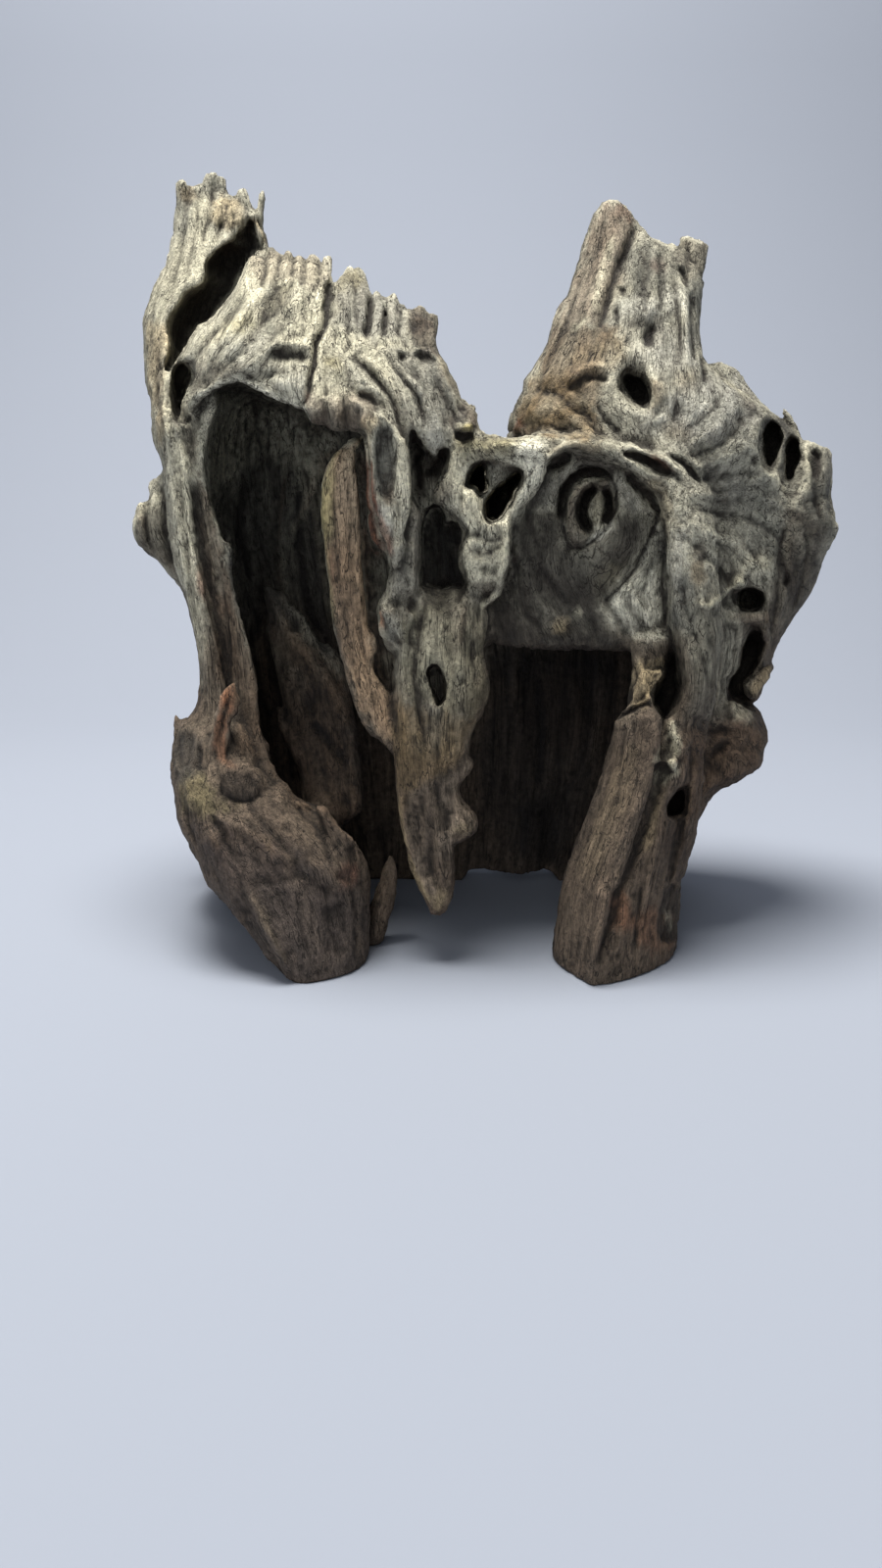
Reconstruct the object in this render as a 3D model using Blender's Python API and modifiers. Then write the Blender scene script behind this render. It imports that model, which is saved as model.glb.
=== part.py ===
"""Driftwood: a hollow, weathered root stump standing on its cut feet.

Metres, +Z up. Seen from the front (along +Y) it has a tall tower at each side, a broad brow with broken crown
teeth on the left, a low saddle between, a hanging tusk in the middle with a flat strap beside it, an arch on the
right under a shield with an eye knot, a flanged wing at the far right, and two thick front feet. One closed body.

The outlines are laid out as seen from one sighting point in front of the stump: a station gives the left and right
edge of a limb on the sighting grid (grid x to the right, grid y downwards), the depth Y of its middle, half its
thickness from front to back, and how much deeper its right edge lies than its middle.
"""

import bpy
import bmesh
import math
import numpy as np
from mathutils import Matrix

# ---- driving dimensions -------------------------------------------------------------------------------------------
SIGHT_BACK = 0.593        # sighting point, this far in front of the stump's middle plane
SIGHT_HEIGHT = 0.2076     # and this far above the ground
SIGHT_PITCH = math.radians(13.0)
GRID_FOCAL = 1200.0       # grid units per unit of slope
GRID_CENTRE = (450.0, 800.0)
SHIFT = (-0.02206, -0.00270, 0.0)   # centres the footprint on the origin
BODY_VOXEL = 0.0032       # joining size of the limbs
FINE_VOXEL = 0.0026       # joining size of the finished body
FACE_BUDGET = 9000        # triangles in the finished body
WOOD_COLOUR = (0.30, 0.26, 0.20)

# ---- the stump's own trunk, before it is hollowed -----------------------------------------------------------------
# (left x, left y, right x, right y, depth, half thickness, tilt)
TRUNK = {
    "left_body": (2.4, [
        (200, 292, 320, 292, .026, .018, 0), (165, 330, 415, 330, .024, .040, 0), (152, 380, 455, 380, .022, .056, 0),
        (158, 440, 495, 440, .024, .066, 0), (170, 500, 520, 500, .024, .071, 0), (176, 560, 530, 560, .023, .072, 0),
        (190, 620, 540, 620, .022, .073, 0), (203, 690, 540, 690, .020, .074, 0), (190, 745, 540, 745, .018, .074, 0),
        (182, 800, 535, 800, .014, .074, 0), (186, 842, 528, 842, .012, .072, 0), (206, 880, 515, 880, .012, .070, 0)]),
    "right_body": (2.4, [
        (580, 322, 716, 322, .010, .028, 0), (545, 372, 722, 372, .010, .044, 0), (515, 440, 800, 440, .012, .056, 0),
        (505, 500, 835, 500, .014, .064, 0), (500, 560, 832, 560, .016, .068, 0), (500, 620, 806, 622, .017, .070, 0),
        (500, 690, 768, 695, .018, .072, 0), (500, 750, 765, 755, .018, .072, 0), (500, 800, 722, 812, .018, .072, 0),
        (505, 850, 706, 855, .016, .070, 0), (515, 880, 702, 880, .014, .068, 0)]),
    "tower_left": (2.2, [
        (184, 192, 258, 210, .034, .007, 0), (178, 207, 268, 218, .034, .012, 0), (174, 236, 272, 240, .033, .018, 0),
        (167, 268, 280, 262, .031, .023, 0), (157, 290, 284, 285, .029, .027, 0), (148, 318, 280, 315, .026, .030, 0),
        (146, 345, 268, 345, .022, .032, 0), (148, 385, 250, 385, .016, .034, 0), (155, 425, 235, 425, .010, .036, 0),
        (160, 455, 222, 460, .006, .036, 0), (170, 485, 214, 490, .002, .036, 0)]),
    "wing": (2.2, [
        (712, 374, 752, 377, .016, .014, 0), (712, 410, 784, 416, .012, .026, 0), (706, 445, 816, 440, .008, .034, 0),
        (702, 472, 848, 470, .006, .038, 0), (702, 512, 850, 512, .004, .040, 0), (702, 545, 856, 538, .002, .040, 0),
        (700, 580, 838, 576, .000, .040, 0), (698, 615, 824, 612, .000, .040, 0), (698, 650, 799, 650, .000, .040, 0),
        (698, 685, 784, 690, .000, .038, 0), (698, 730, 775, 729, -.002, .036, 0), (698, 757, 784, 757, -.006, .034, 0),
        (697, 785, 775, 786, -.010, .030, 0), (690, 812, 728, 809, -.014, .026, 0), (682, 842, 712, 840, -.018, .024, 0)]),
    "middle_body": (2.6, [
        (440, 492, 590, 492, .046, .028, 0), (425, 525, 615, 525, .046, .042, 0), (420, 600, 640, 600, .046, .048, 0),
        (420, 720, 640, 720, .046, .048, 0), (420, 820, 640, 820, .044, .047, 0), (430, 866, 630, 866, .044, .044, 0)]),
    "back_ridge_left": (2.0, [
        (196, 262, 236, 262, .044, .012, 0), (196, 330, 262, 330, .058, .018, 0), (205, 420, 270, 420, .078, .018, 0),
        (232, 520, 285, 520, .088, .014, 0), (262, 620, 318, 620, .090, .014, 0), (262, 720, 322, 720, .086, .016, 0),
        (245, 800, 316, 800, .080, .018, 0), (240, 868, 310, 868, .072, .020, 0)]),
    "back_ridge_middle": (2.0, [
        (420, 400, 462, 400, .046, .014, 0), (428, 480, 476, 480, .076, .016, 0), (402, 580, 456, 580, .088, .014, 0),
        (372, 690, 428, 690, .088, .013, 0), (380, 790, 436, 790, .086, .012, 0), (410, 868, 460, 868, .080, .012, 0)]),
    "back_ridge_right": (2.0, [
        (622, 300, 668, 300, .034, .014, 0), (612, 380, 672, 380, .052, .018, 0), (598, 470, 656, 470, .074, .016, 0),
        (604, 570, 652, 570, .084, .014, 0), (590, 680, 640, 680, .086, .014, 0), (584, 780, 640, 780, .082, .016, 0),
        (590, 866, 644, 866, .074, .020, 0)]),
    "side_ridge_right": (2.0, [
        (750, 420, 786, 420, .036, .012, 0), (752, 500, 796, 500, .050, .016, 0), (722, 590, 766, 590, .062, .014, 0),
        (690, 690, 736, 690, .064, .014, 0), (660, 790, 708, 790, .062, .016, 0), (640, 866, 690, 866, .060, .018, 0)]),
}

# ---- the hollow inside, open to the front and below ---------------------------------------------------------------
HOLLOW = {
    "left_chamber": (3.0, [
        (222, 415, 335, 415, -.030, .080, 0), (212, 445, 370, 445, -.030, .088, 0), (212, 500, 420, 500, -.032, .094, 0),
        (232, 560, 470, 560, -.032, .096, 0), (246, 620, 520, 620, -.034, .096, 0), (262, 690, 540, 690, -.036, .096, 0),
        (268, 750, 550, 750, -.040, .096, 0), (290, 800, 550, 800, -.044, .096, 0), (335, 850, 550, 850, -.048, .096, 0),
        (360, 920, 550, 920, -.050, .096, 0), (370, 1010, 550, 1010, -.050, .096, 0), (370, 1090, 550, 1090, -.050, .096, 0)]),
    "right_chamber": (3.0, [
        (510, 560, 660, 560, .018, .036, 0), (490, 600, 690, 600, .012, .048, 0), (480, 660, 680, 660, -.030, .090, 0),
        (470, 720, 650, 720, -.036, .098, 0), (470, 800, 628, 800, -.040, .098, 0), (475, 860, 618, 860, -.044, .098, 0),
        (478, 920, 612, 920, -.046, .098, 0), (480, 1010, 612, 1010, -.048, .098, 0), (480, 1090, 612, 1090, -.048, .098, 0)]),
    "deep_left": (3.0, [
        (236, 455, 420, 455, .012, .040, 0), (220, 500, 470, 500, .012, .050, 0), (214, 560, 520, 560, .012, .054, 0),
        (218, 620, 540, 620, .012, .056, 0), (228, 690, 560, 690, .012, .056, 0), (222, 750, 560, 750, .010, .056, 0),
        (212, 800, 560, 800, .010, .056, 0), (214, 850, 560, 850, .010, .054, 0), (228, 890, 560, 890, .010, .052, 0),
        (238, 940, 560, 940, .010, .052, 0), (242, 1060, 560, 1060, .010, .052, 0)]),
    "deep_right": (3.0, [
        (580, 505, 740, 505, .026, .030, 0), (540, 560, 782, 560, .024, .038, 0), (520, 620, 770, 622, .024, .040, 0),
        (520, 690, 738, 692, .022, .042, 0), (520, 760, 726, 762, .020, .042, 0), (520, 820, 690, 822, .018, .044, 0),
        (520, 880, 680, 880, .014, .046, 0), (520, 940, 676, 940, .012, .048, 0), (520, 1060, 676, 1060, .012, .048, 0)]),
    "tower_pocket": (2.6, [
        (256, 226, 272, 226, .002, .032, 0), (232, 246, 270, 244, .000, .036, 0), (211, 264, 266, 262, .000, .040, 0),
        (209, 286, 258, 286, -.002, .040, 0), (190, 302, 250, 302, -.004, .040, 0), (176, 324, 236, 324, -.006, .038, 0),
        (173, 340, 222, 340, -.008, .036, 0), (176, 362, 204, 362, -.010, .032, 0), (176, 395, 196, 395, -.012, .028, 0),
        (180, 425, 190, 425, -.012, .020, 0)]),
}

# ---- the wood in front --------------------------------------------------------------------------------------------
FRONT = {
    "rim_left": (2.2, [
        (156, 425, 196, 425, -.014, .018, 0), (166, 475, 197, 475, -.016, .018, 0), (170, 520, 200, 520, -.018, .018, 0),
        (174, 565, 206, 565, -.020, .018, 0), (188, 610, 216, 608, -.022, .018, 0), (199, 660, 226, 655, -.024, .018, 0),
        (203, 708, 234, 700, -.026, .019, 0), (190, 738, 250, 738, -.028, .021, 0), (177, 770, 262, 770, -.032, .024, 0),
        (175, 800, 272, 800, -.036, .028, 0)]),
    "wall_left": (2.2, [
        (192, 440, 204, 440, .000, .008, .010), (188, 500, 212, 500, .000, .006, .014), (190, 560, 226, 560, .000, .006, .016),
        (200, 620, 242, 620, -.002, .006, .018), (210, 690, 261, 690, -.004, .007, .020), (220, 750, 264, 750, -.010, .009, .018),
        (230, 800, 276, 800, -.020, .010, .012)]),
    "knob_left": (2.0, [
        (153, 486, 176, 482, .004, .007, 0), (137, 516, 180, 510, .002, .012, 0), (133, 544, 180, 545, .002, .013, 0),
        (148, 567, 184, 568, .002, .011, 0), (172, 588, 192, 592, .000, .008, 0)]),
    "spur_left": (2.0, [(177, 727, 181, 727, -.020, .003, 0), (177, 740, 190, 744, -.020, .007, 0), (178, 765, 205, 765, -.022, .012, 0)]),
    "foot_left": (2.6, [
        (178, 752, 262, 752, -.030, .028, 0), (175, 790, 276, 790, -.038, .033, 0), (178, 825, 318, 825, -.045, .036, 0),
        (184, 850, 352, 852, -.050, .036, 0), (200, 876, 372, 872, -.054, .035, .004), (212, 902, 378, 898, -.058, .033, .006),
        (231, 925, 378, 925, -.062, .030, .008), (251, 950, 377, 950, -.066, .028, .010), (271, 977, 376, 977, -.069, .026, .010),
        (285, 993, 373, 990, -.070, .025, .010), (296, 1012, 366, 1004, -.070, .024, .010), (300, 1035, 362, 1030, -.070, .024, .010)]),
    "splinter_foot": (2.0, [
        (396, 873, 402, 873, -.040, .003, 0), (388, 895, 407, 893, -.040, .005, 0), (378, 925, 404, 920, -.042, .007, 0),
        (370, 960, 392, 958, -.044, .008, 0)]),
    "brow": (2.4, [
        (166, 398, 170, 446, -.008, .010, 0), (176, 370, 182, 440, -.016, .012, -.008), (198, 337, 202, 414, -.024, .014, -.012),
        (222, 316, 222, 394, -.030, .016, -.015), (250, 268, 246, 387, -.032, .017, -.018), (280, 262, 276, 403, -.034, .018, -.020),
        (312, 265, 312, 418, -.036, .019, -.022), (338, 268, 338, 438, -.038, .020, -.024), (366, 276, 368, 442, -.040, .021, -.024),
        (392, 300, 396, 450, -.042, .022, -.022), (420, 315, 424, 466, -.042, .022, -.018), (446, 330, 450, 478, -.042, .022, -.012),
        (470, 396, 474, 482, -.042, .020, -.006), (488, 430, 492, 478, -.044, .016, 0), (510, 445, 510, 474, -.044, .014, 0)]),
    "saddle": (2.2, [
        (480, 443, 484, 478, -.044, .014, 0), (505, 443, 505, 476, -.044, .013, 0), (530, 446, 534, 480, -.045, .014, 0),
        (562, 440, 560, 472, -.046, .017, 0), (600, 440, 600, 468, -.046, .019, 0), (640, 450, 636, 482, -.048, .019, 0),
        (670, 470, 662, 502, -.050, .017, 0)]),
    "trunk_left": (2.2, [
        (368, 430, 428, 430, -.052, .016, 0), (374, 470, 425, 470, -.058, .014, 0), (380, 510, 428, 510, -.062, .012, 0),
        (390, 550, 430, 550, -.062, .011, 0), (395, 580, 430, 580, -.062, .011, 0), (385, 620, 425, 622, -.062, .013, 0),
        (392, 655, 424, 660, -.062, .011, 0)]),
    "trunk_right": (2.2, [
        (440, 440, 500, 440, -.050, .018, 0), (450, 480, 486, 480, -.055, .014, 0), (440, 508, 496, 508, -.058, .012, 0),
        (468, 535, 522, 535, -.060, .010, 0), (468, 570, 518, 570, -.062, .010, 0), (474, 597, 514, 594, -.062, .008, 0)]),
    "trunk_back": (2.2, [
        (410, 470, 500, 470, -.036, .010, 0), (415, 540, 505, 540, -.038, .010, 0), (415, 600, 505, 600, -.044, .012, 0),
        (410, 650, 500, 650, -.050, .014, 0)]),
    "lug_right": (2.0, [(494, 534, 530, 530, -.054, .008, 0), (500, 548, 534, 546, -.052, .008, 0), (506, 562, 530, 560, -.050, .007, 0)]),
    "tusk": (2.2, [
        (404, 596, 496, 606, -.058, .012, 0), (408, 640, 498, 638, -.062, .014, 0), (404, 670, 493, 664, -.064, .015, 0),
        (400, 700, 500, 698, -.066, .015, 0), (399, 730, 494, 726, -.067, .014, 0), (401, 760, 478, 758, -.068, .013, 0),
        (403, 785, 484, 781, -.068, .012, 0), (405, 806, 469, 806, -.068, .011, 0), (409, 830, 483, 828, -.068, .010, 0),
        (412, 851, 484, 848, -.068, .010, 0), (414, 866, 463, 864, -.068, .009, 0), (419, 886, 463, 884, -.068, .008, 0),
        (427, 906, 463, 906, -.068, .007, 0), (438, 922, 456, 924, -.068, .005, 0), (446, 930, 451, 930, -.068, .003, 0)]),
    "strap": (2.6, [
        (340, 458, 366, 452, -.050, .006, 0), (331, 478, 367, 474, -.054, .006, 0), (327, 510, 368, 506, -.056, .006, 0),
        (329, 550, 370, 548, -.057, .005, 0), (333, 590, 373, 588, -.058, .005, 0), (337, 620, 377, 620, -.059, .005, 0),
        (343, 650, 382, 648, -.060, .005, 0), (351, 685, 390, 682, -.061, .006, 0), (358, 707, 398, 703, -.062, .007, 0),
        (366, 732, 404, 726, -.063, .008, 0), (380, 750, 410, 745, -.064, .009, 0), (396, 765, 416, 762, -.065, .009, 0)]),
    "strand_inside": (2.0, [
        (268, 600, 280, 600, .020, .005, 0), (270, 640, 318, 636, .018, .006, 0), (280, 680, 350, 672, .014, .008, 0),
        (290, 730, 362, 720, .008, .010, 0), (300, 780, 366, 770, .000, .012, 0), (310, 830, 368, 820, -.012, .014, 0)]),
    "shield": (2.8, [
        (552, 458, 644, 462, -.040, .010, 0), (528, 500, 670, 500, -.043, .012, 0), (518, 545, 678, 545, -.045, .013, 0),
        (510, 590, 680, 590, -.045, .013, 0), (500, 625, 680, 625, -.045, .012, 0), (494, 651, 690, 652, -.045, .009, 0)]),
    "ridge_right": (2.2, [
        (648, 430, 704, 430, -.036, .020, 0), (664, 480, 720, 480, -.044, .024, 0), (675, 540, 730, 540, -.050, .024, 0),
        (677, 600, 734, 600, -.053, .023, 0), (684, 650, 734, 655, -.055, .021, 0), (694, 700, 730, 700, -.057, .019, 0),
        (682, 745, 722, 750, -.058, .018, .002), (668, 790, 716, 800, -.060, .019, .004), (655, 840, 712, 845, -.062, .020, .008),
        (640, 890, 699, 888, -.066, .020, .012), (628, 930, 694, 930, -.070, .020, .014), (616, 965, 692, 965, -.072, .020, .016),
        (607, 992, 688, 985, -.073, .020, .016), (604, 1020, 684, 1008, -.073, .020, .016), (604, 1035, 682, 1025, -.073, .020, .016)]),
    "foot_right": (2.8, [
        (633, 731, 672, 722, -.064, .009, -.008), (626, 755, 673, 757, -.067, .010, -.010), (616, 780, 668, 788, -.069, .010, -.011),
        (599, 827, 656, 830, -.072, .011, -.012), (583, 871, 640, 880, -.074, .012, -.013), (575, 897, 632, 906, -.076, .012, -.014),
        (568, 935, 620, 945, -.077, .012, -.016), (563, 970, 612, 985, -.077, .012, -.017), (566, 1000, 610, 1015, -.077, .012, -.017),
        (568, 1030, 610, 1035, -.077, .012, -.017)]),
    "strand_arch": (2.2, [
        (640, 655, 690, 655, -.050, .010, 0), (645, 680, 678, 680, -.052, .009, 0), (642, 705, 668, 705, -.054, .009, 0),
        (640, 735, 664, 735, -.056, .009, 0)]),
    "tower_right": (2.3, [
        (611, 210, 632, 207, .012, .006, 0), (604, 228, 652, 227, .012, .013, 0), (595, 250, 690, 250, .010, .019, 0),
        (584, 282, 716, 282, .006, .026, 0), (566, 315, 716, 315, .002, .032, 0), (553, 355, 716, 352, -.004, .038, 0),
        (537, 385, 732, 380, -.008, .042, 0), (524, 420, 780, 420, -.010, .046, 0), (522, 450, 810, 452, -.010, .047, 0),
        (540, 485, 820, 490, -.008, .046, 0)]),
    "tooth_block": (3.4, [(694, 243, 724, 247, .018, .009, 0), (693, 262, 723, 262, .017, .011, 0), (690, 288, 719, 288, .014, .013, 0)]),
    "flange_outer": (2.0, [
        (826, 450, 846, 458, .000, .010, 0), (828, 485, 850, 480, -.002, .014, 0), (826, 520, 852, 515, -.002, .016, 0),
        (818, 550, 856, 540, -.002, .016, 0), (806, 590, 838, 580, -.004, .014, 0)]),
}

# crown teeth and splinters: (base left x, base right x, base y, tip x, tip y, depth, half thickness)
TEETH = [
    (178, 196, 212, 184, 181, .032, .006), (198, 226, 212, 214, 174, .034, .007), (222, 236, 212, 229, 180, .034, .005),
    (238, 258, 225, 248, 190, .034, .006), (258, 271, 240, 267, 192, .034, .0045),
    (250, 272, 285, 259, 259, -.014, .007), (268, 290, 285, 280, 256, -.013, .007), (286, 302, 285, 295, 255, -.013, .007),
    (300, 316, 285, 306, 258, -.013, .007), (312, 330, 288, 320, 259, -.014, .007), (326, 341, 290, 334, 261, -.014, .007),
    (337, 350, 296, 341, 262, -.016, .006), (350, 363, 300, 357, 269, -.018, .006), (361, 378, 305, 367, 270, -.019, .006),
    (378, 394, 325, 386, 293, -.022, .007), (394, 410, 330, 402, 297, -.024, .007), (410, 424, 338, 414, 308, -.025, .006),
    (420, 438, 340, 428, 310, -.026, .006), (434, 449, 350, 444, 319, -.028, .006),
    (478, 489, 445, 483, 409, -.040, .005), (466, 480, 442, 474, 405, -.040, .005),
    (783, 792, 700, 790, 678, -.004, .005), (838, 850, 470, 846, 455, .000, .006), (808, 824, 450, 802, 418, .006, .006),
]

# ---- feet at the back ---------------------------------------------------------------------------------------------
# (x, y at the ground, half width, half depth, x, y at the top, half width, half depth, height of the top)
BACK_FEET = [
    (-0.098, 0.052, 0.026, 0.018, -0.112, 0.062, 0.034, 0.024, 0.085),
    (0.098, 0.056, 0.024, 0.018, 0.104, 0.062, 0.032, 0.024, 0.085),
]

# the low gap under the back wall: its middle and its full size
BACK_GAP = ((0.040, 0.085, -0.006), (0.062, 0.110, 0.0285))

# ---- holes, slots and knots: (centre x, centre y, half width, half height, lean, front depth, back depth) ---------
HOLES = [
    (648, 397, 17, 20, -.25, -.080, -.016), (662, 343, 6, 9, .0, -.080, -.020), (505, 503, 25, 25, .30, -.090, .010),
    (451, 562, 19, 40, .05, -.100, .000), (447, 700, 8, 18, -.20, -.110, -.030), (432, 366, 9, 6, .0, -.090, -.030),
    (601, 518, 19, 30, .15, -.090, -.044), (789, 452, 9, 30, -.10, -.060, .004), (810, 480, 8, 40, -.15, -.060, .004),
    (765, 608, 12, 17, .0, -.080, -.010), (757, 690, 12, 34, .25, -.080, -.006), (676, 704, 10, 18, .30, -.100, -.030),
    (690, 820, 9, 12, -.3, -.100, -.040), (682, 938, 9, 22, .0, -.110, -.056), (185, 400, 9, 30, .30, -.060, .004),
    (382, 560, 8, 60, -.08, -.110, -.010), (203, 770, 4, 14, .0, -.080, -.040), (304, 885, 5, 12, .0, -.100, -.068),
]


def sight(gx, gy, depth):
    """The point at this depth that is seen at this place of the sighting grid."""
    u = (np.asarray(gx, float) - GRID_CENTRE[0]) / GRID_FOCAL
    v = (GRID_CENTRE[1] - np.asarray(gy, float)) / GRID_FOCAL
    c, s = math.cos(SIGHT_PITCH), math.sin(SIGHT_PITCH)
    dy, dz = c + v * s, -s + v * c
    t = (np.asarray(depth, float) + SIGHT_BACK) / dy
    return np.stack([u * t, np.asarray(depth, float) + 0 * t, SIGHT_HEIGHT + t * dz], -1)


def smooth_rows(rows, steps):
    """Rows interpolated by a cubic through every station, spaced by how far apart the stations lie."""
    rows = np.asarray(rows, float)
    mid = (rows[:, 0:2] + rows[:, 2:4]) / 2
    t = np.concatenate([[0], np.cumsum(np.maximum(np.linalg.norm(np.diff(mid, axis=0), axis=1), 1e-6))])
    slope = np.diff(rows, axis=0) / np.diff(t)[:, None]
    tangent = np.zeros_like(rows)
    tangent[0], tangent[-1] = slope[0], slope[-1]
    for i in range(1, len(rows) - 1):
        a, b = t[i] - t[i - 1], t[i + 1] - t[i]
        tangent[i] = (slope[i - 1] * b + slope[i] * a) / (a + b)
    out = []
    for i in range(len(rows) - 1):
        h = t[i + 1] - t[i]
        for k in range(steps):
            x = k / steps
            out.append((2 * x**3 - 3 * x**2 + 1) * rows[i] + (x**3 - 2 * x**2 + x) * h * tangent[i]
                       + (3 * x**2 - 2 * x**3) * rows[i + 1] + (x**3 - x**2) * h * tangent[i + 1])
    out.append(rows[-1])
    return np.array(out)


def sections(power, stations, sides=20, steps=3):
    """The closed rings of a limb: super-ellipses between the left and right edges, domed at both ends."""
    rows = smooth_rows(stations, steps)
    left = sight(rows[:, 0], rows[:, 1], rows[:, 4] - rows[:, 6])
    right = sight(rows[:, 2], rows[:, 3], rows[:, 4] + rows[:, 6])
    centre = (left + right) / 2
    across = (right - left) / 2
    ray = centre - np.array([0, -SIGHT_BACK, SIGHT_HEIGHT])
    ray /= np.linalg.norm(ray, axis=1)[:, None]
    thick = np.maximum(rows[:, 5], 0.0015)
    angle = np.linspace(0, 2 * math.pi, sides, endpoint=False)
    c, s = np.cos(angle), np.sin(angle)
    c = np.sign(c) * np.abs(c) ** (2 / power)
    s = np.sign(s) * np.abs(s) ** (2 / power)

    def ring(i, size, push):
        along = centre[min(i + 1, len(centre) - 1)] - centre[max(i - 1, 0)]
        along /= max(np.linalg.norm(along), 1e-9)
        return (centre[i] + along * push)[None] + size * (c[:, None] * across[i] + s[:, None] * ray[i] * thick[i])

    rings = [ring(i, 1.0, 0.0) for i in range(len(rows))]
    first = 0.7 * min(np.linalg.norm(across[0]), thick[0])
    last = 0.7 * min(np.linalg.norm(across[-1]), thick[-1])
    head = [ring(0, math.cos(a), -first * math.sin(a)) for a in (1.35, 0.9, 0.45)]
    tail = [ring(len(rows) - 1, math.cos(a), last * math.sin(a)) for a in (0.45, 0.9, 1.35)]
    return np.array(head + rings + tail)


def add_rings(bm, rings):
    """Skins a row of rings and closes both ends."""
    verts = [[bm.verts.new(p) for p in ring] for ring in rings]
    n = len(verts[0])
    for a, b in zip(verts, verts[1:]):
        for i in range(n):
            j = (i + 1) % n
            bm.faces.new((a[i], a[j], b[j], b[i]))
    bm.faces.new(verts[0][::-1])
    bm.faces.new(verts[-1])


def new_object(name, bm, collection):
    bmesh.ops.recalc_face_normals(bm, faces=bm.faces)
    mesh = bpy.data.meshes.new(name)
    bm.to_mesh(mesh)
    bm.free()
    obj = bpy.data.objects.new(name, mesh)
    collection.objects.link(obj)
    return obj


def limbs(name, table, collection, teeth=(), feet=(), holes=()):
    """One object holding the closed skins of several limbs."""
    bm = bmesh.new()
    for power, stations in table.values():
        add_rings(bm, sections(power, stations))
    for x0, x1, yb, xt, yt, depth, thick in teeth:
        ym = 0.45 * yt + 0.55 * yb
        xm = 0.5 * xt + 0.25 * (x0 + x1)
        half = (x1 - x0) / 2
        add_rings(bm, sections(2.0, [
            (x0, yb, x1, yb, depth, thick, 0), (xm - 0.72 * half, ym, xm + 0.72 * half, ym, depth, thick * 0.8, 0),
            (xt - 0.28 * half - 1, yt + 2, xt + 0.28 * half + 1, yt + 2, depth, thick * 0.45, 0)], sides=12, steps=2))
    for x0, y0, a0, b0, x1, y1, a1, b1, top in feet:
        rings = []
        for k in range(9):
            f = k / 8
            z = -0.02 + f * (top + 0.02)
            g = f * f * (3 - 2 * f)
            cx, cy, a, b = (p + (q - p) * g for p, q in ((x0, x1), (y0, y1), (a0, a1), (b0, b1)))
            rings.append([(cx + a * math.cos(t), cy + b * math.sin(t), z) for t in np.linspace(0, 2 * math.pi, 20, endpoint=False)])
        add_rings(bm, rings)
    for gx, gy, rx, ry, lean, front, back in holes:
        rings = []
        for k in range(7):
            depth = front + (back - front) * k / 6
            size = 1.0 if k < 5 else (0.85, 0.5)[k - 5]
            ring = []
            for t in np.linspace(0, 2 * math.pi, 14, endpoint=False):
                x, y = rx * size * math.cos(t), ry * size * math.sin(t)
                ring.append(sight(gx + x - lean * y, gy + y, depth))
            rings.append(ring)
        add_rings(bm, rings)
    if holes:
        bmesh.ops.create_cube(bm, size=1.0, matrix=Matrix.Translation(BACK_GAP[0]) @ Matrix.Diagonal((*BACK_GAP[1], 1.0)))
    return new_object(name, bm, collection)


def remesh(obj, voxel):
    m = obj.modifiers.new("Join", "REMESH")
    m.mode = "VOXEL"
    m.voxel_size = voxel
    m.adaptivity = 0.0


def smooth(obj, factor, rounds):
    m = obj.modifiers.new("Soften", "SMOOTH")
    m.factor = factor
    m.iterations = rounds


def boolean(obj, other, operation):
    m = obj.modifiers.new(operation.title(), "BOOLEAN")
    m.operation = operation
    m.solver = "EXACT"
    m.object = other


def settle(obj):
    """Turns the object's modifiers into its own mesh and keeps its largest connected body."""
    depsgraph = bpy.context.evaluated_depsgraph_get()
    mesh = bpy.data.meshes.new_from_object(obj.evaluated_get(depsgraph))
    obj.modifiers.clear()
    old, obj.data = obj.data, mesh
    bpy.data.meshes.remove(old)
    bm = bmesh.new()
    bm.from_mesh(mesh)
    bm.verts.ensure_lookup_table()
    seen, best = set(), []
    for v in bm.verts:
        if v.index in seen:
            continue
        seen.add(v.index)
        todo, body = [v], []
        while todo:
            a = todo.pop()
            body.append(a)
            for e in a.link_edges:
                b = e.other_vert(a)
                if b.index not in seen:
                    seen.add(b.index)
                    todo.append(b)
        if len(body) > len(best):
            best = body
    keep = set(v.index for v in best)
    bmesh.ops.delete(bm, geom=[v for v in bm.verts if v.index not in keep], context="VERTS")
    bm.to_mesh(mesh)
    bm.free()
    mesh.name = obj.name


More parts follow.
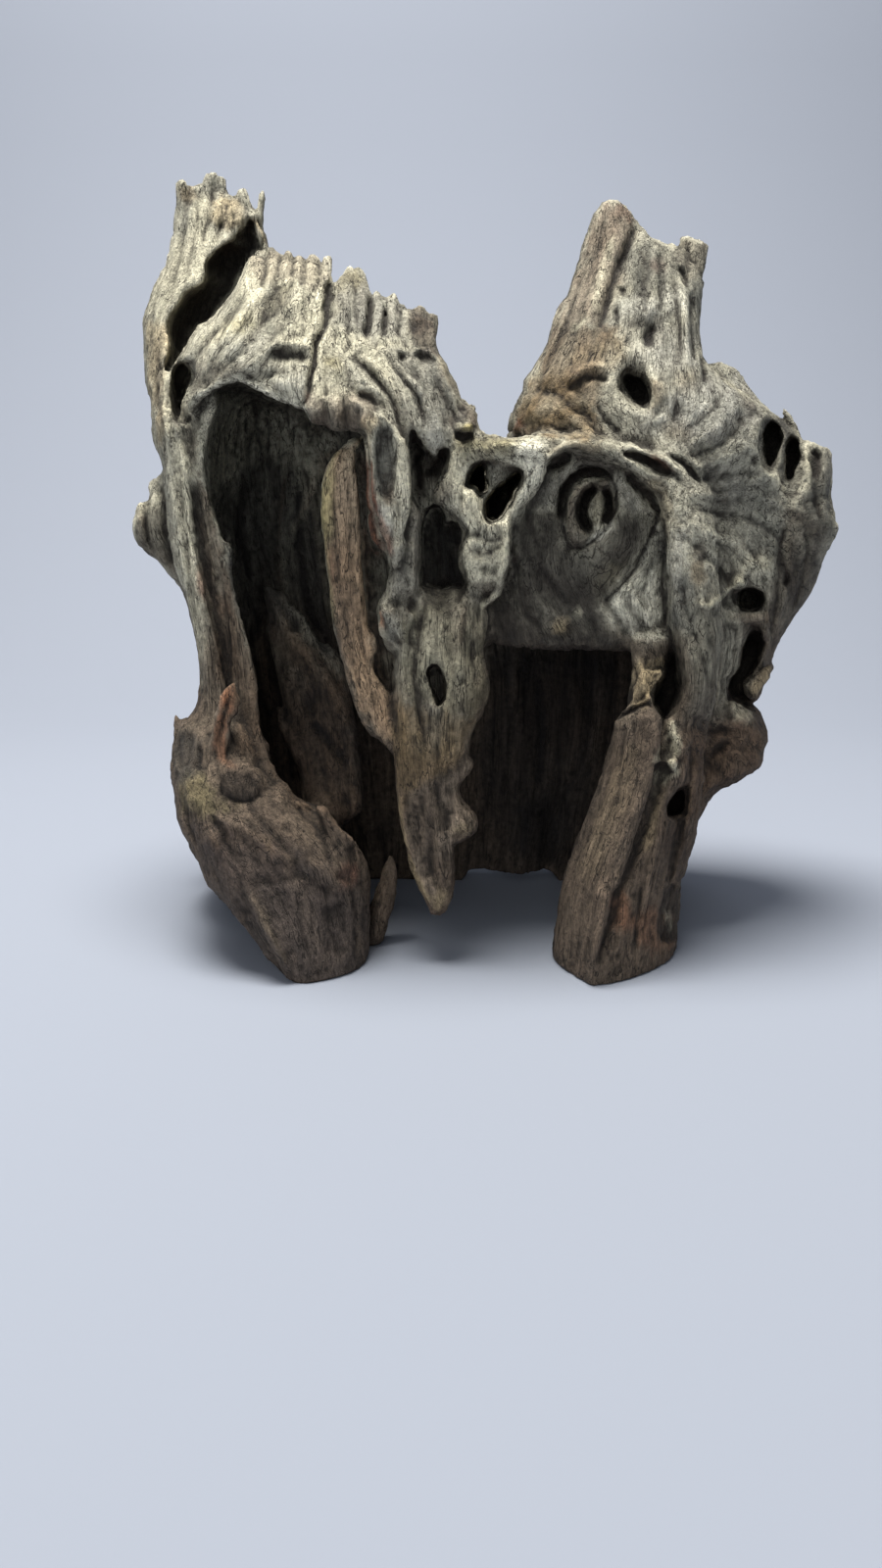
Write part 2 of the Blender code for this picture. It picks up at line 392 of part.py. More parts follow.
def main():
    for obj in list(bpy.data.objects):
        bpy.data.objects.remove(obj)
    parts = bpy.data.collections.new("driftwood_part")
    cutters = bpy.data.collections.new("cutters")
    bpy.context.scene.collection.children.link(parts)
    bpy.context.scene.collection.children.link(cutters)

    trunk = limbs("trunk_limbs", TRUNK, cutters, feet=BACK_FEET)
    remesh(trunk, BODY_VOXEL)
    hollow = limbs("hollow_limbs", HOLLOW, cutters)
    remesh(hollow, BODY_VOXEL)
    front = limbs("front_limbs", FRONT, cutters, teeth=TEETH)
    remesh(front, BODY_VOXEL)
    holes = limbs("hole_limbs", {}, cutters, holes=HOLES)
    remesh(holes, BODY_VOXEL)

    wood = bpy.data.objects.new("driftwood", trunk.data.copy())
    parts.objects.link(wood)
    remesh(wood, BODY_VOXEL)
    boolean(wood, hollow, "DIFFERENCE")
    boolean(wood, front, "UNION")
    boolean(wood, holes, "DIFFERENCE")
    remesh(wood, FINE_VOXEL)
    smooth(wood, 0.5, 2)
    settle(wood)

    ratio = FACE_BUDGET / (2.0 * max(len(wood.data.polygons), 1))
    m = wood.modifiers.new("Thin", "DECIMATE")
    m.ratio = min(1.0, ratio)
    m.use_collapse_triangulate = True
    settle(wood)

    bm = bmesh.new()
    bmesh.ops.create_cube(bm, size=1.0)
    for v in bm.verts:
        v.co.z -= 0.5
    ground = new_object("ground_cut", bm, cutters)
    boolean(wood, ground, "DIFFERENCE")
    settle(wood)

    for obj in (trunk, hollow, front, holes, ground):
        bpy.data.objects.remove(obj)

    for v in wood.data.vertices:
        v.co.x += SHIFT[0]
        v.co.y += SHIFT[1]
        v.co.z += SHIFT[2]
    material = bpy.data.materials.new("weathered_wood")
    material.use_nodes = True
    shader = material.node_tree.nodes["Principled BSDF"]
    shader.inputs["Base Color"].default_value = (*WOOD_COLOUR, 1.0)
    shader.inputs["Roughness"].default_value = 0.85
    shader.inputs["Metallic"].default_value = 0.0
    wood.data.materials.clear()
    wood.data.materials.append(material)
    for p in wood.data.polygons:
        p.use_smooth = True
    wood.data.set_sharp_from_angle(angle=math.radians(40))
    low = np.min([v.co[:] for v in wood.data.vertices], axis=0)
    high = np.max([v.co[:] for v in wood.data.vertices], axis=0)
    print("driftwood", len(wood.data.polygons), "triangles", low.round(5), high.round(5))


main()
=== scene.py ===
"""Driftwood: a hollow, weathered root stump. The visual piece is one closed body of wood that stands for the CAD node.

The stump's limbs are laid out on a sighting grid (grid x to the right, grid y downwards, as seen from one point in
front of the stump) and at real depths, joined softly in a volume, hollowed, and cut by the knots, holes and slots.
Ridges, grooves and cracks are then pressed into the wood, the grain is solved over the whole surface so that fine
furrows, streaks and pores follow it round every limb, and the body is thinned to its final mesh.
"""
import math
import time

import bmesh
import bpy
import numpy as np
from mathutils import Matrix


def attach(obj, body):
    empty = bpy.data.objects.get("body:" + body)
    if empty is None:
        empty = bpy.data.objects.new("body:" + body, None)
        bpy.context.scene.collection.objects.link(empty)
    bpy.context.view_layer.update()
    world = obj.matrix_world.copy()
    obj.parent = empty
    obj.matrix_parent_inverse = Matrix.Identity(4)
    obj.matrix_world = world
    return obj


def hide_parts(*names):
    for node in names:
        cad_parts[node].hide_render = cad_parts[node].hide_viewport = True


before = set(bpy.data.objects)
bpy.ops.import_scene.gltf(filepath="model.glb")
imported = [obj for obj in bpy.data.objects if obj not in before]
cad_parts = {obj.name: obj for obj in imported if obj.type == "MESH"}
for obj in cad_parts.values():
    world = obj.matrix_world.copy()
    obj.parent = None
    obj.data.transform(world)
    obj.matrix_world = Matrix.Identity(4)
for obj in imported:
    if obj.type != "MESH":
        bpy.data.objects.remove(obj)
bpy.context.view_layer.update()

import openvdb

STARTED = time.time()


def say(*words):
    print(f"[{time.time() - STARTED:5.1f} s]", *words, flush=True)


# ---- driving sizes ------------------------------------------------------------------------------------------------
SIGHT_BACK = 0.593
SIGHT_HEIGHT = 0.2076
SIGHT_PITCH = math.radians(13.0)
GRID_FOCAL = 1200.0
GRID_CENTRE = (450.0, 800.0)
SHIFT = (-0.02206, -0.00270, 0.0)
EYE = np.array([SHIFT[0], SHIFT[1] - SIGHT_BACK, SIGHT_HEIGHT])
FORWARD = np.array([0.0, math.cos(SIGHT_PITCH), -math.sin(SIGHT_PITCH)])
UPWARD = np.array([0.0, math.sin(SIGHT_PITCH), math.cos(SIGHT_PITCH)])
VOXEL = 0.0012
BAND = 7
FAR = VOXEL * BAND
FACE_BUDGET = 194000
GRID_W, GRID_H = 900, 1060

# ---- the stump's own trunk, before it is hollowed -----------------------------------------------------------------
# (left x, left y, right x, right y, depth, half thickness, tilt)
TRUNK = {
    "left_body": (2.4, [
        (200, 292, 320, 292, .026, .018, 0), (165, 330, 415, 330, .024, .040, 0), (152, 380, 455, 380, .022, .056, 0),
        (158, 440, 495, 440, .024, .066, 0), (170, 500, 520, 500, .024, .071, 0), (176, 560, 530, 560, .023, .072, 0),
        (190, 620, 540, 620, .022, .073, 0), (203, 690, 540, 690, .020, .074, 0), (190, 745, 540, 745, .018, .074, 0),
        (182, 800, 535, 800, .014, .074, 0), (186, 842, 528, 842, .012, .072, 0), (206, 880, 515, 880, .012, .070, 0)]),
    "right_body": (2.4, [
        (580, 322, 716, 322, .010, .028, 0), (545, 372, 722, 372, .010, .044, 0), (515, 440, 800, 440, .012, .056, 0),
        (505, 500, 835, 500, .014, .064, 0), (500, 560, 832, 560, .016, .068, 0), (500, 620, 806, 622, .017, .070, 0),
        (500, 690, 768, 695, .018, .072, 0), (500, 750, 765, 755, .018, .072, 0), (500, 800, 722, 812, .018, .072, 0),
        (505, 850, 706, 855, .016, .070, 0), (515, 880, 702, 880, .014, .068, 0)]),
    "tower_left": (2.2, [
        (184, 192, 258, 210, .034, .007, 0), (178, 207, 268, 218, .034, .012, 0), (174, 236, 272, 240, .033, .018, 0),
        (167, 268, 280, 262, .031, .023, 0), (157, 290, 284, 285, .029, .027, 0), (148, 318, 280, 315, .026, .030, 0),
        (146, 345, 268, 345, .022, .032, 0), (148, 385, 250, 385, .016, .034, 0), (155, 425, 235, 425, .010, .036, 0),
        (160, 455, 222, 460, .006, .036, 0), (170, 485, 214, 490, .002, .036, 0)]),
    "wing": (2.2, [
        (712, 374, 752, 377, .016, .014, 0), (712, 410, 784, 416, .012, .026, 0), (706, 445, 816, 440, .008, .034, 0),
        (702, 472, 848, 470, .006, .038, 0), (702, 512, 850, 512, .004, .040, 0), (702, 545, 856, 538, .002, .040, 0),
        (700, 580, 838, 576, .000, .040, 0), (698, 615, 824, 612, .000, .040, 0), (698, 650, 799, 650, .000, .040, 0),
        (698, 685, 784, 690, .000, .038, 0), (698, 730, 775, 729, -.002, .036, 0), (698, 757, 784, 757, -.006, .034, 0),
        (697, 785, 775, 786, -.010, .030, 0), (690, 812, 728, 809, -.014, .026, 0), (682, 842, 712, 840, -.018, .024, 0)]),
    "middle_body": (2.6, [
        (440, 492, 590, 492, .046, .028, 0), (425, 525, 615, 525, .046, .042, 0), (420, 600, 640, 600, .046, .048, 0),
        (420, 720, 640, 720, .046, .048, 0), (420, 820, 640, 820, .044, .047, 0), (430, 866, 630, 866, .044, .044, 0)]),
    "back_ridge_left": (2.0, [
        (196, 262, 236, 262, .044, .012, 0), (196, 330, 262, 330, .058, .018, 0), (205, 420, 270, 420, .078, .018, 0),
        (232, 520, 285, 520, .088, .014, 0), (262, 620, 318, 620, .090, .014, 0), (262, 720, 322, 720, .086, .016, 0),
        (245, 800, 316, 800, .080, .018, 0), (240, 868, 310, 868, .072, .020, 0)]),
    "back_ridge_middle": (2.0, [
        (420, 400, 462, 400, .046, .014, 0), (428, 480, 476, 480, .076, .016, 0), (402, 580, 456, 580, .088, .014, 0),
        (372, 690, 428, 690, .088, .013, 0), (380, 790, 436, 790, .086, .012, 0), (410, 868, 460, 868, .080, .012, 0)]),
    "back_ridge_right": (2.0, [
        (622, 300, 668, 300, .034, .014, 0), (612, 380, 672, 380, .052, .018, 0), (598, 470, 656, 470, .074, .016, 0),
        (604, 570, 652, 570, .084, .014, 0), (590, 680, 640, 680, .086, .014, 0), (584, 780, 640, 780, .082, .016, 0),
        (590, 866, 644, 866, .074, .020, 0)]),
    "side_ridge_right": (2.0, [
        (750, 420, 786, 420, .036, .012, 0), (752, 500, 796, 500, .050, .016, 0), (722, 590, 766, 590, .062, .014, 0),
        (690, 690, 736, 690, .064, .014, 0), (660, 790, 708, 790, .062, .016, 0), (640, 866, 690, 866, .060, .018, 0)]),
}

# ---- the hollow inside, open to the front and below ---------------------------------------------------------------
HOLLOW = {
    "left_chamber": (3.0, [
        (222, 415, 335, 415, -.030, .080, 0), (212, 445, 370, 445, -.030, .088, 0), (212, 500, 420, 500, -.032, .094, 0),
        (232, 560, 470, 560, -.032, .096, 0), (246, 620, 520, 620, -.034, .096, 0), (262, 690, 540, 690, -.036, .096, 0),
        (268, 750, 550, 750, -.040, .096, 0), (290, 800, 550, 800, -.044, .096, 0), (335, 850, 550, 850, -.048, .096, 0),
        (360, 920, 550, 920, -.050, .096, 0), (370, 1010, 550, 1010, -.050, .096, 0), (370, 1090, 550, 1090, -.050, .096, 0)]),
    "right_chamber": (3.0, [
        (510, 560, 660, 560, .018, .036, 0), (490, 600, 690, 600, .012, .048, 0), (480, 660, 680, 660, -.030, .090, 0),
        (470, 720, 650, 720, -.036, .098, 0), (470, 800, 628, 800, -.040, .098, 0), (475, 860, 618, 860, -.044, .098, 0),
        (478, 920, 612, 920, -.046, .098, 0), (480, 1010, 612, 1010, -.048, .098, 0), (480, 1090, 612, 1090, -.048, .098, 0)]),
    "deep_left": (3.0, [
        (236, 455, 420, 455, .012, .040, 0), (220, 500, 470, 500, .012, .050, 0), (214, 560, 520, 560, .012, .054, 0),
        (218, 620, 540, 620, .012, .056, 0), (228, 690, 560, 690, .012, .056, 0), (222, 750, 560, 750, .010, .056, 0),
        (212, 800, 560, 800, .010, .056, 0), (214, 850, 560, 850, .010, .054, 0), (228, 890, 560, 890, .010, .052, 0),
        (238, 940, 560, 940, .010, .052, 0), (242, 1060, 560, 1060, .010, .052, 0)]),
    "deep_right": (3.0, [
        (580, 505, 740, 505, .026, .030, 0), (540, 560, 782, 560, .024, .038, 0), (520, 620, 770, 622, .024, .040, 0),
        (520, 690, 738, 692, .022, .042, 0), (520, 760, 726, 762, .020, .042, 0), (520, 820, 690, 822, .018, .044, 0),
        (520, 880, 680, 880, .014, .046, 0), (520, 940, 676, 940, .012, .048, 0), (520, 1060, 676, 1060, .012, .048, 0)]),
    "tower_pocket": (2.6, [
        (256, 226, 272, 226, .002, .032, 0), (232, 246, 270, 244, .000, .036, 0), (211, 264, 266, 262, .000, .040, 0),
        (209, 286, 258, 286, -.002, .040, 0), (190, 302, 250, 302, -.004, .040, 0), (176, 324, 236, 324, -.006, .038, 0),
        (173, 340, 222, 340, -.008, .036, 0), (176, 362, 204, 362, -.010, .032, 0), (176, 395, 196, 395, -.012, .028, 0),
        (180, 425, 190, 425, -.012, .020, 0)]),
}

# ---- the wood in front --------------------------------------------------------------------------------------------
FRONT = {
    "rim_left": (2.2, [
        (156, 425, 196, 425, -.014, .018, 0), (166, 475, 197, 475, -.016, .018, 0), (170, 520, 200, 520, -.018, .018, 0),
        (174, 565, 206, 565, -.020, .018, 0), (188, 610, 216, 608, -.022, .018, 0), (199, 660, 226, 655, -.024, .018, 0),
        (203, 708, 234, 700, -.026, .019, 0), (190, 738, 250, 738, -.028, .021, 0), (177, 770, 262, 770, -.032, .024, 0),
        (175, 800, 272, 800, -.036, .028, 0)]),
    "wall_left": (2.2, [
        (192, 440, 204, 440, .000, .008, .010), (188, 500, 212, 500, .000, .006, .014), (190, 560, 226, 560, .000, .006, .016),
        (200, 620, 242, 620, -.002, .006, .018), (210, 690, 261, 690, -.004, .007, .020), (220, 750, 264, 750, -.010, .009, .018),
        (230, 800, 276, 800, -.020, .010, .012)]),
    "knob_left": (2.0, [
        (153, 486, 176, 482, .004, .007, 0), (137, 516, 180, 510, .002, .012, 0), (133, 544, 180, 545, .002, .013, 0),
        (148, 567, 184, 568, .002, .011, 0), (172, 588, 192, 592, .000, .008, 0)]),
    "spur_left": (2.0, [(177, 727, 181, 727, -.020, .003, 0), (177, 740, 190, 744, -.020, .007, 0), (178, 765, 205, 765, -.022, .012, 0)]),
    "foot_left": (2.6, [
        (178, 752, 262, 752, -.030, .028, 0), (175, 790, 276, 790, -.038, .033, 0), (178, 825, 318, 825, -.045, .036, 0),
        (184, 850, 352, 852, -.050, .036, 0), (200, 876, 372, 872, -.054, .035, .004), (212, 902, 378, 898, -.058, .033, .006),
        (231, 925, 378, 925, -.062, .030, .008), (251, 950, 377, 950, -.066, .028, .010), (271, 977, 376, 977, -.069, .026, .010),
        (285, 993, 373, 990, -.070, .025, .010), (296, 1012, 366, 1004, -.070, .024, .010), (300, 1035, 362, 1030, -.070, .024, .010)]),
    "splinter_foot": (2.0, [
        (396, 873, 402, 873, -.040, .003, 0), (388, 895, 407, 893, -.040, .005, 0), (378, 925, 404, 920, -.042, .007, 0),
        (370, 960, 392, 958, -.044, .008, 0)]),
    "brow": (2.4, [
        (166, 398, 170, 446, -.008, .010, 0), (176, 370, 182, 440, -.016, .012, -.008), (198, 337, 202, 414, -.024, .014, -.012),
        (222, 316, 222, 394, -.030, .016, -.015), (250, 268, 246, 387, -.032, .017, -.018), (280, 262, 276, 403, -.034, .018, -.020),
        (312, 265, 312, 418, -.036, .019, -.022), (338, 268, 338, 438, -.038, .020, -.024), (366, 276, 368, 442, -.040, .021, -.024),
        (392, 300, 396, 450, -.042, .022, -.022), (420, 315, 424, 466, -.042, .022, -.018), (446, 330, 450, 478, -.042, .022, -.012),
        (470, 396, 474, 482, -.042, .020, -.006), (488, 430, 492, 478, -.044, .016, 0), (510, 445, 510, 474, -.044, .014, 0)]),
    "saddle": (2.2, [
        (480, 443, 484, 478, -.044, .014, 0), (505, 443, 505, 476, -.044, .013, 0), (530, 446, 534, 480, -.045, .014, 0),
        (562, 440, 560, 472, -.046, .017, 0), (600, 440, 600, 468, -.046, .019, 0), (640, 450, 636, 482, -.048, .019, 0),
        (670, 470, 662, 502, -.050, .017, 0)]),
    "trunk_left": (2.2, [
        (368, 430, 428, 430, -.052, .016, 0), (374, 470, 425, 470, -.058, .014, 0), (380, 510, 428, 510, -.062, .012, 0),
        (390, 550, 430, 550, -.062, .011, 0), (395, 580, 430, 580, -.062, .011, 0), (385, 620, 425, 622, -.062, .013, 0),
        (392, 655, 424, 660, -.062, .011, 0)]),
    "trunk_right": (2.2, [
        (440, 440, 500, 440, -.050, .018, 0), (450, 480, 486, 480, -.055, .014, 0), (440, 508, 496, 508, -.058, .012, 0),
        (468, 535, 522, 535, -.060, .010, 0), (468, 570, 518, 570, -.062, .010, 0), (474, 597, 514, 594, -.062, .008, 0)]),
    "trunk_back": (2.2, [
        (410, 470, 500, 470, -.036, .010, 0), (415, 540, 505, 540, -.038, .010, 0), (415, 600, 505, 600, -.044, .012, 0),
        (410, 650, 500, 650, -.050, .014, 0)]),
    "lug_right": (2.0, [(494, 534, 530, 530, -.054, .008, 0), (500, 548, 534, 546, -.052, .008, 0), (506, 562, 530, 560, -.050, .007, 0)]),
    "tusk": (2.2, [
        (404, 596, 496, 606, -.058, .012, 0), (408, 640, 498, 638, -.062, .014, 0), (404, 670, 493, 664, -.064, .015, 0),
        (400, 700, 500, 698, -.066, .015, 0), (399, 730, 494, 726, -.067, .014, 0), (401, 760, 478, 758, -.068, .013, 0),
        (403, 785, 484, 781, -.068, .012, 0), (405, 806, 469, 806, -.068, .011, 0), (409, 830, 483, 828, -.068, .010, 0),
        (412, 851, 484, 848, -.068, .010, 0), (414, 866, 463, 864, -.068, .009, 0), (419, 886, 463, 884, -.068, .008, 0),
        (426, 906, 463, 904, -.068, .009, 0), (432, 919, 461, 916, -.068, .008, 0), (437, 929, 457, 926, -.068, .006, 0)]),
    "strap": (2.8, [
        (352, 452, 368, 447, -.054, .006, 0), (339, 464, 368, 460, -.060, .006, 0), (330, 482, 367, 476, -.063, .006, 0), (327, 510, 368, 506, -.064, .006, 0),
        (329, 550, 370, 548, -.065, .005, 0), (333, 590, 373, 588, -.065, .005, 0), (337, 620, 377, 620, -.065, .005, 0),
        (343, 650, 382, 648, -.065, .005, 0), (351, 685, 390, 682, -.065, .006, 0), (358, 707, 398, 703, -.065, .007, 0),
        (366, 732, 404, 726, -.065, .008, 0), (380, 750, 410, 745, -.065, .009, 0), (396, 765, 416, 762, -.065, .009, 0)]),
    "strand_inside": (2.0, [
        (268, 600, 280, 600, .020, .005, 0), (270, 640, 318, 636, .018, .006, 0), (280, 680, 350, 672, .014, .008, 0),
        (290, 730, 362, 720, .008, .010, 0), (300, 780, 366, 770, .000, .012, 0), (310, 830, 368, 820, -.012, .014, 0)]),
    "shield": (2.8, [
        (552, 458, 644, 462, -.040, .010, 0), (528, 500, 670, 500, -.043, .012, 0), (518, 545, 678, 545, -.045, .013, 0),
        (510, 590, 680, 590, -.045, .013, 0), (500, 625, 680, 625, -.045, .012, 0), (494, 651, 690, 652, -.045, .009, 0)]),
    "ridge_right": (2.2, [
        (648, 430, 704, 430, -.036, .020, 0), (664, 480, 720, 480, -.044, .024, 0), (675, 540, 730, 540, -.050, .024, 0),
        (677, 600, 734, 600, -.053, .023, 0), (684, 650, 734, 655, -.055, .021, 0), (694, 700, 730, 700, -.057, .019, 0),
        (670, 745, 722, 750, -.056, .018, .002), (656, 790, 716, 800, -.058, .019, .004), (644, 840, 712, 845, -.060, .020, .008),
        (626, 890, 699, 888, -.064, .020, .012), (608, 930, 694, 930, -.068, .020, .014), (600, 965, 692, 965, -.070, .020, .016),
        (598, 992, 688, 985, -.072, .020, .016), (598, 1020, 684, 1008, -.073, .020, .016), (598, 1035, 682, 1025, -.073, .020, .016)]),
    "foot_right": (2.8, [
        (627, 737, 674, 720, -.069, .009, -.006), (624, 757, 675, 757, -.070, .010, -.009), (616, 780, 668, 788, -.069, .010, -.011),
        (599, 827, 656, 830, -.072, .011, -.012), (583, 871, 640, 880, -.074, .012, -.013), (575, 897, 632, 906, -.076, .012, -.014),
        (568, 935, 620, 945, -.077, .012, -.016), (563, 970, 612, 985, -.077, .012, -.017), (566, 1000, 610, 1015, -.077, .012, -.017),
        (568, 1030, 610, 1035, -.077, .012, -.017)]),
    "strand_arch": (2.2, [
        (640, 655, 690, 655, -.050, .010, 0), (645, 680, 678, 680, -.052, .009, 0), (642, 705, 668, 705, -.054, .009, 0),
        (640, 735, 664, 735, -.056, .009, 0)]),
    "tower_right": (2.3, [
        (606, 203, 642, 201, .012, .009, 0), (602, 228, 655, 227, .012, .014, 0), (595, 250, 690, 250, .010, .019, 0),
        (584, 282, 716, 282, .006, .026, 0), (566, 315, 716, 315, .002, .032, 0), (553, 355, 716, 352, -.004, .038, 0),
        (537, 385, 732, 380, -.008, .042, 0), (524, 420, 780, 420, -.010, .046, 0), (522, 450, 810, 452, -.010, .047, 0),
        (540, 485, 820, 490, -.008, .046, 0)]),
    "tooth_block": (3.4, [(694, 243, 724, 247, .018, .009, 0), (693, 262, 723, 262, .017, .011, 0), (690, 288, 719, 288, .014, .013, 0)]),
    "flange_outer": (2.0, [
        (826, 450, 846, 458, .000, .010, 0), (828, 485, 850, 480, -.002, .014, 0), (826, 520, 852, 515, -.002, .016, 0),
        (818, 550, 856, 540, -.002, .016, 0), (806, 590, 838, 580, -.004, .014, 0)]),
}

# crown teeth and splinters: (base left x, base right x, base y, tip x, tip y, depth, half thickness)
TEETH = [
    (178, 196, 212, 184, 181, .032, .006), (198, 226, 212, 214, 174, .034, .007), (222, 236, 212, 229, 180, .034, .005),
    (238, 258, 225, 248, 190, .034, .006), (258, 271, 240, 267, 192, .034, .0045),
    (250, 272, 285, 259, 259, -.014, .007), (268, 290, 285, 280, 256, -.013, .007), (286, 302, 285, 295, 255, -.013, .007),
    (300, 316, 285, 306, 258, -.013, .007), (312, 330, 288, 320, 259, -.014, .007), (326, 341, 290, 334, 261, -.014, .007),
    (337, 350, 296, 341, 262, -.016, .006), (350, 363, 300, 357, 269, -.018, .006), (361, 378, 305, 367, 270, -.019, .006),
    (378, 394, 325, 386, 293, -.022, .007), (394, 410, 330, 402, 297, -.024, .007), (410, 424, 338, 414, 308, -.025, .006),
    (420, 438, 340, 428, 310, -.026, .006), (434, 449, 350, 444, 319, -.028, .006),
    (478, 489, 445, 483, 409, -.040, .005), (466, 480, 442, 474, 405, -.040, .005),
    (783, 792, 700, 790, 678, -.004, .005), (838, 850, 470, 846, 455, .000, .006), (808, 824, 450, 802, 418, .006, .006),
]

# ---- feet at the back ---------------------------------------------------------------------------------------------
# (x, y at the ground, half width, half depth, x, y at the top, half width, half depth, height of the top)
BACK_FEET = [
    (-0.098, 0.052, 0.026, 0.018, -0.112, 0.062, 0.034, 0.024, 0.085),
    (0.098, 0.056, 0.024, 0.018, 0.104, 0.062, 0.032, 0.024, 0.085),
]

# the low gap under the back wall: its middle and its full size
BACK_GAP = ((0.040, 0.085, -0.006), (0.062, 0.110, 0.0285))

# ---- openings cut to their own outlines: (front depth, back depth, outline) ------------------------------------------
CUTS = [
    # pocket in the tower at the left, and the slot under it
    (-.080, .020, [(255, 226), (250, 230), (248, 238), (247, 249), (240, 250), (232, 249), (226, 251), (221, 256), (214, 263),
                   (209, 268), (209, 280), (209, 290), (207, 297), (203, 299), (197, 297), (191, 299), (189, 306), (186, 313),
                   (178, 320), (174, 326), (172, 334), (174, 338), (177, 345), (176, 355), (173, 366), (168, 378), (171, 380),
                   (178, 370), (184, 362), (190, 354), (196, 340), (201, 331), (205, 326), (209, 329), (213, 326), (220, 318),
                   (227, 310), (236, 300), (242, 288), (247, 277), (250, 266), (252, 261), (257, 259), (264, 258), (267, 256),
                   (264, 248), (259, 238)]),
    (-.070, .006, [(179, 372), (184, 370), (192, 371), (197, 380), (196, 391), (191, 399), (188, 405), (186, 412), (186, 424),
                   (181, 433), (177, 430), (175, 420), (174, 405), (174, 392), (176, 380)]),
    # gap between strap and trunk, gap under the brow's tongue, the hollow slot in the trunk
    (-.120, -.008, [(364, 463), (368, 461), (371, 475), (371, 500), (372, 520), (374, 545), (378, 557), (388, 567), (394, 573),
                    (397, 581), (395, 592), (390, 603), (385, 612), (381, 618), (380, 632), (378, 642), (376, 620), (374, 590),
                    (373, 560), (372, 530), (370, 500), (367, 480)]),
    (-.120, -.046, [(421, 440), (425, 448), (432, 459), (440, 467), (447, 473), (450, 462), (455, 460), (456, 468), (453, 478),
                    (448, 486), (440, 488), (434, 491), (431, 501), (428, 516), (425, 521), (421, 512), (420, 490), (421, 465)]),
    (-.120, .006, [(434, 530), (436, 524), (440, 520), (446, 518), (451, 520), (453, 527), (452, 534), (456, 538), (460, 534),
                    (466, 533), (470, 537), (473, 545), (471, 553), (467, 561), (468, 572), (472, 584), (476, 594), (473, 601),
                    (462, 598), (450, 603), (440, 598), (432, 596), (430, 584), (432, 566), (431, 548)]),
    # slit between the strap's end and the tusk, hole through the tusk
    (-.120, -.030, [(383, 671), (387, 675), (392, 684), (397, 696), (396, 702), (390, 695), (385, 684)]),
    (-.120, -.036, [(439, 682), (445, 680), (450, 688), (454, 700), (453, 712), (448, 717), (444, 710), (440, 698), (437, 688)]),
    # three-cornered hole in the bridge
    (-.120, -.004, [(530, 482), (524, 485), (515, 491), (507, 499), (499, 506), (494, 514), (497, 530), (503, 532), (512, 528),
                   (518, 520), (523, 508), (528, 496), (533, 487)]),
    (-.120, -.004, [(476, 496), (479, 484), (486, 475), (495, 472), (495, 485), (498, 500), (491, 506), (485, 497)]),
    # eye knot
    (-.120, -.042, [(606, 495), (609, 499), (604, 506), (599, 514), (597, 522), (598, 530), (603, 536), (603, 541), (598, 542),
                    (593, 536), (590, 526), (590, 515), (594, 505), (600, 498)]),
    (-.120, -.044, [(616, 498), (620, 497), (624, 502), (626, 512), (624, 523), (619, 531), (615, 533), (618, 524), (619, 512),
                    (617, 504)]),
    (-.120, -.043, [(570, 526), (570, 508), (575, 495), (584, 485), (598, 478), (612, 478), (622, 485), (612, 485), (602, 483),
                    (591, 487), (582, 495), (576, 508), (575, 524)]),
    # tower at the right
    (-.100, -.022, [(635, 391), (635, 386), (638, 382), (643, 381), (648, 383), (653, 385), (657, 388), (660, 393), (662, 399),
                    (662, 405), (660, 410), (656, 412), (651, 411), (645, 407), (640, 402), (636, 397)]),
    # wing at the right
    (-.060, .002, [(781, 436), (785, 430), (792, 431), (797, 438), (799, 448), (796, 458), (793, 466), (790, 474), (785, 480),
                   (781, 474), (779, 465), (778, 455), (779, 445)]),
    (-.060, .008, [(803, 452), (808, 446), (814, 450), (816, 462), (815, 474), (812, 480), (810, 488), (806, 492), (802, 490),
                   (800, 482), (802, 470), (801, 460)]),
    (-.090, -.004, [(754, 606), (758, 602), (764, 601), (770, 603), (776, 606), (778, 613), (774, 621), (765, 623), (757, 621),
                    (753, 614)]),
    (-.090, .004, [(762, 650), (768, 643), (776, 646), (779, 655), (775, 665), (772, 678), (766, 686), (760, 694), (757, 700),
                   (760, 710), (766, 716), (768, 723), (762, 722), (752, 716), (744, 712), (742, 703), (744, 693), (750, 688),
                   (755, 680), (757, 668), (759, 658)]),
    # right leg
    (-.110, -.030, [(689, 690), (692, 700), (690, 712), (684, 726), (678, 736), (672, 728), (666, 716), (672, 704), (678, 692),
                    (682, 676), (686, 668), (690, 676)]),
    (-.110, -.040, [(681, 832), (681, 820), (686, 812), (694, 806), (698, 804), (699, 815), (697, 828), (690, 832)]),
]

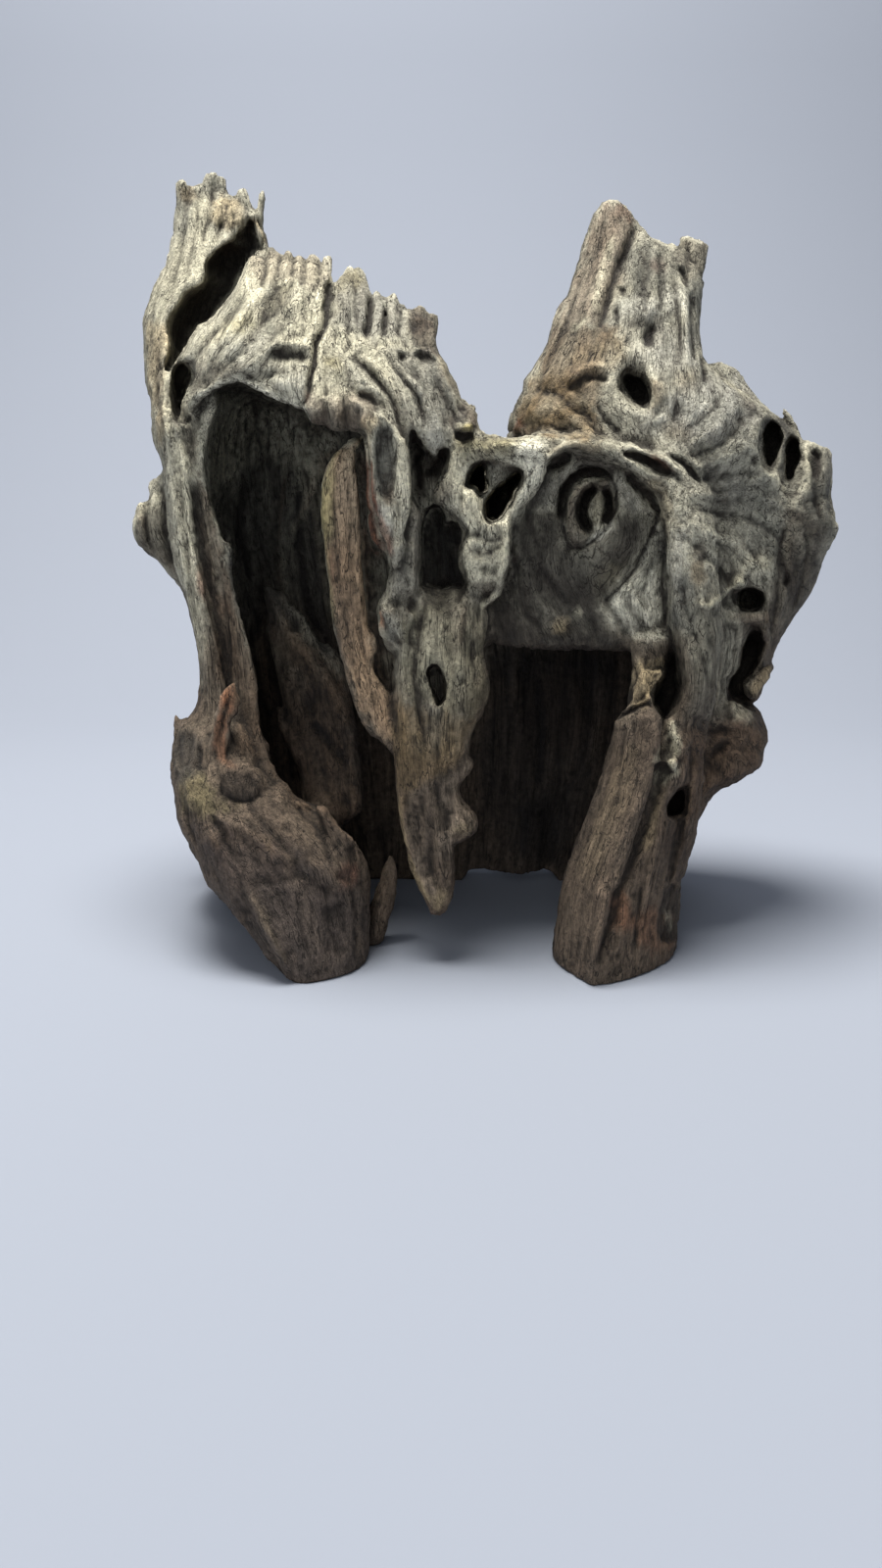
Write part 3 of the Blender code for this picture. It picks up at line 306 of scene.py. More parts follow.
# ---- pieces of wood that lie on the rest: (how far behind its face, half thickness, softness, outline) -----------------------------------
PLATES = [
    (.000, .003, .0010, [(256, 226), (262, 225), (270, 240), (268, 258), (264, 250), (259, 240)]),
    (.0025, .006, .0020, [(472, 495), (484, 496), (490, 505), (495, 520), (498, 532), (505, 531), (512, 528), (520, 529),
                          (522, 540), (521, 560), (519, 575), (516, 590), (510, 598), (500, 598), (490, 599), (480, 599),
                          (475, 592), (471, 581), (470, 570), (472, 560), (475, 550), (474, 540), (468, 531), (470, 512)]),
    (-.003, .0050, .0012, [(372, 428), (384, 424), (400, 430), (412, 445), (419, 470), (421, 500), (417, 530), (410, 555),
                           (404, 575), (399, 580), (396, 566), (390, 548), (383, 530), (378, 505), (377, 470), (374, 445)]),
    (-.0015, .0045, .0010, [(371, 452), (376, 450), (378, 480), (380, 506), (385, 524), (392, 538), (396, 552), (396, 563), (390, 567),
                            (382, 562), (376, 554), (373, 538), (371, 510), (370, 480)]),
    (.0010, .008, .0060, [(468, 452), (500, 448), (530, 446), (560, 448), (563, 470), (552, 495), (541, 512), (528, 528),
                          (512, 536), (492, 534), (478, 512), (470, 480)]),
    (-.001, .003, .0010, [(489, 621), (492, 614), (500, 608), (511, 606), (512, 609), (503, 612), (496, 617), (493, 622)]),
    (-.001, .003, .0010, [(524, 558), (530, 560), (529, 568), (524, 567)]),
    (.0020, .006, .0020, [(386, 622), (396, 618), (412, 620), (424, 624), (422, 640), (416, 652), (405, 659), (394, 656),
                          (387, 648), (384, 635)]),
    (-.0022, .0050, .0010, [(575, 524), (577, 508), (583, 497), (592, 491), (601, 489), (606, 493), (600, 500), (592, 506),
                           (588, 515), (588, 526), (592, 534), (598, 538), (602, 544), (600, 551), (592, 556), (583, 556),
                           (577, 546), (575, 534)]),
    (-.0018, .0045, .0010, [(605, 496), (610, 489), (617, 488), (624, 494), (628, 508), (627, 522), (622, 526), (619, 514),
                           (618, 500), (613, 498), (608, 502)]),
    (.0000, .003, .0010, [(605, 520), (608, 508), (614, 505), (617, 514), (616, 528), (610, 536), (604, 534)]),
    (-.002, .0045, .0010, [(660, 683), (668, 682), (678, 682), (680, 690), (672, 696), (664, 708), (660, 720), (650, 724),
                           (642, 722), (643, 706), (650, 692)]),
    (-.002, .004, .0012, [(790, 679), (785, 678), (775, 685), (765, 695), (760, 703), (763, 712), (767, 718), (775, 708),
                          (783, 697), (788, 688)]),
    (.0010, .005, .0020, [(750, 592), (756, 589), (761, 594), (760, 601), (753, 603), (748, 599)]),
    (-.003, .006, .0020, [(672, 772), (682, 770), (688, 778), (684, 788), (676, 784), (669, 778)]),
    (-.005, .005, .0012, [(240, 694), (231, 700), (225, 709), (223, 718), (219, 726), (217, 740), (213, 758), (209, 775),
                          (222, 776), (232, 770), (235, 752), (236, 736), (243, 728), (245, 714), (242, 702)]),
    (.0040, .006, .0080, [(222, 785), (232, 779), (248, 779), (262, 784), (267, 796), (262, 812), (246, 820), (230, 816),
                          (222, 804)]),
    (-.002, .005, .0012, [(328, 826), (333, 828), (342, 840), (348, 852), (358, 853), (364, 862), (350, 870), (340, 856),
                          (332, 842)]),
]

# ---- areas that stand out or lie lower: (height in mm, how far in the edge reaches, outline) ------------------------
AREAS = [
    (1.6, 7, [(212, 212), (220, 203), (232, 200), (244, 206), (251, 218), (247, 228), (235, 230), (222, 228), (211, 222)]),
    (-1.6, 12, [(273, 362), (279, 357), (290, 356), (300, 356), (312, 357), (317, 362), (312, 368), (300, 369), (288, 370), (277, 368)]),
    (1.6, 5, [(270, 350), (285, 346), (305, 346), (318, 352), (316, 357), (300, 355), (285, 355), (273, 358)]),
    (-4.6, 3, [(338, 285), (341, 292), (338, 320), (334, 335), (330, 335), (331, 310), (331, 292)]),
    (-4.6, 3, [(375, 306), (380, 308), (380, 320), (379, 335), (376, 343), (371, 342), (372, 330), (374, 318)]),
    (-4.6, 3, [(391, 316), (396, 320), (396, 332), (393, 341), (389, 340), (390, 328)]),
    (-2.0, 8, [(403, 359), (414, 359), (416, 366), (412, 375), (406, 370)]),
    (-2.2, 7, [(420, 362), (427, 358), (437, 359), (444, 366), (442, 372), (434, 372), (427, 368)]),
    (1.6, 3, [(419, 357), (427, 353), (440, 355), (447, 364), (444, 366), (437, 359), (427, 358), (420, 361)]),
    (-1.8, 6, [(262, 332), (267, 306), (284, 290), (298, 290), (298, 305), (282, 322), (266, 336)]),
    (-1.6, 5, [(416, 330), (430, 327), (440, 330), (446, 340), (446, 360), (430, 358), (420, 348)]),
    (2.6, 7, [(313, 404), (323, 402), (325, 418), (322, 436), (314, 430), (311, 416)]),
    (2.6, 7, [(326, 402), (336, 402), (338, 420), (335, 438), (326, 434), (324, 418)]),
    (2.6, 8, [(338, 402), (352, 402), (354, 420), (350, 440), (339, 438), (337, 420)]),
    (2.6, 8, [(356, 404), (372, 406), (378, 420), (374, 440), (358, 440), (354, 422)]),
    (-3.2, 6, [(366, 400), (380, 400), (392, 408), (396, 420), (388, 418), (376, 410), (366, 406)]),
    (1.8, 3, [(361, 407), (372, 411), (384, 418), (394, 427), (392, 431), (382, 424), (370, 416), (360, 411)]),
    (-4.4, 4, [(463, 441), (482, 440), (484, 447), (474, 450), (463, 449)]),
    (3.6, 5, [(467, 433), (474, 430), (482, 433), (481, 441), (470, 441)]),
    (-4.4, 6, [(498, 470), (520, 474), (532, 478), (520, 488), (506, 498), (498, 502), (494, 488), (495, 474)]),
    (-3.2, 6, [(559, 480), (560, 470), (570, 463), (583, 461), (582, 470), (576, 478), (566, 480)]),
    (2.4, 6, [(556, 470), (562, 460), (574, 452), (588, 448), (604, 452), (616, 462), (606, 466), (596, 462), (584, 458),
              (572, 460), (562, 468)]),
    (-2.4, 5, [(634, 480), (646, 484), (658, 494), (668, 508), (672, 522), (664, 516), (652, 504), (640, 492)]),
    (-2.6, 5, [(683, 464), (696, 468), (708, 478), (714, 492), (704, 488), (692, 478)]),
    (-3.0, 6, [(636, 459), (652, 464), (668, 470), (684, 478), (692, 487), (678, 485), (662, 477), (646, 470), (636, 465)]),
    (1.8, 4, [(652, 458), (668, 463), (684, 470), (696, 482), (690, 482), (680, 474), (664, 468), (652, 464)]),
    (-2.2, 9, [(630, 386), (638, 374), (652, 373), (662, 383), (668, 398), (666, 412), (658, 420), (645, 417), (634, 408), (629, 396)]),
    (-1.8, 9, [(632, 368), (645, 362), (660, 368), (664, 382), (660, 384), (648, 377), (634, 382)]),
    (2.0, 5, [(664, 384), (676, 390), (680, 402), (674, 414), (664, 420), (666, 406), (664, 396)]),
    (-1.6, 8, [(640, 330), (655, 324), (672, 328), (674, 340), (668, 336), (656, 336), (648, 342)]),
    (-1.0, 9, [(545, 396), (560, 386), (580, 389), (600, 393), (608, 401), (595, 406), (570, 403), (555, 406)]),
    (1.0, 8, [(580, 384), (592, 374), (608, 370), (622, 372), (618, 378), (604, 378), (592, 384), (584, 392)]),
    (-3.0, 5, [(690, 270), (698, 274), (704, 284), (703, 296), (697, 290), (692, 280)]),
    (0.8, 7, [(628, 306), (645, 300), (668, 304), (688, 296), (700, 300), (697, 316), (680, 322), (650, 322), (632, 322)]),
    (1.6, 6, [(757, 576), (766, 570), (780, 570), (788, 578), (784, 588), (770, 590), (758, 588)]),
    (-2.6, 5, [(736, 604), (750, 602), (754, 612), (748, 622), (736, 620)]),
    (1.8, 4, [(706, 612), (722, 618), (738, 608), (750, 596), (756, 584), (758, 590), (746, 604), (732, 616), (722, 623), (708, 618)]),
    (2.0, 5, [(742, 632), (748, 625), (760, 624), (784, 626), (787, 634), (772, 636), (758, 638), (748, 640)]),
    (-2.4, 5, [(724, 768), (732, 760), (742, 753), (746, 758), (736, 768), (726, 776)]),
    (2.0, 6, [(745, 715), (752, 712), (760, 720), (770, 726), (772, 734), (762, 740), (752, 736), (746, 727)]),
    (-2.0, 6, [(706, 728), (725, 735), (744, 740), (742, 750), (724, 750), (706, 744)]),
    (-2.0, 6, [(705, 556), (712, 551), (722, 556), (724, 570), (716, 576), (706, 568)]),
    (-1.0, 14, [(414, 808), (424, 804), (432, 812), (434, 840), (430, 866), (420, 870), (413, 848)]),
    (-1.0, 14, [(440, 798), (452, 794), (466, 800), (468, 826), (462, 850), (450, 850), (442, 830)]),
    (2.4, 8, [(464, 824), (478, 822), (487, 838), (486, 849), (474, 852), (464, 846)]),
    (-1.6, 6, [(426, 700), (436, 706), (444, 740), (440, 770), (430, 750), (425, 724)]),
    (-3.2, 7, [(383, 440), (392, 434), (401, 440), (405, 465), (404, 495), (397, 512), (388, 506), (382, 480)]),
    (-4.6, 5, [(671, 944), (673, 926), (678, 910), (686, 901), (693, 908), (695, 926), (693, 946), (690, 960), (680, 962), (672, 956)]),
    (2.4, 4, [(672, 934), (680, 930), (688, 934), (688, 942), (678, 944)]),
    (-2.6, 5, [(690, 832), (698, 836), (696, 860), (690, 884), (686, 902), (680, 900), (684, 870), (686, 846)]),
    (-4.2, 8, [(652, 344), (656, 336), (664, 331), (670, 336), (670, 346), (666, 354), (659, 355)]),
    (-3.4, 6, [(776, 432), (785, 422), (799, 424), (812, 436), (820, 454), (821, 484), (815, 506), (807, 512), (798, 503),
               (792, 482), (780, 478), (776, 455)]),
    (-3.2, 5, [(828, 457), (834, 459), (839, 464), (838, 476), (834, 488), (829, 486), (827, 470)]),
    (-1.4, 10, [(424, 806), (432, 812), (436, 836), (436, 862), (442, 890), (436, 894), (424, 868), (418, 836)]),
    (-1.2, 10, [(444, 800), (456, 806), (461, 826), (456, 850), (448, 848), (441, 824)]),
    (-4.4, 14, [(430, 596), (452, 592), (476, 596), (472, 616), (452, 624), (434, 616)]),
    (-1.6, 4, [(395, 610), (412, 606), (426, 612), (424, 621), (410, 618), (394, 619)]),
    (2.4, 9, [(400, 555), (412, 548), (424, 556), (427, 590), (424, 606), (404, 606), (394, 600)]),
    (-2.4, 5, [(296, 884), (302, 874), (308, 886), (312, 894), (306, 899), (299, 894)]),
    (-2.2, 8, [(246, 912), (258, 920), (272, 946), (290, 980), (290, 998), (276, 978), (256, 948)]),
    (2.0, 5, [(252, 914), (260, 916), (276, 944), (294, 984), (292, 996), (276, 966), (260, 938)]),
    (-2.0, 10, [(328, 925), (350, 920), (356, 945), (350, 975), (334, 975), (326, 950)]),
    (2.0, 9, [(318, 880), (336, 876), (352, 882), (366, 888), (362, 908), (344, 910), (324, 902)]),
    (2.6, 5, [(606, 905), (616, 903), (622, 912), (620, 935), (614, 960), (606, 985), (600, 990), (602, 960), (606, 930)]),
    (-2.2, 6, [(622, 905), (634, 905), (630, 935), (618, 965), (606, 992), (612, 960), (620, 930)]),
    (1.6, 12, [(183, 794), (200, 786), (216, 790), (222, 804), (220, 820), (204, 826), (188, 822), (181, 808)]),
    (-1.8, 6, [(180, 752), (196, 744), (200, 760), (198, 780), (184, 786), (178, 770)]),
]

# ---- stains and bleached parts, and painted shade in holes, hollows, creases and under ledges with painted highlights on lit tops: (kind, strength, edge, outline) ---
TONES = [
    # tower at the left
    ("tan", 0.75, 6, [(210, 214), (219, 203), (232, 199), (245, 206), (252, 220), (247, 230), (235, 232), (220, 230), (209, 222)]),
    ("cream", 0.8, 8, [(200, 200), (214, 198), (216, 222), (210, 240), (196, 250), (190, 230)]),
    ("cream", 0.55, 14, [(176, 240), (200, 235), (225, 240), (215, 262), (205, 290), (190, 295), (160, 330), (152, 310), (165, 270)]),
    ("ochre", 0.7, 6, [(182, 188), (196, 190), (200, 202), (190, 210), (182, 202)]),
    ("slate", 0.45, 8, [(180, 205), (196, 205), (196, 225), (186, 245), (179, 240)]),
    ("slate", 0.5, 5, [(203, 176), (226, 176), (231, 192), (218, 200), (204, 194)]),
    ("slate", 0.4, 5, [(242, 196), (252, 194), (256, 222), (250, 226), (244, 212)]),
    ("tan", 0.55, 8, [(148, 330), (172, 330), (176, 360), (166, 400), (168, 440), (160, 455), (152, 420), (148, 370)]),
    ("umber_and_shade", 0.6, 3, [(158, 350), (163, 350), (164, 400), (168, 436), (163, 436), (159, 400)]),
    ("cream", 0.7, 4, [(167, 376), (172, 376), (174, 410), (176, 436), (182, 436), (178, 450), (168, 446), (166, 410)]),
    # plateau
    ("cream", 0.85, 10, [(252, 262), (290, 262), (330, 268), (334, 290), (330, 330), (318, 356), (290, 352), (280, 330), (300, 300),
                        (276, 290), (262, 320), (240, 345), (216, 352), (204, 350), (236, 305)]),
    ("lichen", 0.45, 8, [(236, 322), (256, 318), (264, 334), (254, 350), (236, 350), (224, 340)]),
    ("moss", 0.6, 8, [(262, 334), (266, 306), (284, 290), (298, 290), (300, 308), (284, 322), (268, 338)]),
    ("slate", 0.35, 8, [(268, 318), (300, 312), (306, 326), (296, 342), (270, 340)]),
    ("slate", 0.35, 8, [(230, 300), (256, 296), (262, 310), (240, 330), (228, 326)]),
    ("umber_and_shade", 0.45, 8, [(186, 372), (206, 366), (240, 372), (262, 384), (240, 384), (214, 394), (196, 404), (188, 392)]),
    # pale wood with a painted highlight along the lit lip of the brow
    ("pale_and_highlight", 0.75, 5, [(194, 410), (200, 402), (214, 396), (228, 388), (243, 384), (256, 390), (276, 398), (292, 406), (313, 414),
                       (313, 418), (290, 413), (272, 405), (252, 397), (243, 390), (226, 396), (210, 404)]),
    ("pale_and_highlight", 0.6, 10, [(232, 340), (262, 334), (276, 346), (268, 362), (244, 366), (226, 358)]),
    ("pale_and_highlight", 0.6, 8, [(286, 384), (306, 384), (316, 398), (310, 408), (294, 404), (284, 396)]),
    ("taupe", 0.55, 8, [(250, 258), (290, 254), (336, 260), (337, 288), (318, 296), (296, 284), (268, 290), (252, 276)]),
    ("taupe", 0.70, 8, [(312, 398), (345, 392), (372, 400), (386, 416), (376, 434), (340, 432), (314, 426)]),
    # second crown
    ("moss", 0.85, 8, [(341, 290), (352, 274), (372, 274), (378, 300), (372, 312), (352, 318), (341, 322)]),
    ("slate", 0.35, 6, [(380, 296), (392, 300), (412, 300), (416, 312), (414, 335), (384, 332)]),
    ("umber_and_shade", 0.9, 4, [(417, 315), (428, 312), (440, 318), (447, 323), (445, 352), (450, 364), (430, 358), (420, 348), (415, 334)]),
    ("cream", 0.7, 8, [(318, 352), (340, 330), (372, 342), (402, 342), (422, 356), (404, 362), (410, 380), (420, 400), (404, 402),
                       (380, 378), (360, 364), (350, 372), (356, 390), (372, 402), (340, 406), (316, 404), (316, 380)]),
    ("lichen", 0.6, 5, [(330, 361), (347, 365), (349, 377), (340, 379), (330, 371)]),
    ("slate", 0.6, 9, [(424, 385), (440, 376), (456, 388), (466, 405), (470, 425), (456, 432), (440, 420), (428, 402)]),
    ("ochre", 0.5, 5, [(446, 362), (455, 368), (457, 380), (466, 392), (466, 402), (456, 392), (448, 378)]),
    ("umber_and_shade", 0.6, 5, [(366, 400), (380, 400), (392, 408), (396, 420), (386, 418), (374, 410)]),
    # painted shade, over brown wood, on the fronts of the toes under the brow
    ("umber_and_shade", 0.85, 5, [(312, 418), (322, 420), (332, 418), (344, 420), (356, 418), (374, 420), (378, 440), (340, 444), (314, 438)]),
    ("umber_and_shade", 0.9, 3, [(470, 410), (487, 410), (489, 436), (482, 440), (476, 430), (468, 420)]),
    ("lichen", 0.9, 3, [(467, 433), (474, 430), (482, 433), (481, 441), (470, 441)]),
    ("white", 0.6, 6, [(424, 430), (440, 424), (456, 432), (454, 452), (444, 466), (432, 452)]),
    # saddle and bridge
    ("moss", 0.70, 10, [(460, 446), (500, 442), (534, 448), (526, 466), (500, 472), (478, 478), (462, 468)]),
    ("lichen", 0.35, 8, [(462, 446), (500, 444), (535, 450), (530, 462), (500, 458), (468, 462)]),
    # pale wood with a painted highlight on the bridge band, whose face turns down into shade
    ("pale_and_highlight", 0.85, 6, [(536, 452), (550, 446), (562, 456), (558, 476), (546, 496), (536, 510), (530, 512), (538, 490), (540, 470)]),
    ("pale_and_highlight", 0.45, 8, [(520, 452), (545, 444), (560, 456), (556, 476), (544, 496), (530, 514), (522, 527), (504, 534), (516, 522),
                        (526, 502), (534, 482), (530, 470)]),
    ("cream", 0.6, 6, [(456, 470), (470, 470), (478, 490), (490, 506), (494, 530), (480, 530), (466, 500), (458, 488)]),
    ("slate", 0.55, 6, [(496, 470), (516, 474), (526, 480), (512, 492), (498, 502)]),
    ("pale_and_highlight", 0.8, 8, [(528, 456), (546, 450), (556, 458), (554, 478), (544, 494), (534, 502), (534, 482), (526, 472)]),
    ("umber_and_shade", 0.5, 5, [(436, 490), (450, 490), (462, 500), (462, 516), (450, 516), (436, 510)]),
    ("cream", 0.6, 7, [(474, 500), (488, 502), (498, 534), (520, 532), (518, 560), (516, 592), (480, 596), (474, 580), (476, 550)]),
    ("slate", 0.45, 6, [(482, 540), (500, 536), (512, 548), (508, 570), (490, 572), (480, 560)]),
    ("cream", 0.8, 2, [(516, 530), (521, 532), (521, 560), (518, 580), (515, 580), (516, 556)]),
    ("cream", 0.9, 2, [(489, 621), (492, 614), (500, 608), (512, 606), (512, 610), (503, 613), (496, 618), (493, 623)]),
    ("ochre", 0.6, 6, [(556, 472), (562, 460), (574, 452), (590, 448), (606, 452), (616, 462), (604, 464), (590, 458), (574, 460)]),
    # tower at the right
    ("ochre", 0.80, 12, [(566, 322), (584, 330), (604, 330), (622, 334), (640, 344), (642, 360), (626, 374), (614, 392), (608, 420),
                         (614, 440), (600, 452), (575, 446), (545, 444), (522, 442), (524, 420), (536, 398), (546, 376), (560, 350)]),
    ("brown", 0.45, 8, [(560, 330), (600, 332), (634, 336), (620, 350), (600, 356), (580, 368), (556, 380), (548, 374)]),
    # painted shade in the fold under the crescent ridge
    ("brown", 0.5, 6, [(540, 396), (560, 386), (584, 388), (606, 398), (596, 408), (566, 404), (548, 410)]),
    ("tan", 0.5, 10, [(536, 410), (570, 408), (604, 410), (606, 440), (580, 444), (540, 440)]),
    ("brown", 0.40, 12, [(545, 384), (572, 372), (600, 362), (622, 378), (614, 404), (606, 436), (575, 442), (535, 440), (530, 412)]),
    ("taupe", 0.90, 20, [(606, 208), (640, 210), (648, 236), (630, 290), (612, 330), (560, 345), (574, 300), (598, 240)]),
    ("grey", 0.9, 16, [(686, 396), (730, 376), (764, 390), (780, 424), (760, 446), (720, 452), (690, 446), (672, 428)]),
    ("grey", 0.6, 16, [(650, 330), (712, 330), (714, 372), (680, 384), (660, 360)]),
    ("ochre", 0.75, 14, [(540, 392), (566, 384), (592, 388), (600, 404), (592, 430), (560, 440), (530, 436)]),
    ("umber_and_shade", 0.35, 10, [(560, 330), (590, 318), (612, 322), (604, 346), (578, 362), (556, 376), (548, 366)]),
    ("umber_and_shade", 0.5, 4, [(606, 210), (618, 204), (632, 206), (644, 214), (648, 228), (642, 226), (634, 214), (618, 212), (608, 220)]),
    ("umber_and_shade", 0.5, 4, [(692, 246), (704, 243), (720, 247), (722, 256), (710, 254), (694, 254)]),
    ("red", 0.4, 6, [(612, 208), (630, 206), (644, 214), (646, 226), (630, 222), (614, 222)]),
    ("brown", 0.35, 8, [(606, 216), (646, 218), (642, 250), (630, 262), (604, 256), (600, 240)]),
    ("red", 0.6, 4, [(664, 266), (674, 262), (682, 268), (680, 276), (668, 278)]),
    ("white", 0.60, 9, [(628, 306), (645, 300), (668, 304), (688, 290), (700, 298), (698, 314), (680, 322), (650, 322), (634, 322)]),
    ("slate", 0.55, 7, [(640, 250), (664, 246), (684, 262), (690, 280), (676, 296), (650, 298), (636, 290), (636, 270)]),
    ("umber_and_shade", 0.55, 5, [(690, 246), (724, 250), (720, 280), (702, 284), (690, 268)]),
    ("slate", 0.55, 5, [(702, 286), (718, 288), (716, 320), (704, 322), (700, 304)]),
    # painted shade under the pale band above the small hole, and in the funnel above the big hole
    ("umber_and_shade", 0.35, 8, [(642, 328), (656, 324), (674, 328), (672, 340), (654, 336), (640, 340)]),
    ("umber_and_shade", 0.5, 5, [(632, 368), (646, 362), (660, 370), (662, 380), (646, 376), (634, 380)]),
    ("ochre", 0.7, 4, [(664, 385), (676, 390), (680, 402), (674, 414), (663, 420), (666, 404)]),
    ("brown", 0.6, 4, [(664, 387), (672, 392), (674, 402), (668, 412), (665, 404)]),
    ("ochre", 0.5, 6, [(690, 384), (704, 376), (714, 386), (712, 400), (696, 402)]),
    ("white", 0.45, 12, [(640, 345), (665, 358), (690, 340), (712, 350), (712, 374), (690, 372), (670, 380), (648, 362)]),
    ("white", 0.5, 14, [(690, 404), (720, 404), (740, 420), (730, 440), (700, 436), (680, 440), (650, 446), (640, 440), (660, 425)]),
    ("ochre", 0.45, 7, [(676, 432), (700, 430), (710, 438), (700, 448), (680, 446)]),
    ("red", 0.55, 3, [(524, 428), (532, 426), (530, 440), (524, 446), (521, 440)]),
    # eyelid slits and the shield
    ("rust", 0.6, 3, [(664, 466), (676, 470), (686, 478), (684, 482), (672, 476), (662, 472)]),
    ("tan", 0.5, 10, [(650, 486), (668, 490), (684, 505), (686, 530), (680, 560), (676, 540), (672, 512), (660, 500)]),
    ("grey", 0.75, 8, [(560, 484), (575, 478), (590, 470), (602, 466), (615, 470), (632, 484), (648, 496), (660, 508), (668, 524),
                       (640, 522), (630, 510), (620, 490), (605, 480), (590, 483), (580, 492), (571, 508), (570, 520), (552, 518),
                       (545, 512)]),
    ("shade", 0.92, 10, [(540, 524), (556, 520), (570, 520), (574, 545), (578, 560), (600, 556), (622, 540), (632, 524), (660, 526),
                         (668, 530), (658, 552), (648, 574), (630, 596), (612, 616), (618, 640), (626, 646), (560, 646), (502, 650),
                         (508, 620), (516, 590), (522, 545), (534, 528)]),
    ("moss", 0.35, 8, [(620, 576), (640, 572), (634, 596), (614, 610), (606, 598)]),
    ("pale_and_highlight", 0.75, 8, [(640, 596), (656, 584), (674, 584), (676, 640), (680, 652), (660, 656), (640, 648), (622, 632), (620, 618)]),
    ("slate", 0.35, 6, [(658, 562), (672, 540), (677, 560), (675, 590), (655, 584)]),
    ("shade", 0.9, 4, [(496, 645), (520, 642), (560, 640), (620, 642), (638, 652), (640, 664), (600, 656), (560, 654), (520, 658),
                      (492, 664)]),
    ("brown", 0.7, 3, [(577, 520), (580, 508), (590, 496), (604, 489), (606, 494), (594, 510), (590, 524), (598, 538), (600, 550),
                       (588, 558), (579, 548)]),
    ("shade", 0.70, 3, [(575, 524), (577, 508), (590, 500), (590, 524), (600, 542), (594, 556), (582, 556), (576, 540)]),
    ("shade", 0.6, 3, [(605, 496), (612, 489), (620, 491), (628, 506), (627, 522), (621, 526), (618, 502), (608, 502)]),
    ("moss", 0.7, 2, [(605, 520), (608, 508), (614, 505), (617, 514), (616, 528), (610, 536), (604, 534)]),
    ("brown", 0.4, 3, [(605, 496), (612, 489), (620, 491), (627, 506), (627, 520), (621, 524), (618, 502), (608, 502)]),
    ("white", 0.9, 2, [(600, 554), (612, 550), (622, 541), (626, 533), (624, 532), (618, 538), (608, 546), (599, 551)]),
    ("tan", 0.9, 2, [(564, 640), (566, 634), (574, 632), (582, 636), (582, 643), (572, 647), (565, 646)]),
    ("cream", 0.8, 2, [(588, 626), (592, 624), (595, 626), (594, 629)]),
    # wing
    ("shade", 0.65, 6, [(778, 424), (800, 417), (814, 434), (820, 452), (812, 450), (800, 440), (788, 434), (780, 440)]),
    ("shade", 0.40, 14, [(790, 500), (816, 500), (850, 500), (856, 540), (838, 590), (800, 650), (790, 600), (790, 550)]),
    ("slate", 0.40, 16, [(700, 384), (735, 376), (764, 390), (782, 424), (750, 440), (704, 436)]),
    ("slate", 0.55, 14, [(736, 440), (766, 440), (784, 480), (800, 520), (800, 560), (786, 570), (760, 560), (740, 520), (716, 490)]),
    ("white", 0.4, 14, [(700, 400), (740, 378), (764, 396), (770, 420), (740, 430), (720, 450), (700, 440)]),
    ("umber_and_shade", 0.6, 8, [(752, 398), (764, 396), (774, 414), (770, 424), (758, 416)]),
    ("slate", 0.35, 12, [(724, 404), (752, 402), (760, 424), (744, 438), (722, 434)]),
    ("umber_and_shade", 0.35, 12, [(704, 690), (724, 690), (730, 730), (714, 744), (700, 730)]),
    ("grey", 0.5, 16, [(722, 476), (752, 470), (764, 500), (752, 524), (728, 520)]),
    ("umber_and_shade", 0.7, 10, [(800, 520), (820, 520), (846, 540), (840, 562), (830, 590), (806, 632), (792, 660), (784, 640), (786, 600),
                        (794, 580), (800, 560)]),
    ("slate", 0.6, 8, [(822, 460), (846, 460), (848, 490), (850, 528), (836, 540), (824, 520)]),
    ("shade", 0.5, 12, [(822, 456), (850, 456), (850, 490), (856, 536), (838, 580), (826, 620), (800, 650), (800, 600), (806, 560),
                        (816, 520)]),
    # pale wood with a painted highlight on the knob's top
    ("cream", 0.55, 5, [(757, 574), (768, 568), (782, 568), (788, 578), (782, 586), (768, 586), (758, 584)]),
    ("cream", 0.7, 4, [(708, 612), (722, 618), (738, 606), (750, 594), (757, 580), (760, 586), (748, 602), (732, 616), (722, 622)]),
    ("ochre", 0.6, 6, [(704, 566), (716, 572), (722, 584), (716, 600), (706, 596)]),
    ("umber_and_shade", 0.8, 5, [(706, 556), (714, 551), (722, 556), (722, 570), (712, 572)]),
    ("slate", 0.9, 6, [(684, 590), (700, 586), (708, 600), (706, 622), (712, 640), (700, 650), (690, 640), (678, 640), (680, 624)]),
    ("shade", 0.45, 16, [(690, 600), (712, 610), (740, 640), (742, 730), (705, 740), (690, 690)]),
    ("umber_and_shade", 0.75, 10, [(684, 650), (700, 650), (710, 680), (712, 720), (704, 730), (694, 740), (684, 720), (694, 690)]),
    ("brown", 0.6, 5, [(742, 630), (748, 626), (760, 625), (784, 626), (786, 633), (772, 635), (756, 636)]),
    ("umber_and_shade", 0.7, 6, [(756, 636), (772, 634), (784, 640), (786, 664), (776, 664), (766, 650), (756, 652)]),
    ("tan", 0.5, 5, [(764, 700), (776, 686), (788, 680), (784, 696), (770, 714)]),
    ("brown", 0.9, 12, [(702, 740), (740, 740), (782, 742), (786, 760), (776, 786), (730, 810), (712, 840), (700, 836), (698, 780)]),
    ("cream", 0.5, 5, [(745, 716), (752, 712), (762, 720), (770, 727), (764, 735), (752, 732)]),
    ("white", 0.5, 10, [(680, 545), (698, 545), (700, 570), (692, 586), (684, 600), (680, 620), (678, 570)]),
    # right leg and foot
    ("cream", 0.70, 6, [(680, 740), (690, 736), (694, 760), (690, 790), (676, 800), (668, 810), (672, 780), (678, 764)]),
    ("umber_and_shade", 0.75, 8, [(643, 656), (664, 653), (688, 652), (692, 668), (684, 684), (660, 676), (644, 676)]),
    ("tan", 0.70, 5, [(646, 676), (660, 674), (678, 674), (680, 690), (664, 706), (660, 720), (643, 724), (644, 700)]),
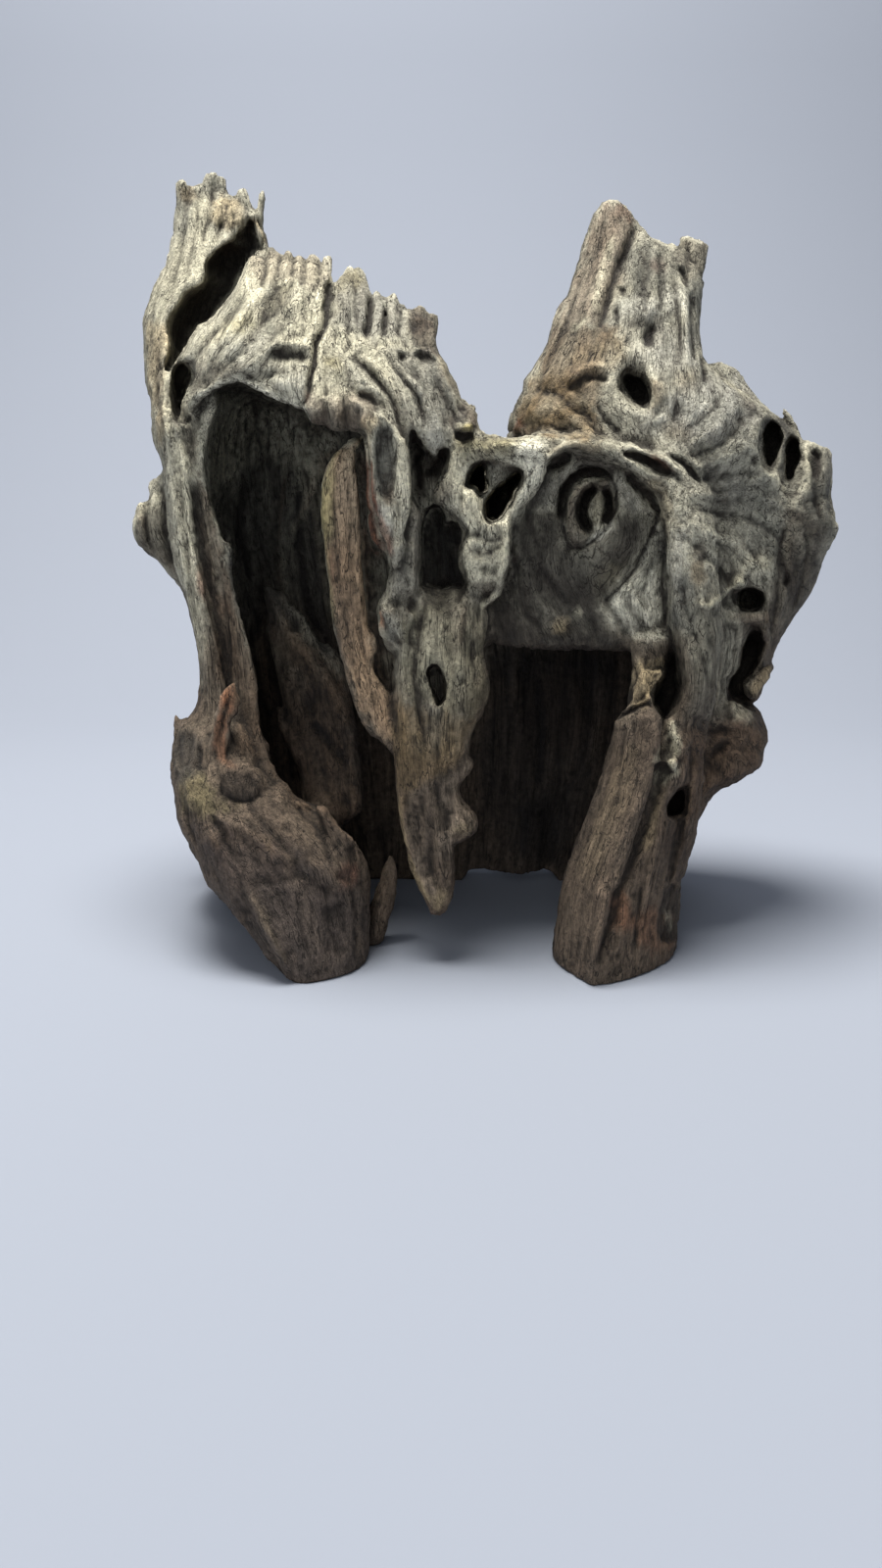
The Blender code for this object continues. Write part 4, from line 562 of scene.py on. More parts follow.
    ("tan", 0.12, 14, [(640, 760), (655, 760), (640, 820), (620, 870), (600, 900), (590, 890), (606, 840), (624, 790)]),
    ("rust", 0.5, 5, [(624, 914), (636, 910), (646, 926), (650, 944), (636, 950), (624, 944)]),
    ("rust", 0.3, 5, [(650, 930), (670, 926), (676, 950), (690, 962), (676, 974), (652, 962)]),
    ("shade", 0.80, 5, [(671, 944), (673, 926), (678, 910), (686, 901), (693, 908), (695, 926), (693, 946), (690, 960), (680, 962),
                       (672, 956)]),
    ("brown", 0.6, 3, [(672, 934), (680, 930), (688, 934), (688, 942), (678, 944)]),
    ("umber_and_shade", 0.6, 8, [(676, 836), (700, 836), (706, 860), (696, 890), (680, 900), (676, 870)]),
    # trunk, strap and tusk
    ("grey", 0.75, 12, [(342, 300), (376, 290), (412, 310), (416, 345), (380, 345), (344, 330)]),
    ("grey", 0.55, 16, [(392, 352), (440, 362), (466, 400), (470, 440), (450, 452), (424, 440), (404, 400)]),
    ("deep_shade", 0.85, 4, [(434, 528), (437, 522), (443, 519), (449, 519), (453, 524), (457, 534), (468, 532), (474, 545), (471, 560),
                       (469, 572), (472, 590), (470, 600), (440, 602), (430, 598), (430, 570), (432, 550)]),
    ("umber_and_shade", 0.7, 6, [(408, 440), (424, 444), (432, 462), (446, 476), (450, 462), (455, 462), (450, 486), (434, 492), (428, 520),
                       (432, 530), (426, 600), (418, 560), (420, 500), (414, 460)]),
    ("clay", 0.85, 8, [(330, 470), (345, 456), (366, 450), (371, 500), (374, 590), (338, 600), (328, 530)]),
    ("tan", 0.45, 6, [(370, 428), (384, 424), (392, 432), (378, 440), (376, 500), (370, 480)]),
    ("grey", 0.4, 8, [(400, 500), (432, 500), (430, 600), (398, 606)]),
    ("slate", 0.85, 5, [(384, 434), (400, 430), (404, 450), (402, 490), (404, 510), (392, 512), (382, 500), (381, 460)]),
    ("white", 0.9, 5, [(382, 514), (392, 514), (400, 528), (400, 548), (392, 552), (384, 534)]),
    ("brown", 0.7, 5, [(392, 492), (402, 496), (403, 516), (396, 524), (390, 508)]),
    ("cream", 0.35, 6, [(404, 440), (418, 450), (419, 500), (412, 530), (404, 556), (402, 540), (404, 500)]),
    ("red", 0.85, 3, [(369, 470), (378, 470), (381, 504), (387, 524), (398, 542), (400, 562), (390, 570), (376, 562), (370, 530)]),
    ("umber_and_shade", 0.45, 4, [(369, 470), (375, 470), (378, 504), (384, 528), (396, 548), (396, 566), (380, 562), (371, 530)]),
    ("lichen", 0.75, 5, [(345, 461), (338, 470), (341, 490), (340, 520), (341, 545), (336, 556), (330, 550), (326, 515), (327, 495),
                         (333, 475)]),
    ("clay", 0.82, 16, [(334, 560), (372, 556), (376, 620), (388, 680), (400, 710), (404, 740), (396, 756), (372, 740), (356, 700),
                       (342, 646)]),
    ("rust", 0.45, 4, [(331, 560), (338, 560), (340, 590), (338, 610), (333, 590)]),
    ("slate", 0.6, 6, [(388, 622), (418, 622), (420, 640), (404, 658), (390, 650)]),
    ("olive", 0.6, 12, [(410, 640), (440, 606), (460, 604), (496, 620), (496, 680), (500, 714), (484, 736), (460, 730), (440, 720),
                        (412, 716), (406, 680)]),
    ("umber_and_shade", 0.5, 6, [(460, 612), (474, 606), (476, 640), (470, 668), (460, 664)]),
    ("umber_and_shade", 0.5, 7, [(424, 690), (436, 720), (444, 750), (440, 772), (430, 756), (424, 724)]),
    ("ochre", 0.7, 9, [(402, 720), (424, 730), (430, 764), (446, 770), (462, 740), (484, 736), (478, 756), (470, 780), (450, 796),
                       (430, 802), (418, 812), (410, 840), (404, 800), (400, 760)]),
    ("taupe", 0.80, 6, [(418, 812), (440, 796), (462, 790), (478, 764), (484, 782), (470, 806), (486, 832), (484, 846), (462, 852),
                        (460, 890), (456, 924), (440, 922), (424, 890), (414, 850)]),
    ("tan", 0.75, 4, [(404, 800), (410, 830), (416, 870), (428, 902), (440, 920), (434, 918), (422, 896), (412, 862), (406, 828)]),
    ("brown", 0.30, 10, [(420, 816), (440, 806), (448, 830), (446, 880), (440, 890), (426, 862)]),
    ("umber_and_shade", 0.60, 8, [(432, 876), (460, 872), (460, 896), (455, 918), (444, 916)]),
    ("ochre", 0.70, 12, [(404, 730), (430, 724), (460, 728), (478, 740), (470, 764), (444, 780), (420, 790), (406, 770)]),
    ("tan", 0.5, 5, [(436, 914), (446, 908), (458, 912), (456, 926), (446, 930)]),
    ("tan", 0.35, 5, [(462, 846), (474, 838), (487, 840), (484, 848), (470, 854)]),
    # left leg and foot
    ("cream", 0.5, 6, [(178, 450), (190, 450), (194, 500), (198, 560), (204, 640), (206, 700), (200, 700), (192, 610), (184, 560),
                       (178, 500)]),
    ("umber_and_shade", 0.7, 8, [(140, 520), (158, 514), (168, 530), (176, 566), (182, 590), (164, 574), (142, 566), (134, 545)]),
    ("cream", 0.5, 5, [(138, 512), (152, 510), (166, 500), (160, 516), (144, 524)]),
    ("slate", 0.5, 6, [(202, 470), (210, 500), (224, 570), (240, 630), (232, 640), (210, 580), (200, 520)]),
    ("red", 0.55, 4, [(200, 578), (212, 580), (216, 600), (210, 612), (202, 604)]),
    ("rust", 0.7, 4, [(216, 606), (228, 608), (234, 622), (226, 632), (218, 622)]),
    ("rust", 0.9, 4, [(240, 694), (231, 700), (225, 709), (223, 718), (230, 726), (236, 728), (240, 716), (241, 704)]),
    ("rust", 0.6, 4, [(222, 724), (232, 728), (230, 750), (230, 772), (240, 782), (226, 778), (218, 760), (218, 740)]),
    ("umber_and_shade", 0.5, 14, [(222, 786), (236, 780), (262, 786), (266, 800), (256, 818), (236, 818), (224, 806)]),
    ("lichen", 0.35, 12, [(184, 796), (204, 788), (220, 800), (222, 820), (240, 824), (206, 832), (186, 824)]),
    ("slate", 0.5, 12, [(178, 758), (192, 746), (200, 756), (196, 790), (180, 800), (176, 780)]),
    ("shade", 0.6, 8, [(177, 752), (190, 746), (204, 758), (209, 784), (198, 792), (180, 802), (174, 780)]),
    ("shade", 0.65, 10, [(222, 792), (236, 786), (258, 786), (268, 798), (264, 814), (246, 820), (228, 814)]),
    ("brown", 0.5, 10, [(205, 850), (240, 842), (290, 862), (306, 890), (280, 898), (244, 906), (222, 890)]),
    ("umber_and_shade", 0.4, 10, [(207, 852), (216, 842), (226, 856), (224, 872), (210, 876)]),
    ("shade", 0.5, 8, [(296, 880), (304, 872), (312, 892), (308, 900), (300, 898)]),
    ("red", 0.45, 5, [(342, 890), (352, 882), (366, 884), (364, 902), (350, 908)]),
    ("tan", 0.3, 5, [(254, 916), (262, 918), (278, 946), (294, 984), (286, 976), (268, 944)]),
    ("dusk", 0.6, 40, [(195, 850), (250, 850), (320, 880), (380, 930), (374, 1010), (285, 1010), (205, 900)]),
    ("brown", 0.75, 8, [(204, 480), (212, 500), (222, 545), (240, 620), (262, 690), (266, 770), (242, 765), (230, 700), (218, 640),
                        (210, 600), (203, 540)]),
    # inside: brown wood and strands, and painted shade in the hollows, the holes and the arch
    ("brown", 0.6, 20, [(262, 640), (300, 640), (350, 700), (362, 800), (368, 860), (330, 840), (290, 810), (266, 740)]),
    ("brown", 0.6, 6, [(270, 605), (282, 608), (300, 640), (330, 668), (352, 702), (360, 740), (350, 730), (320, 690), (285, 670),
                       (272, 640)]),
    ("deep_shade", 0.75, 8, [(222, 500), (235, 490), (250, 478), (264, 470), (277, 468), (290, 480), (298, 500), (294, 560), (290, 620),
                       (270, 640), (240, 590), (224, 540)]),
    ("deep_shade", 0.75, 8, [(300, 545), (312, 530), (322, 520), (328, 560), (336, 620), (346, 664), (334, 668), (312, 640), (298, 600)]),
    ("deep_shade", 0.8, 5, [(256, 230), (250, 240), (248, 252), (232, 252), (212, 268), (211, 296), (192, 302), (176, 326), (176, 340),
                      (180, 354), (198, 332), (212, 322), (236, 296), (250, 262), (262, 254)]),
    ("shade", 0.75, 14, [(430, 594), (476, 594), (486, 612), (474, 630), (444, 626), (430, 614)]),
    ("deep_shade", 0.8, 7, [(653, 345), (657, 337), (665, 333), (669, 338), (669, 348), (664, 355)]),
    ("deep_shade", 0.7, 5, [(778, 434), (786, 425), (798, 427), (810, 438), (818, 456), (817, 486), (808, 494), (798, 484), (790, 478), (781, 474)]),
    ("shade", 0.7, 5, [(828, 457), (834, 459), (839, 464), (838, 476), (834, 488), (829, 486), (827, 470)]),
    ("slate", 0.6, 4, [(800, 490), (808, 494), (814, 492), (812, 504), (807, 511), (800, 505)]),
    ("deep_shade", 0.6, 10, [(372, 850), (400, 830), (402, 870), (380, 862)]),
    ("deep_shade", 0.7, 12, [(500, 660), (560, 652), (620, 654), (640, 690), (600, 700), (560, 690), (520, 700), (500, 690)]),
    ("umber_and_shade", 0.7, 14, [(552, 690), (600, 688), (608, 736), (584, 770), (554, 752)]),
    ("deep_shade", 0.45, 12, [(502, 664), (560, 656), (626, 656), (642, 690), (628, 740), (602, 830), (576, 896), (480, 900), (462, 884),
                       (482, 846), (490, 800), (482, 762), (502, 720)]),
    ("deep_shade", 0.7, 16, [(530, 820), (560, 806), (584, 830), (576, 880), (540, 886), (520, 860)]),
]

# ---- the outline of the whole stump on the sighting grid ------------------------------------------------------------
OUTLINE = [
    (178, 210), (178, 195), (180, 185), (185, 181), (191, 184), (195, 190), (203, 187), (208, 183), (210, 177), (214, 174),
    (221, 175), (223, 178), (228, 180), (231, 184), (232, 194), (234, 198), (240, 200), (243, 193), (250, 191), (253, 194),
    (256, 202), (260, 214), (263, 205), (265, 194), (270, 193), (271, 201), (269, 215), (269, 232), (271, 238), (276, 250),
    (280, 257), (286, 260), (289, 259), (291, 256), (299, 256), (301, 261), (305, 258), (309, 263), (312, 260), (320, 259),
    (326, 264), (330, 261), (338, 262), (339, 270), (338, 285), (340, 291), (345, 285), (352, 275), (354, 270), (358, 270),
    (361, 275), (366, 270), (372, 278), (375, 278), (377, 290), (379, 305), (382, 296), (385, 294), (388, 298), (391, 304),
    (396, 300), (403, 298), (407, 303), (409, 310), (413, 309), (416, 315), (421, 314), (427, 311), (433, 313), (440, 320),
    (447, 322), (446, 330), (444, 352), (449, 362), (456, 372), (458, 380), (467, 390), (469, 400), (471, 408), (476, 407),
    (478, 411), (485, 411), (488, 417), (487, 435), (490, 440), (500, 444), (505, 441), (511, 444), (518, 447), (520, 441),
    (521, 430), (524, 420), (530, 408), (535, 400), (534, 388), (537, 383), (543, 378), (547, 368), (552, 360), (558, 352),
    (560, 340), (562, 325), (565, 318), (570, 308), (575, 305), (579, 300), (582, 290), (586, 275), (594, 250), (598, 238),
    (602, 235), (603, 230), (606, 222), (612, 214), (615, 207), (620, 204), (630, 205), (638, 210), (645, 216), (650, 225),
    (655, 232), (665, 243), (670, 245), (678, 250), (685, 248), (692, 242), (700, 242), (720, 247), (725, 250), (723, 262),
    (720, 275), (716, 284), (719, 288), (718, 300), (716, 315), (715, 330), (717, 350), (718, 366), (722, 372), (735, 369),
    (745, 374), (753, 378), (761, 386), (768, 397), (775, 408), (780, 414), (787, 420), (793, 423), (800, 415), (808, 425),
    (814, 435), (819, 450), (825, 448), (833, 453), (846, 457), (850, 463), (850, 475), (848, 490), (846, 507), (853, 525),
    (852, 532), (857, 534), (858, 540), (848, 555), (843, 562), (838, 572), (836, 585), (834, 595), (823, 615), (806, 634),
    (800, 650), (793, 660), (788, 676), (790, 681), (783, 695), (772, 712), (766, 718), (770, 724), (778, 731), (783, 745),
    (783, 757), (778, 765), (777, 778), (773, 784), (760, 792), (748, 800), (735, 807), (728, 811), (713, 836), (712, 843),
    (710, 860), (706, 875), (700, 888), (692, 897), (694, 905), (696, 915), (695, 930), (691, 945), (692, 960), (690, 971),
    (690, 1045), (291, 1045), (291, 1001), (286, 992), (280, 983), (270, 978), (262, 970), (255, 958), (248, 948), (240, 940),
    (231, 928), (226, 921), (217, 913), (210, 903), (206, 895), (203, 882), (197, 875), (191, 868), (193, 864), (192, 860),
    (185, 848), (179, 835), (177, 815), (174, 795), (174, 785), (176, 765), (179, 757), (176, 745), (176, 733), (178, 726),
    (184, 734), (190, 733), (198, 728), (203, 715), (204, 700), (203, 680), (201, 660), (197, 640), (192, 615), (186, 600),
    (180, 597), (173, 588), (167, 580), (160, 571), (152, 567), (145, 568), (138, 562), (135, 552), (133, 540), (134, 530),
    (137, 522), (140, 511), (147, 512), (152, 510), (154, 503), (150, 497), (151, 493), (158, 487), (166, 483), (168, 475),
    (163, 462), (158, 455), (154, 445), (156, 430), (155, 410), (150, 400), (148, 385), (148, 370), (147, 345), (145, 335),
    (146, 325), (148, 315), (152, 302), (157, 290), (162, 280), (169, 270), (170, 262), (172, 250), (177, 230)]

# ---- lines pressed into or raised from the wood: (height in mm, half width, points) ---------------------------------
LINES = [
    # tower at the left
    (-0.8, 5, [(190, 200), (187, 240), (179, 280), (168, 330), (161, 380), (160, 430)]),
    (-0.7, 4, [(203, 192), (201, 230), (194, 264), (185, 290)]),
    (0.6, 5, [(197, 196), (193, 240), (186, 278), (175, 310)]),
    (-1.6, 4, [(219, 184), (214, 215), (206, 250)]),
    (-1.4, 3, [(233, 200), (228, 222), (220, 245)]),
    (-1.2, 3, [(246, 200), (240, 222), (236, 238)]),
    (-0.6, 4, [(160, 300), (154, 340), (156, 380), (162, 420)]),
    (1.4, 4, [(170, 370), (166, 400), (167, 430), (174, 452)]),
    (1.6, 4, [(256, 226), (249, 236), (247, 249), (232, 246), (221, 254), (209, 268), (210, 284), (205, 298), (190, 299)]),
    # plateau and its crown
    (-2.0, 3, [(271, 256), (270, 275), (266, 296)]), (-1.8, 3, [(286, 258), (283, 280), (279, 298)]),
    (-1.6, 3, [(300, 259), (298, 280), (295, 296)]), (-1.5, 3, [(311, 262), (309, 280), (307, 294)]),
    (-1.5, 3, [(328, 264), (325, 284), (322, 300)]), (-0.6, 4, [(262, 306), (250, 330), (234, 352)]),
    (-0.6, 4, [(300, 305), (290, 330), (274, 352)]),
    (-3.6, 4, [(338, 288), (334, 310), (333, 330), (328, 340), (322, 352), (321, 370), (317, 385), (315, 400), (312, 414)]),
    (-1.0, 6, [(276, 359), (290, 361), (302, 364), (313, 366)]),
    (1.6, 6, [(262, 300), (245, 325), (222, 350), (203, 385)]),
    (-1.4, 5, [(250, 300), (232, 328), (208, 352), (190, 385)]),
    (-1.2, 4, [(268, 330), (246, 358), (222, 380), (208, 396)]),
    (1.4, 6, [(300, 330), (284, 346), (262, 368), (236, 384)]),
    (-1.2, 4, [(292, 375), (270, 384), (250, 386)]),
    (-4.5, 7, [(184, 368), (183, 390), (185, 412), (190, 432)]),
    (1.5, 4, [(176, 366), (173, 390), (176, 420), (184, 446)]),
    # second crown and the fall to the right
    (-3.0, 4, [(379, 300), (378, 320), (373, 345)]),
    (-1.6, 3, [(354, 318), (355, 350), (350, 362)]),
    (-1.8, 3, [(394, 312), (393, 330), (392, 345)]),
    (-1.8, 3, [(409, 312), (408, 328), (405, 345)]),
    (-2.6, 4, [(360, 362), (375, 378), (390, 395), (402, 415), (410, 442)]),
    (1.6, 6, [(350, 366), (364, 382), (380, 402), (392, 428)]),
    (1.4, 5, [(372, 362), (388, 380), (402, 396), (416, 420)]),
    (-1.8, 4, [(392, 360), (408, 382), (424, 402), (434, 432)]),
    (1.6, 6, [(414, 384), (430, 400), (444, 424), (450, 450)]),
    (-1.6, 4, [(440, 376), (452, 400), (464, 425), (470, 450)]),
    (-1.4, 3, [(362, 285), (362, 310), (366, 335)]),
    (2.0, 6, [(313, 412), (321, 424), (320, 440)]),
    (-2.4, 3, [(327, 404), (331, 418), (331, 436)]),
    (2.0, 6, [(336, 408), (342, 424), (340, 440)]),
    (-2.4, 3, [(348, 402), (352, 416), (352, 432)]),
    (1.8, 7, [(360, 404), (372, 418), (376, 440)]),
    (2.2, 5, [(194, 408), (213, 398), (243, 388), (262, 397), (290, 410), (313, 416)]),
    # knobs of the saddle
    (-3.0, 5, [(470, 446), (480, 449)]),
    (2.0, 6, [(470, 436), (480, 438)]),
    (1.4, 6, [(500, 452), (530, 456), (556, 462)]),
    (1.6, 6, [(558, 470), (575, 456), (590, 450), (605, 452), (616, 464)]),
    (-2.6, 5, [(558, 478), (570, 470), (580, 466)]),
    # tower at the right
    (-3.2, 6, [(649, 230), (638, 258), (628, 280), (621, 305), (613, 334)]),
    (-0.9, 4, [(618, 216), (610, 250), (600, 290), (590, 330), (576, 370)]),
    (0.8, 5, [(628, 212), (618, 250), (610, 290), (601, 325)]),
    (-0.8, 4, [(604, 238), (594, 280), (580, 325), (566, 360)]),
    (-1.5, 4, [(586, 300), (574, 340), (558, 375), (546, 405)]),
    (-0.8, 4, [(660, 250), (656, 285), (650, 315)]),
    (-0.9, 4, [(674, 252), (676, 290), (676, 330), (680, 365)]),
    (1.4, 5, [(667, 250), (668, 290), (664, 320)]),
    (-1.0, 4, [(690, 250), (688, 280), (692, 320), (694, 370)]),
    (-1.4, 3, [(702, 246), (702, 282)]),
    (-1.4, 3, [(706, 300), (706, 340), (710, 372)]),
    (1.6, 5, [(699, 296), (700, 330), (703, 372)]),
    (1.8, 6, [(578, 388), (600, 374), (622, 376)]),
    (-2.0, 5, [(580, 398), (602, 386), (622, 388)]),
    (-2.0, 4, [(610, 413), (620, 430), (634, 441)]),
    (1.6, 5, [(664, 382), (680, 398), (682, 420), (664, 432)]),
    (-1.6, 5, [(545, 400), (566, 402), (586, 416), (606, 428)]),
    (1.4, 6, [(536, 420), (560, 416), (586, 428), (606, 442)]),
    (-1.4, 4, [(530, 432), (556, 432), (584, 442)]),
    # slits above the right leg
    (-2.4, 3, [(634, 462), (650, 467), (665, 474), (680, 481), (692, 488)]),
    (-2.4, 3, [(682, 464), (695, 471), (706, 480), (714, 492)]),
    (2.0, 5, [(640, 452), (660, 460), (684, 470), (700, 484)]),
    (-2.2, 4, [(640, 484), (652, 497), (664, 508), (672, 524)]),
    (-2.6, 2.4, [(673, 516), (668, 535), (662, 550), (652, 572), (642, 588), (628, 603), (614, 617)]),
    (-1.8, 3, [(677, 525), (679, 545), (677, 570), (679, 600), (677, 640)]),
    (-2.6, 2.4, [(573, 530), (572, 512), (577, 495), (588, 484), (601, 480), (613, 481), (623, 489), (629, 502), (629, 516),
                 (624, 530), (616, 542), (605, 552), (593, 559), (582, 558), (576, 546), (573, 532)]),
    # wing: ridges fan out from the knot above the leg
    (-1.2, 4.0, [(700, 440), (724, 420), (744, 396)]),
    (1.1, 4.8, [(700, 456), (732, 436), (760, 406)]),
    (-1.4, 4.0, [(704, 466), (738, 452), (766, 424), (780, 420)]),
    (1.1, 4.8, [(706, 478), (740, 468), (768, 452)]),
    (-1.2, 4.0, [(706, 492), (740, 486), (776, 482)]),
    (1.1, 4.8, [(702, 504), (736, 506), (772, 504), (806, 520)]),
    (-1.4, 4.0, [(700, 516), (734, 524), (766, 530), (800, 552)]),
    (1.0, 4.8, [(698, 530), (728, 545), (756, 560), (782, 590)]),
    (-1.2, 4.0, [(695, 545), (720, 566), (742, 590), (752, 615)]),
    (1.1, 4.8, [(692, 560), (708, 590), (722, 625), (734, 665)]),
    (-1.4, 4.0, [(690, 590), (702, 625), (714, 665), (724, 700)]),
    (1.1, 4.8, [(688, 610), (696, 650), (704, 690), (708, 730)]),
    (-1.2, 4.0, [(684, 640), (688, 680), (690, 720), (692, 760)]),
    (1.0, 4.8, [(735, 630), (738, 665), (732, 700), (726, 730)]),
    (-1.2, 3.2, [(745, 632), (752, 650), (744, 680), (736, 706)]),
    (1.5, 4.0, [(778, 560), (786, 590), (784, 630), (776, 660)]),
    (-1.6, 4.0, [(792, 545), (796, 580), (792, 615), (786, 650)]),
    (1.2, 4.0, [(806, 540), (808, 575), (802, 610), (794, 640)]),
    (-1.4, 3.2, [(820, 530), (824, 560), (818, 595), (808, 622)]),
    (-1.6, 4.0, [(832, 458), (834, 480), (832, 505), (838, 530)]),
    (1.2, 4.0, [(842, 462), (843, 490), (842, 515), (848, 538)]),
    (1.1, 4.0, [(715, 612), (722, 619), (730, 613), (745, 601), (753, 588)]),
    (1.5, 4.8, [(752, 596), (762, 598)]),
    (-1.2, 4.0, [(724, 752), (736, 764), (748, 776)]),
    (1.1, 5.6, [(716, 742), (738, 738), (762, 740), (778, 752)]),
    (-1.1, 4.0, [(712, 765), (726, 782), (742, 792)]),
    (1.0, 4.8, [(706, 780), (720, 798), (728, 806)]),
    (-1.1, 3.2, [(760, 700), (766, 712), (766, 718)]),
    # right leg below
    (-2.4, 5, [(683, 750), (676, 790), (664, 830), (650, 870), (634, 905)]),
    (1.8, 6, [(694, 745), (688, 790), (678, 835), (668, 880), (656, 930)]),
    (-2.0, 5, [(706, 760), (702, 800), (694, 845), (684, 880)]),
    (-1.6, 4, [(654, 905), (650, 940), (646, 975)]),
    (1.4, 5, [(640, 905), (636, 940), (630, 975)]),
    (-1.8, 2.5, [(716, 364), (718, 378), (720, 392)]),
    (-2.0, 3, [(800, 538), (797, 556), (799, 572), (803, 588)]),
    # slab of the right foot
    (-3.0, 3, [(628, 734), (640, 727), (655, 720), (672, 715)]),
    (1.4, 3, [(630, 743), (645, 735), (660, 729), (672, 726)]),
    (-0.5, 4, [(652, 740), (640, 780), (622, 830), (604, 880), (590, 940)]),
    (-0.5, 3, [(664, 745), (655, 785), (640, 830), (622, 872)]),
    (-0.5, 3, [(638, 748), (626, 785), (610, 825), (594, 870), (580, 925)]),
    (0.5, 4, [(646, 745), (632, 785), (616, 830), (600, 875), (588, 930), (584, 980)]),
    (-1.0, 3, [(612, 912), (606, 945), (598, 985)]),
    # left leg
    (-1.6, 4, [(176, 460), (182, 500), (188, 540), (192, 580), (200, 630)]),
    (1.4, 5, [(184, 450), (191, 500), (197, 550), (204, 590), (209, 640), (210, 700)]),
    (-1.4, 3, [(217, 660), (219, 690), (221, 722)]),
    (-2.0, 4, [(152, 500), (148, 520), (150, 545), (158, 566)]),
    (1.8, 6, [(143, 522), (142, 540), (148, 556)]),
    (-1.6, 4, [(166, 495), (170, 530), (176, 570)]),
    # left foot
    (-0.9, 5, [(245, 903), (280, 898), (312, 898), (345, 914)]),
    (1.8, 5, [(255, 920), (268, 945), (281, 968), (292, 992)]),
    (-1.6, 5, [(240, 915), (255, 945), (272, 972)]),
    (-0.6, 4, [(300, 905), (308, 940), (318, 985)]),
    (-0.5, 4, [(330, 900), (338, 940), (348, 985)]),
    (-1.8, 3, [(224, 804), (232, 813), (246, 818), (260, 815), (267, 806)]),
    (-2.0, 1.8, [(238, 700), (230, 726), (222, 762)]), (-1.8, 1.6, [(232, 712), (225, 740), (218, 770)]),
    (-2.2, 2.4, [(375, 520), (383, 531), (379, 543)]), (-2.2, 2.4, [(388, 534), (383, 547), (391, 554)]),
    (1.8, 2.4, [(379, 528), (387, 540), (384, 552)]),
    (-2.6, 3.5, [(204, 762), (204, 774), (202, 786)]),
    (1.2, 5, [(206, 826), (240, 842), (276, 862), (300, 886)]),
    (1.4, 6, [(320, 830), (338, 850), (352, 875)]),
    (-1.6, 4, [(300, 822), (316, 838), (332, 862), (340, 890)]),
    (-1.6, 5, [(215, 830), (232, 860), (252, 888)]),
    (-1.4, 4, [(186, 800), (190, 830), (200, 862)]),
    (1.4, 5, [(240, 830), (262, 858), (284, 880)]),
    (-1.4, 4, [(255, 822), (278, 850), (298, 872)]),
    (-1.2, 4, [(356, 885), (362, 930), (364, 980)]),
    (2.0, 5, [(300, 817), (320, 822), (335, 834), (346, 847), (358, 856), (368, 868)]),
    # strap
    (-1.4, 1.8, [(343, 476), (341, 520), (344, 570), (352, 630), (362, 680), (374, 730)]),
    (-1.3, 1.8, [(357, 480), (358, 530), (360, 580), (366, 630), (374, 680), (386, 730)]),
    (0.4, 4, [(350, 470), (349, 530), (352, 590), (360, 650), (372, 710)]),
    # trunk in the middle
    (2.0, 5, [(424, 500), (424, 540), (422, 575), (420, 604)]),
    (-3.0, 4, [(420, 442), (426, 470), (430, 500)]),
    (-3.2, 5, [(432, 484), (444, 478), (452, 466), (456, 458)]),
    (1.8, 8, [(392, 612), (400, 632), (414, 652)]),
    (-1.6, 4, [(386, 630), (398, 648), (412, 660)]),
    (1.8, 5, [(516, 500), (516, 545), (512, 590), (506, 607), (492, 620)]),
    (-1.8, 3, [(476, 548), (488, 545), (500, 552), (514, 548)]), (-1.2, 3.0, [(480, 559), (494, 565), (510, 558)]),
    (-1.0, 3, [(474, 585), (490, 580), (508, 585)]), (0.8, 3.0, [(476, 573), (492, 576), (512, 568)]),
    (1.4, 3, [(498, 536), (508, 533), (516, 540), (519, 560), (516, 585)]),
    (1.6, 3.2, [(404, 438), (413, 455), (417, 480), (416, 510), (408, 545)]),
    # tusk
    (-1.8, 5, [(436, 612), (428, 650), (424, 690), (428, 730), (436, 770)]),
    (1.6, 6, [(414, 640), (410, 680), (412, 730), (416, 780)]),
    (1.4, 6, [(470, 612), (468, 650), (470, 700)]),
    (-1.6, 4, [(486, 620), (482, 660), (486, 700)]),
    (-2.4, 5, [(441, 830), (440, 860), (442, 895)]),
    (1.3, 7, [(482, 752), (464, 768), (446, 784), (430, 800), (420, 818)]),
    (-1.3, 7, [(482, 768), (466, 784), (450, 798), (440, 812)]),
    (1.8, 3.4, [(407, 800), (411, 830), (417, 866), (429, 900), (440, 920)]),
    (1.6, 3.4, [(463, 800), (465, 822), (461, 852), (460, 880), (457, 905)]),
    (-1.6, 3, [(466, 826), (476, 836), (478, 846)]),
    (1.6, 5, [(482, 826), (486, 845), (474, 853), (460, 857)]),
    (1.4, 5, [(470, 726), (466, 756), (462, 790)]),
    (-1.6, 5, [(450, 722), (446, 760), (448, 795)]),
    # shield
    (-1.2, 5, [(540, 520), (548, 560), (566, 600), (590, 622)]),
    (1.2, 6, [(526, 540), (534, 580), (550, 615), (580, 636)]),
    (-1.2, 5, [(520, 590), (530, 618), (550, 638)]),
    (1.6, 6, [(628, 586), (648, 612), (668, 640)]),
    (-1.4, 5, [(612, 594), (624, 620), (640, 646)]),
    # inside the left hollow
    (2.2, 6, [(322, 490), (312, 515), (298, 545)]),
    (2.0, 6, [(289, 470), (290, 520), (288, 570), (290, 620)]),
    (-3.0, 7, [(305, 500), (306, 560), (316, 620), (334, 666)]),
    (2.6, 8, [(276, 610), (296, 645), (322, 680), (344, 710), (358, 745)]),
    (-3.0, 8, [(318, 735), (335, 755), (350, 775)]),
    (2.4, 8, [(280, 720), (300, 760), (312, 800)]),
    (2.4, 8, [(360, 740), (362, 780), (364, 830)]),
    (2.2, 8, [(270, 690), (282, 730), (290, 780)]),
    (-2.4, 8, [(250, 490), (246, 540), (256, 590)]),
    # inside the arch
    (2.6, 9, [(520, 680), (530, 740), (524, 800)]),
    (-2.4, 8, [(548, 690), (552, 745), (550, 800)]),
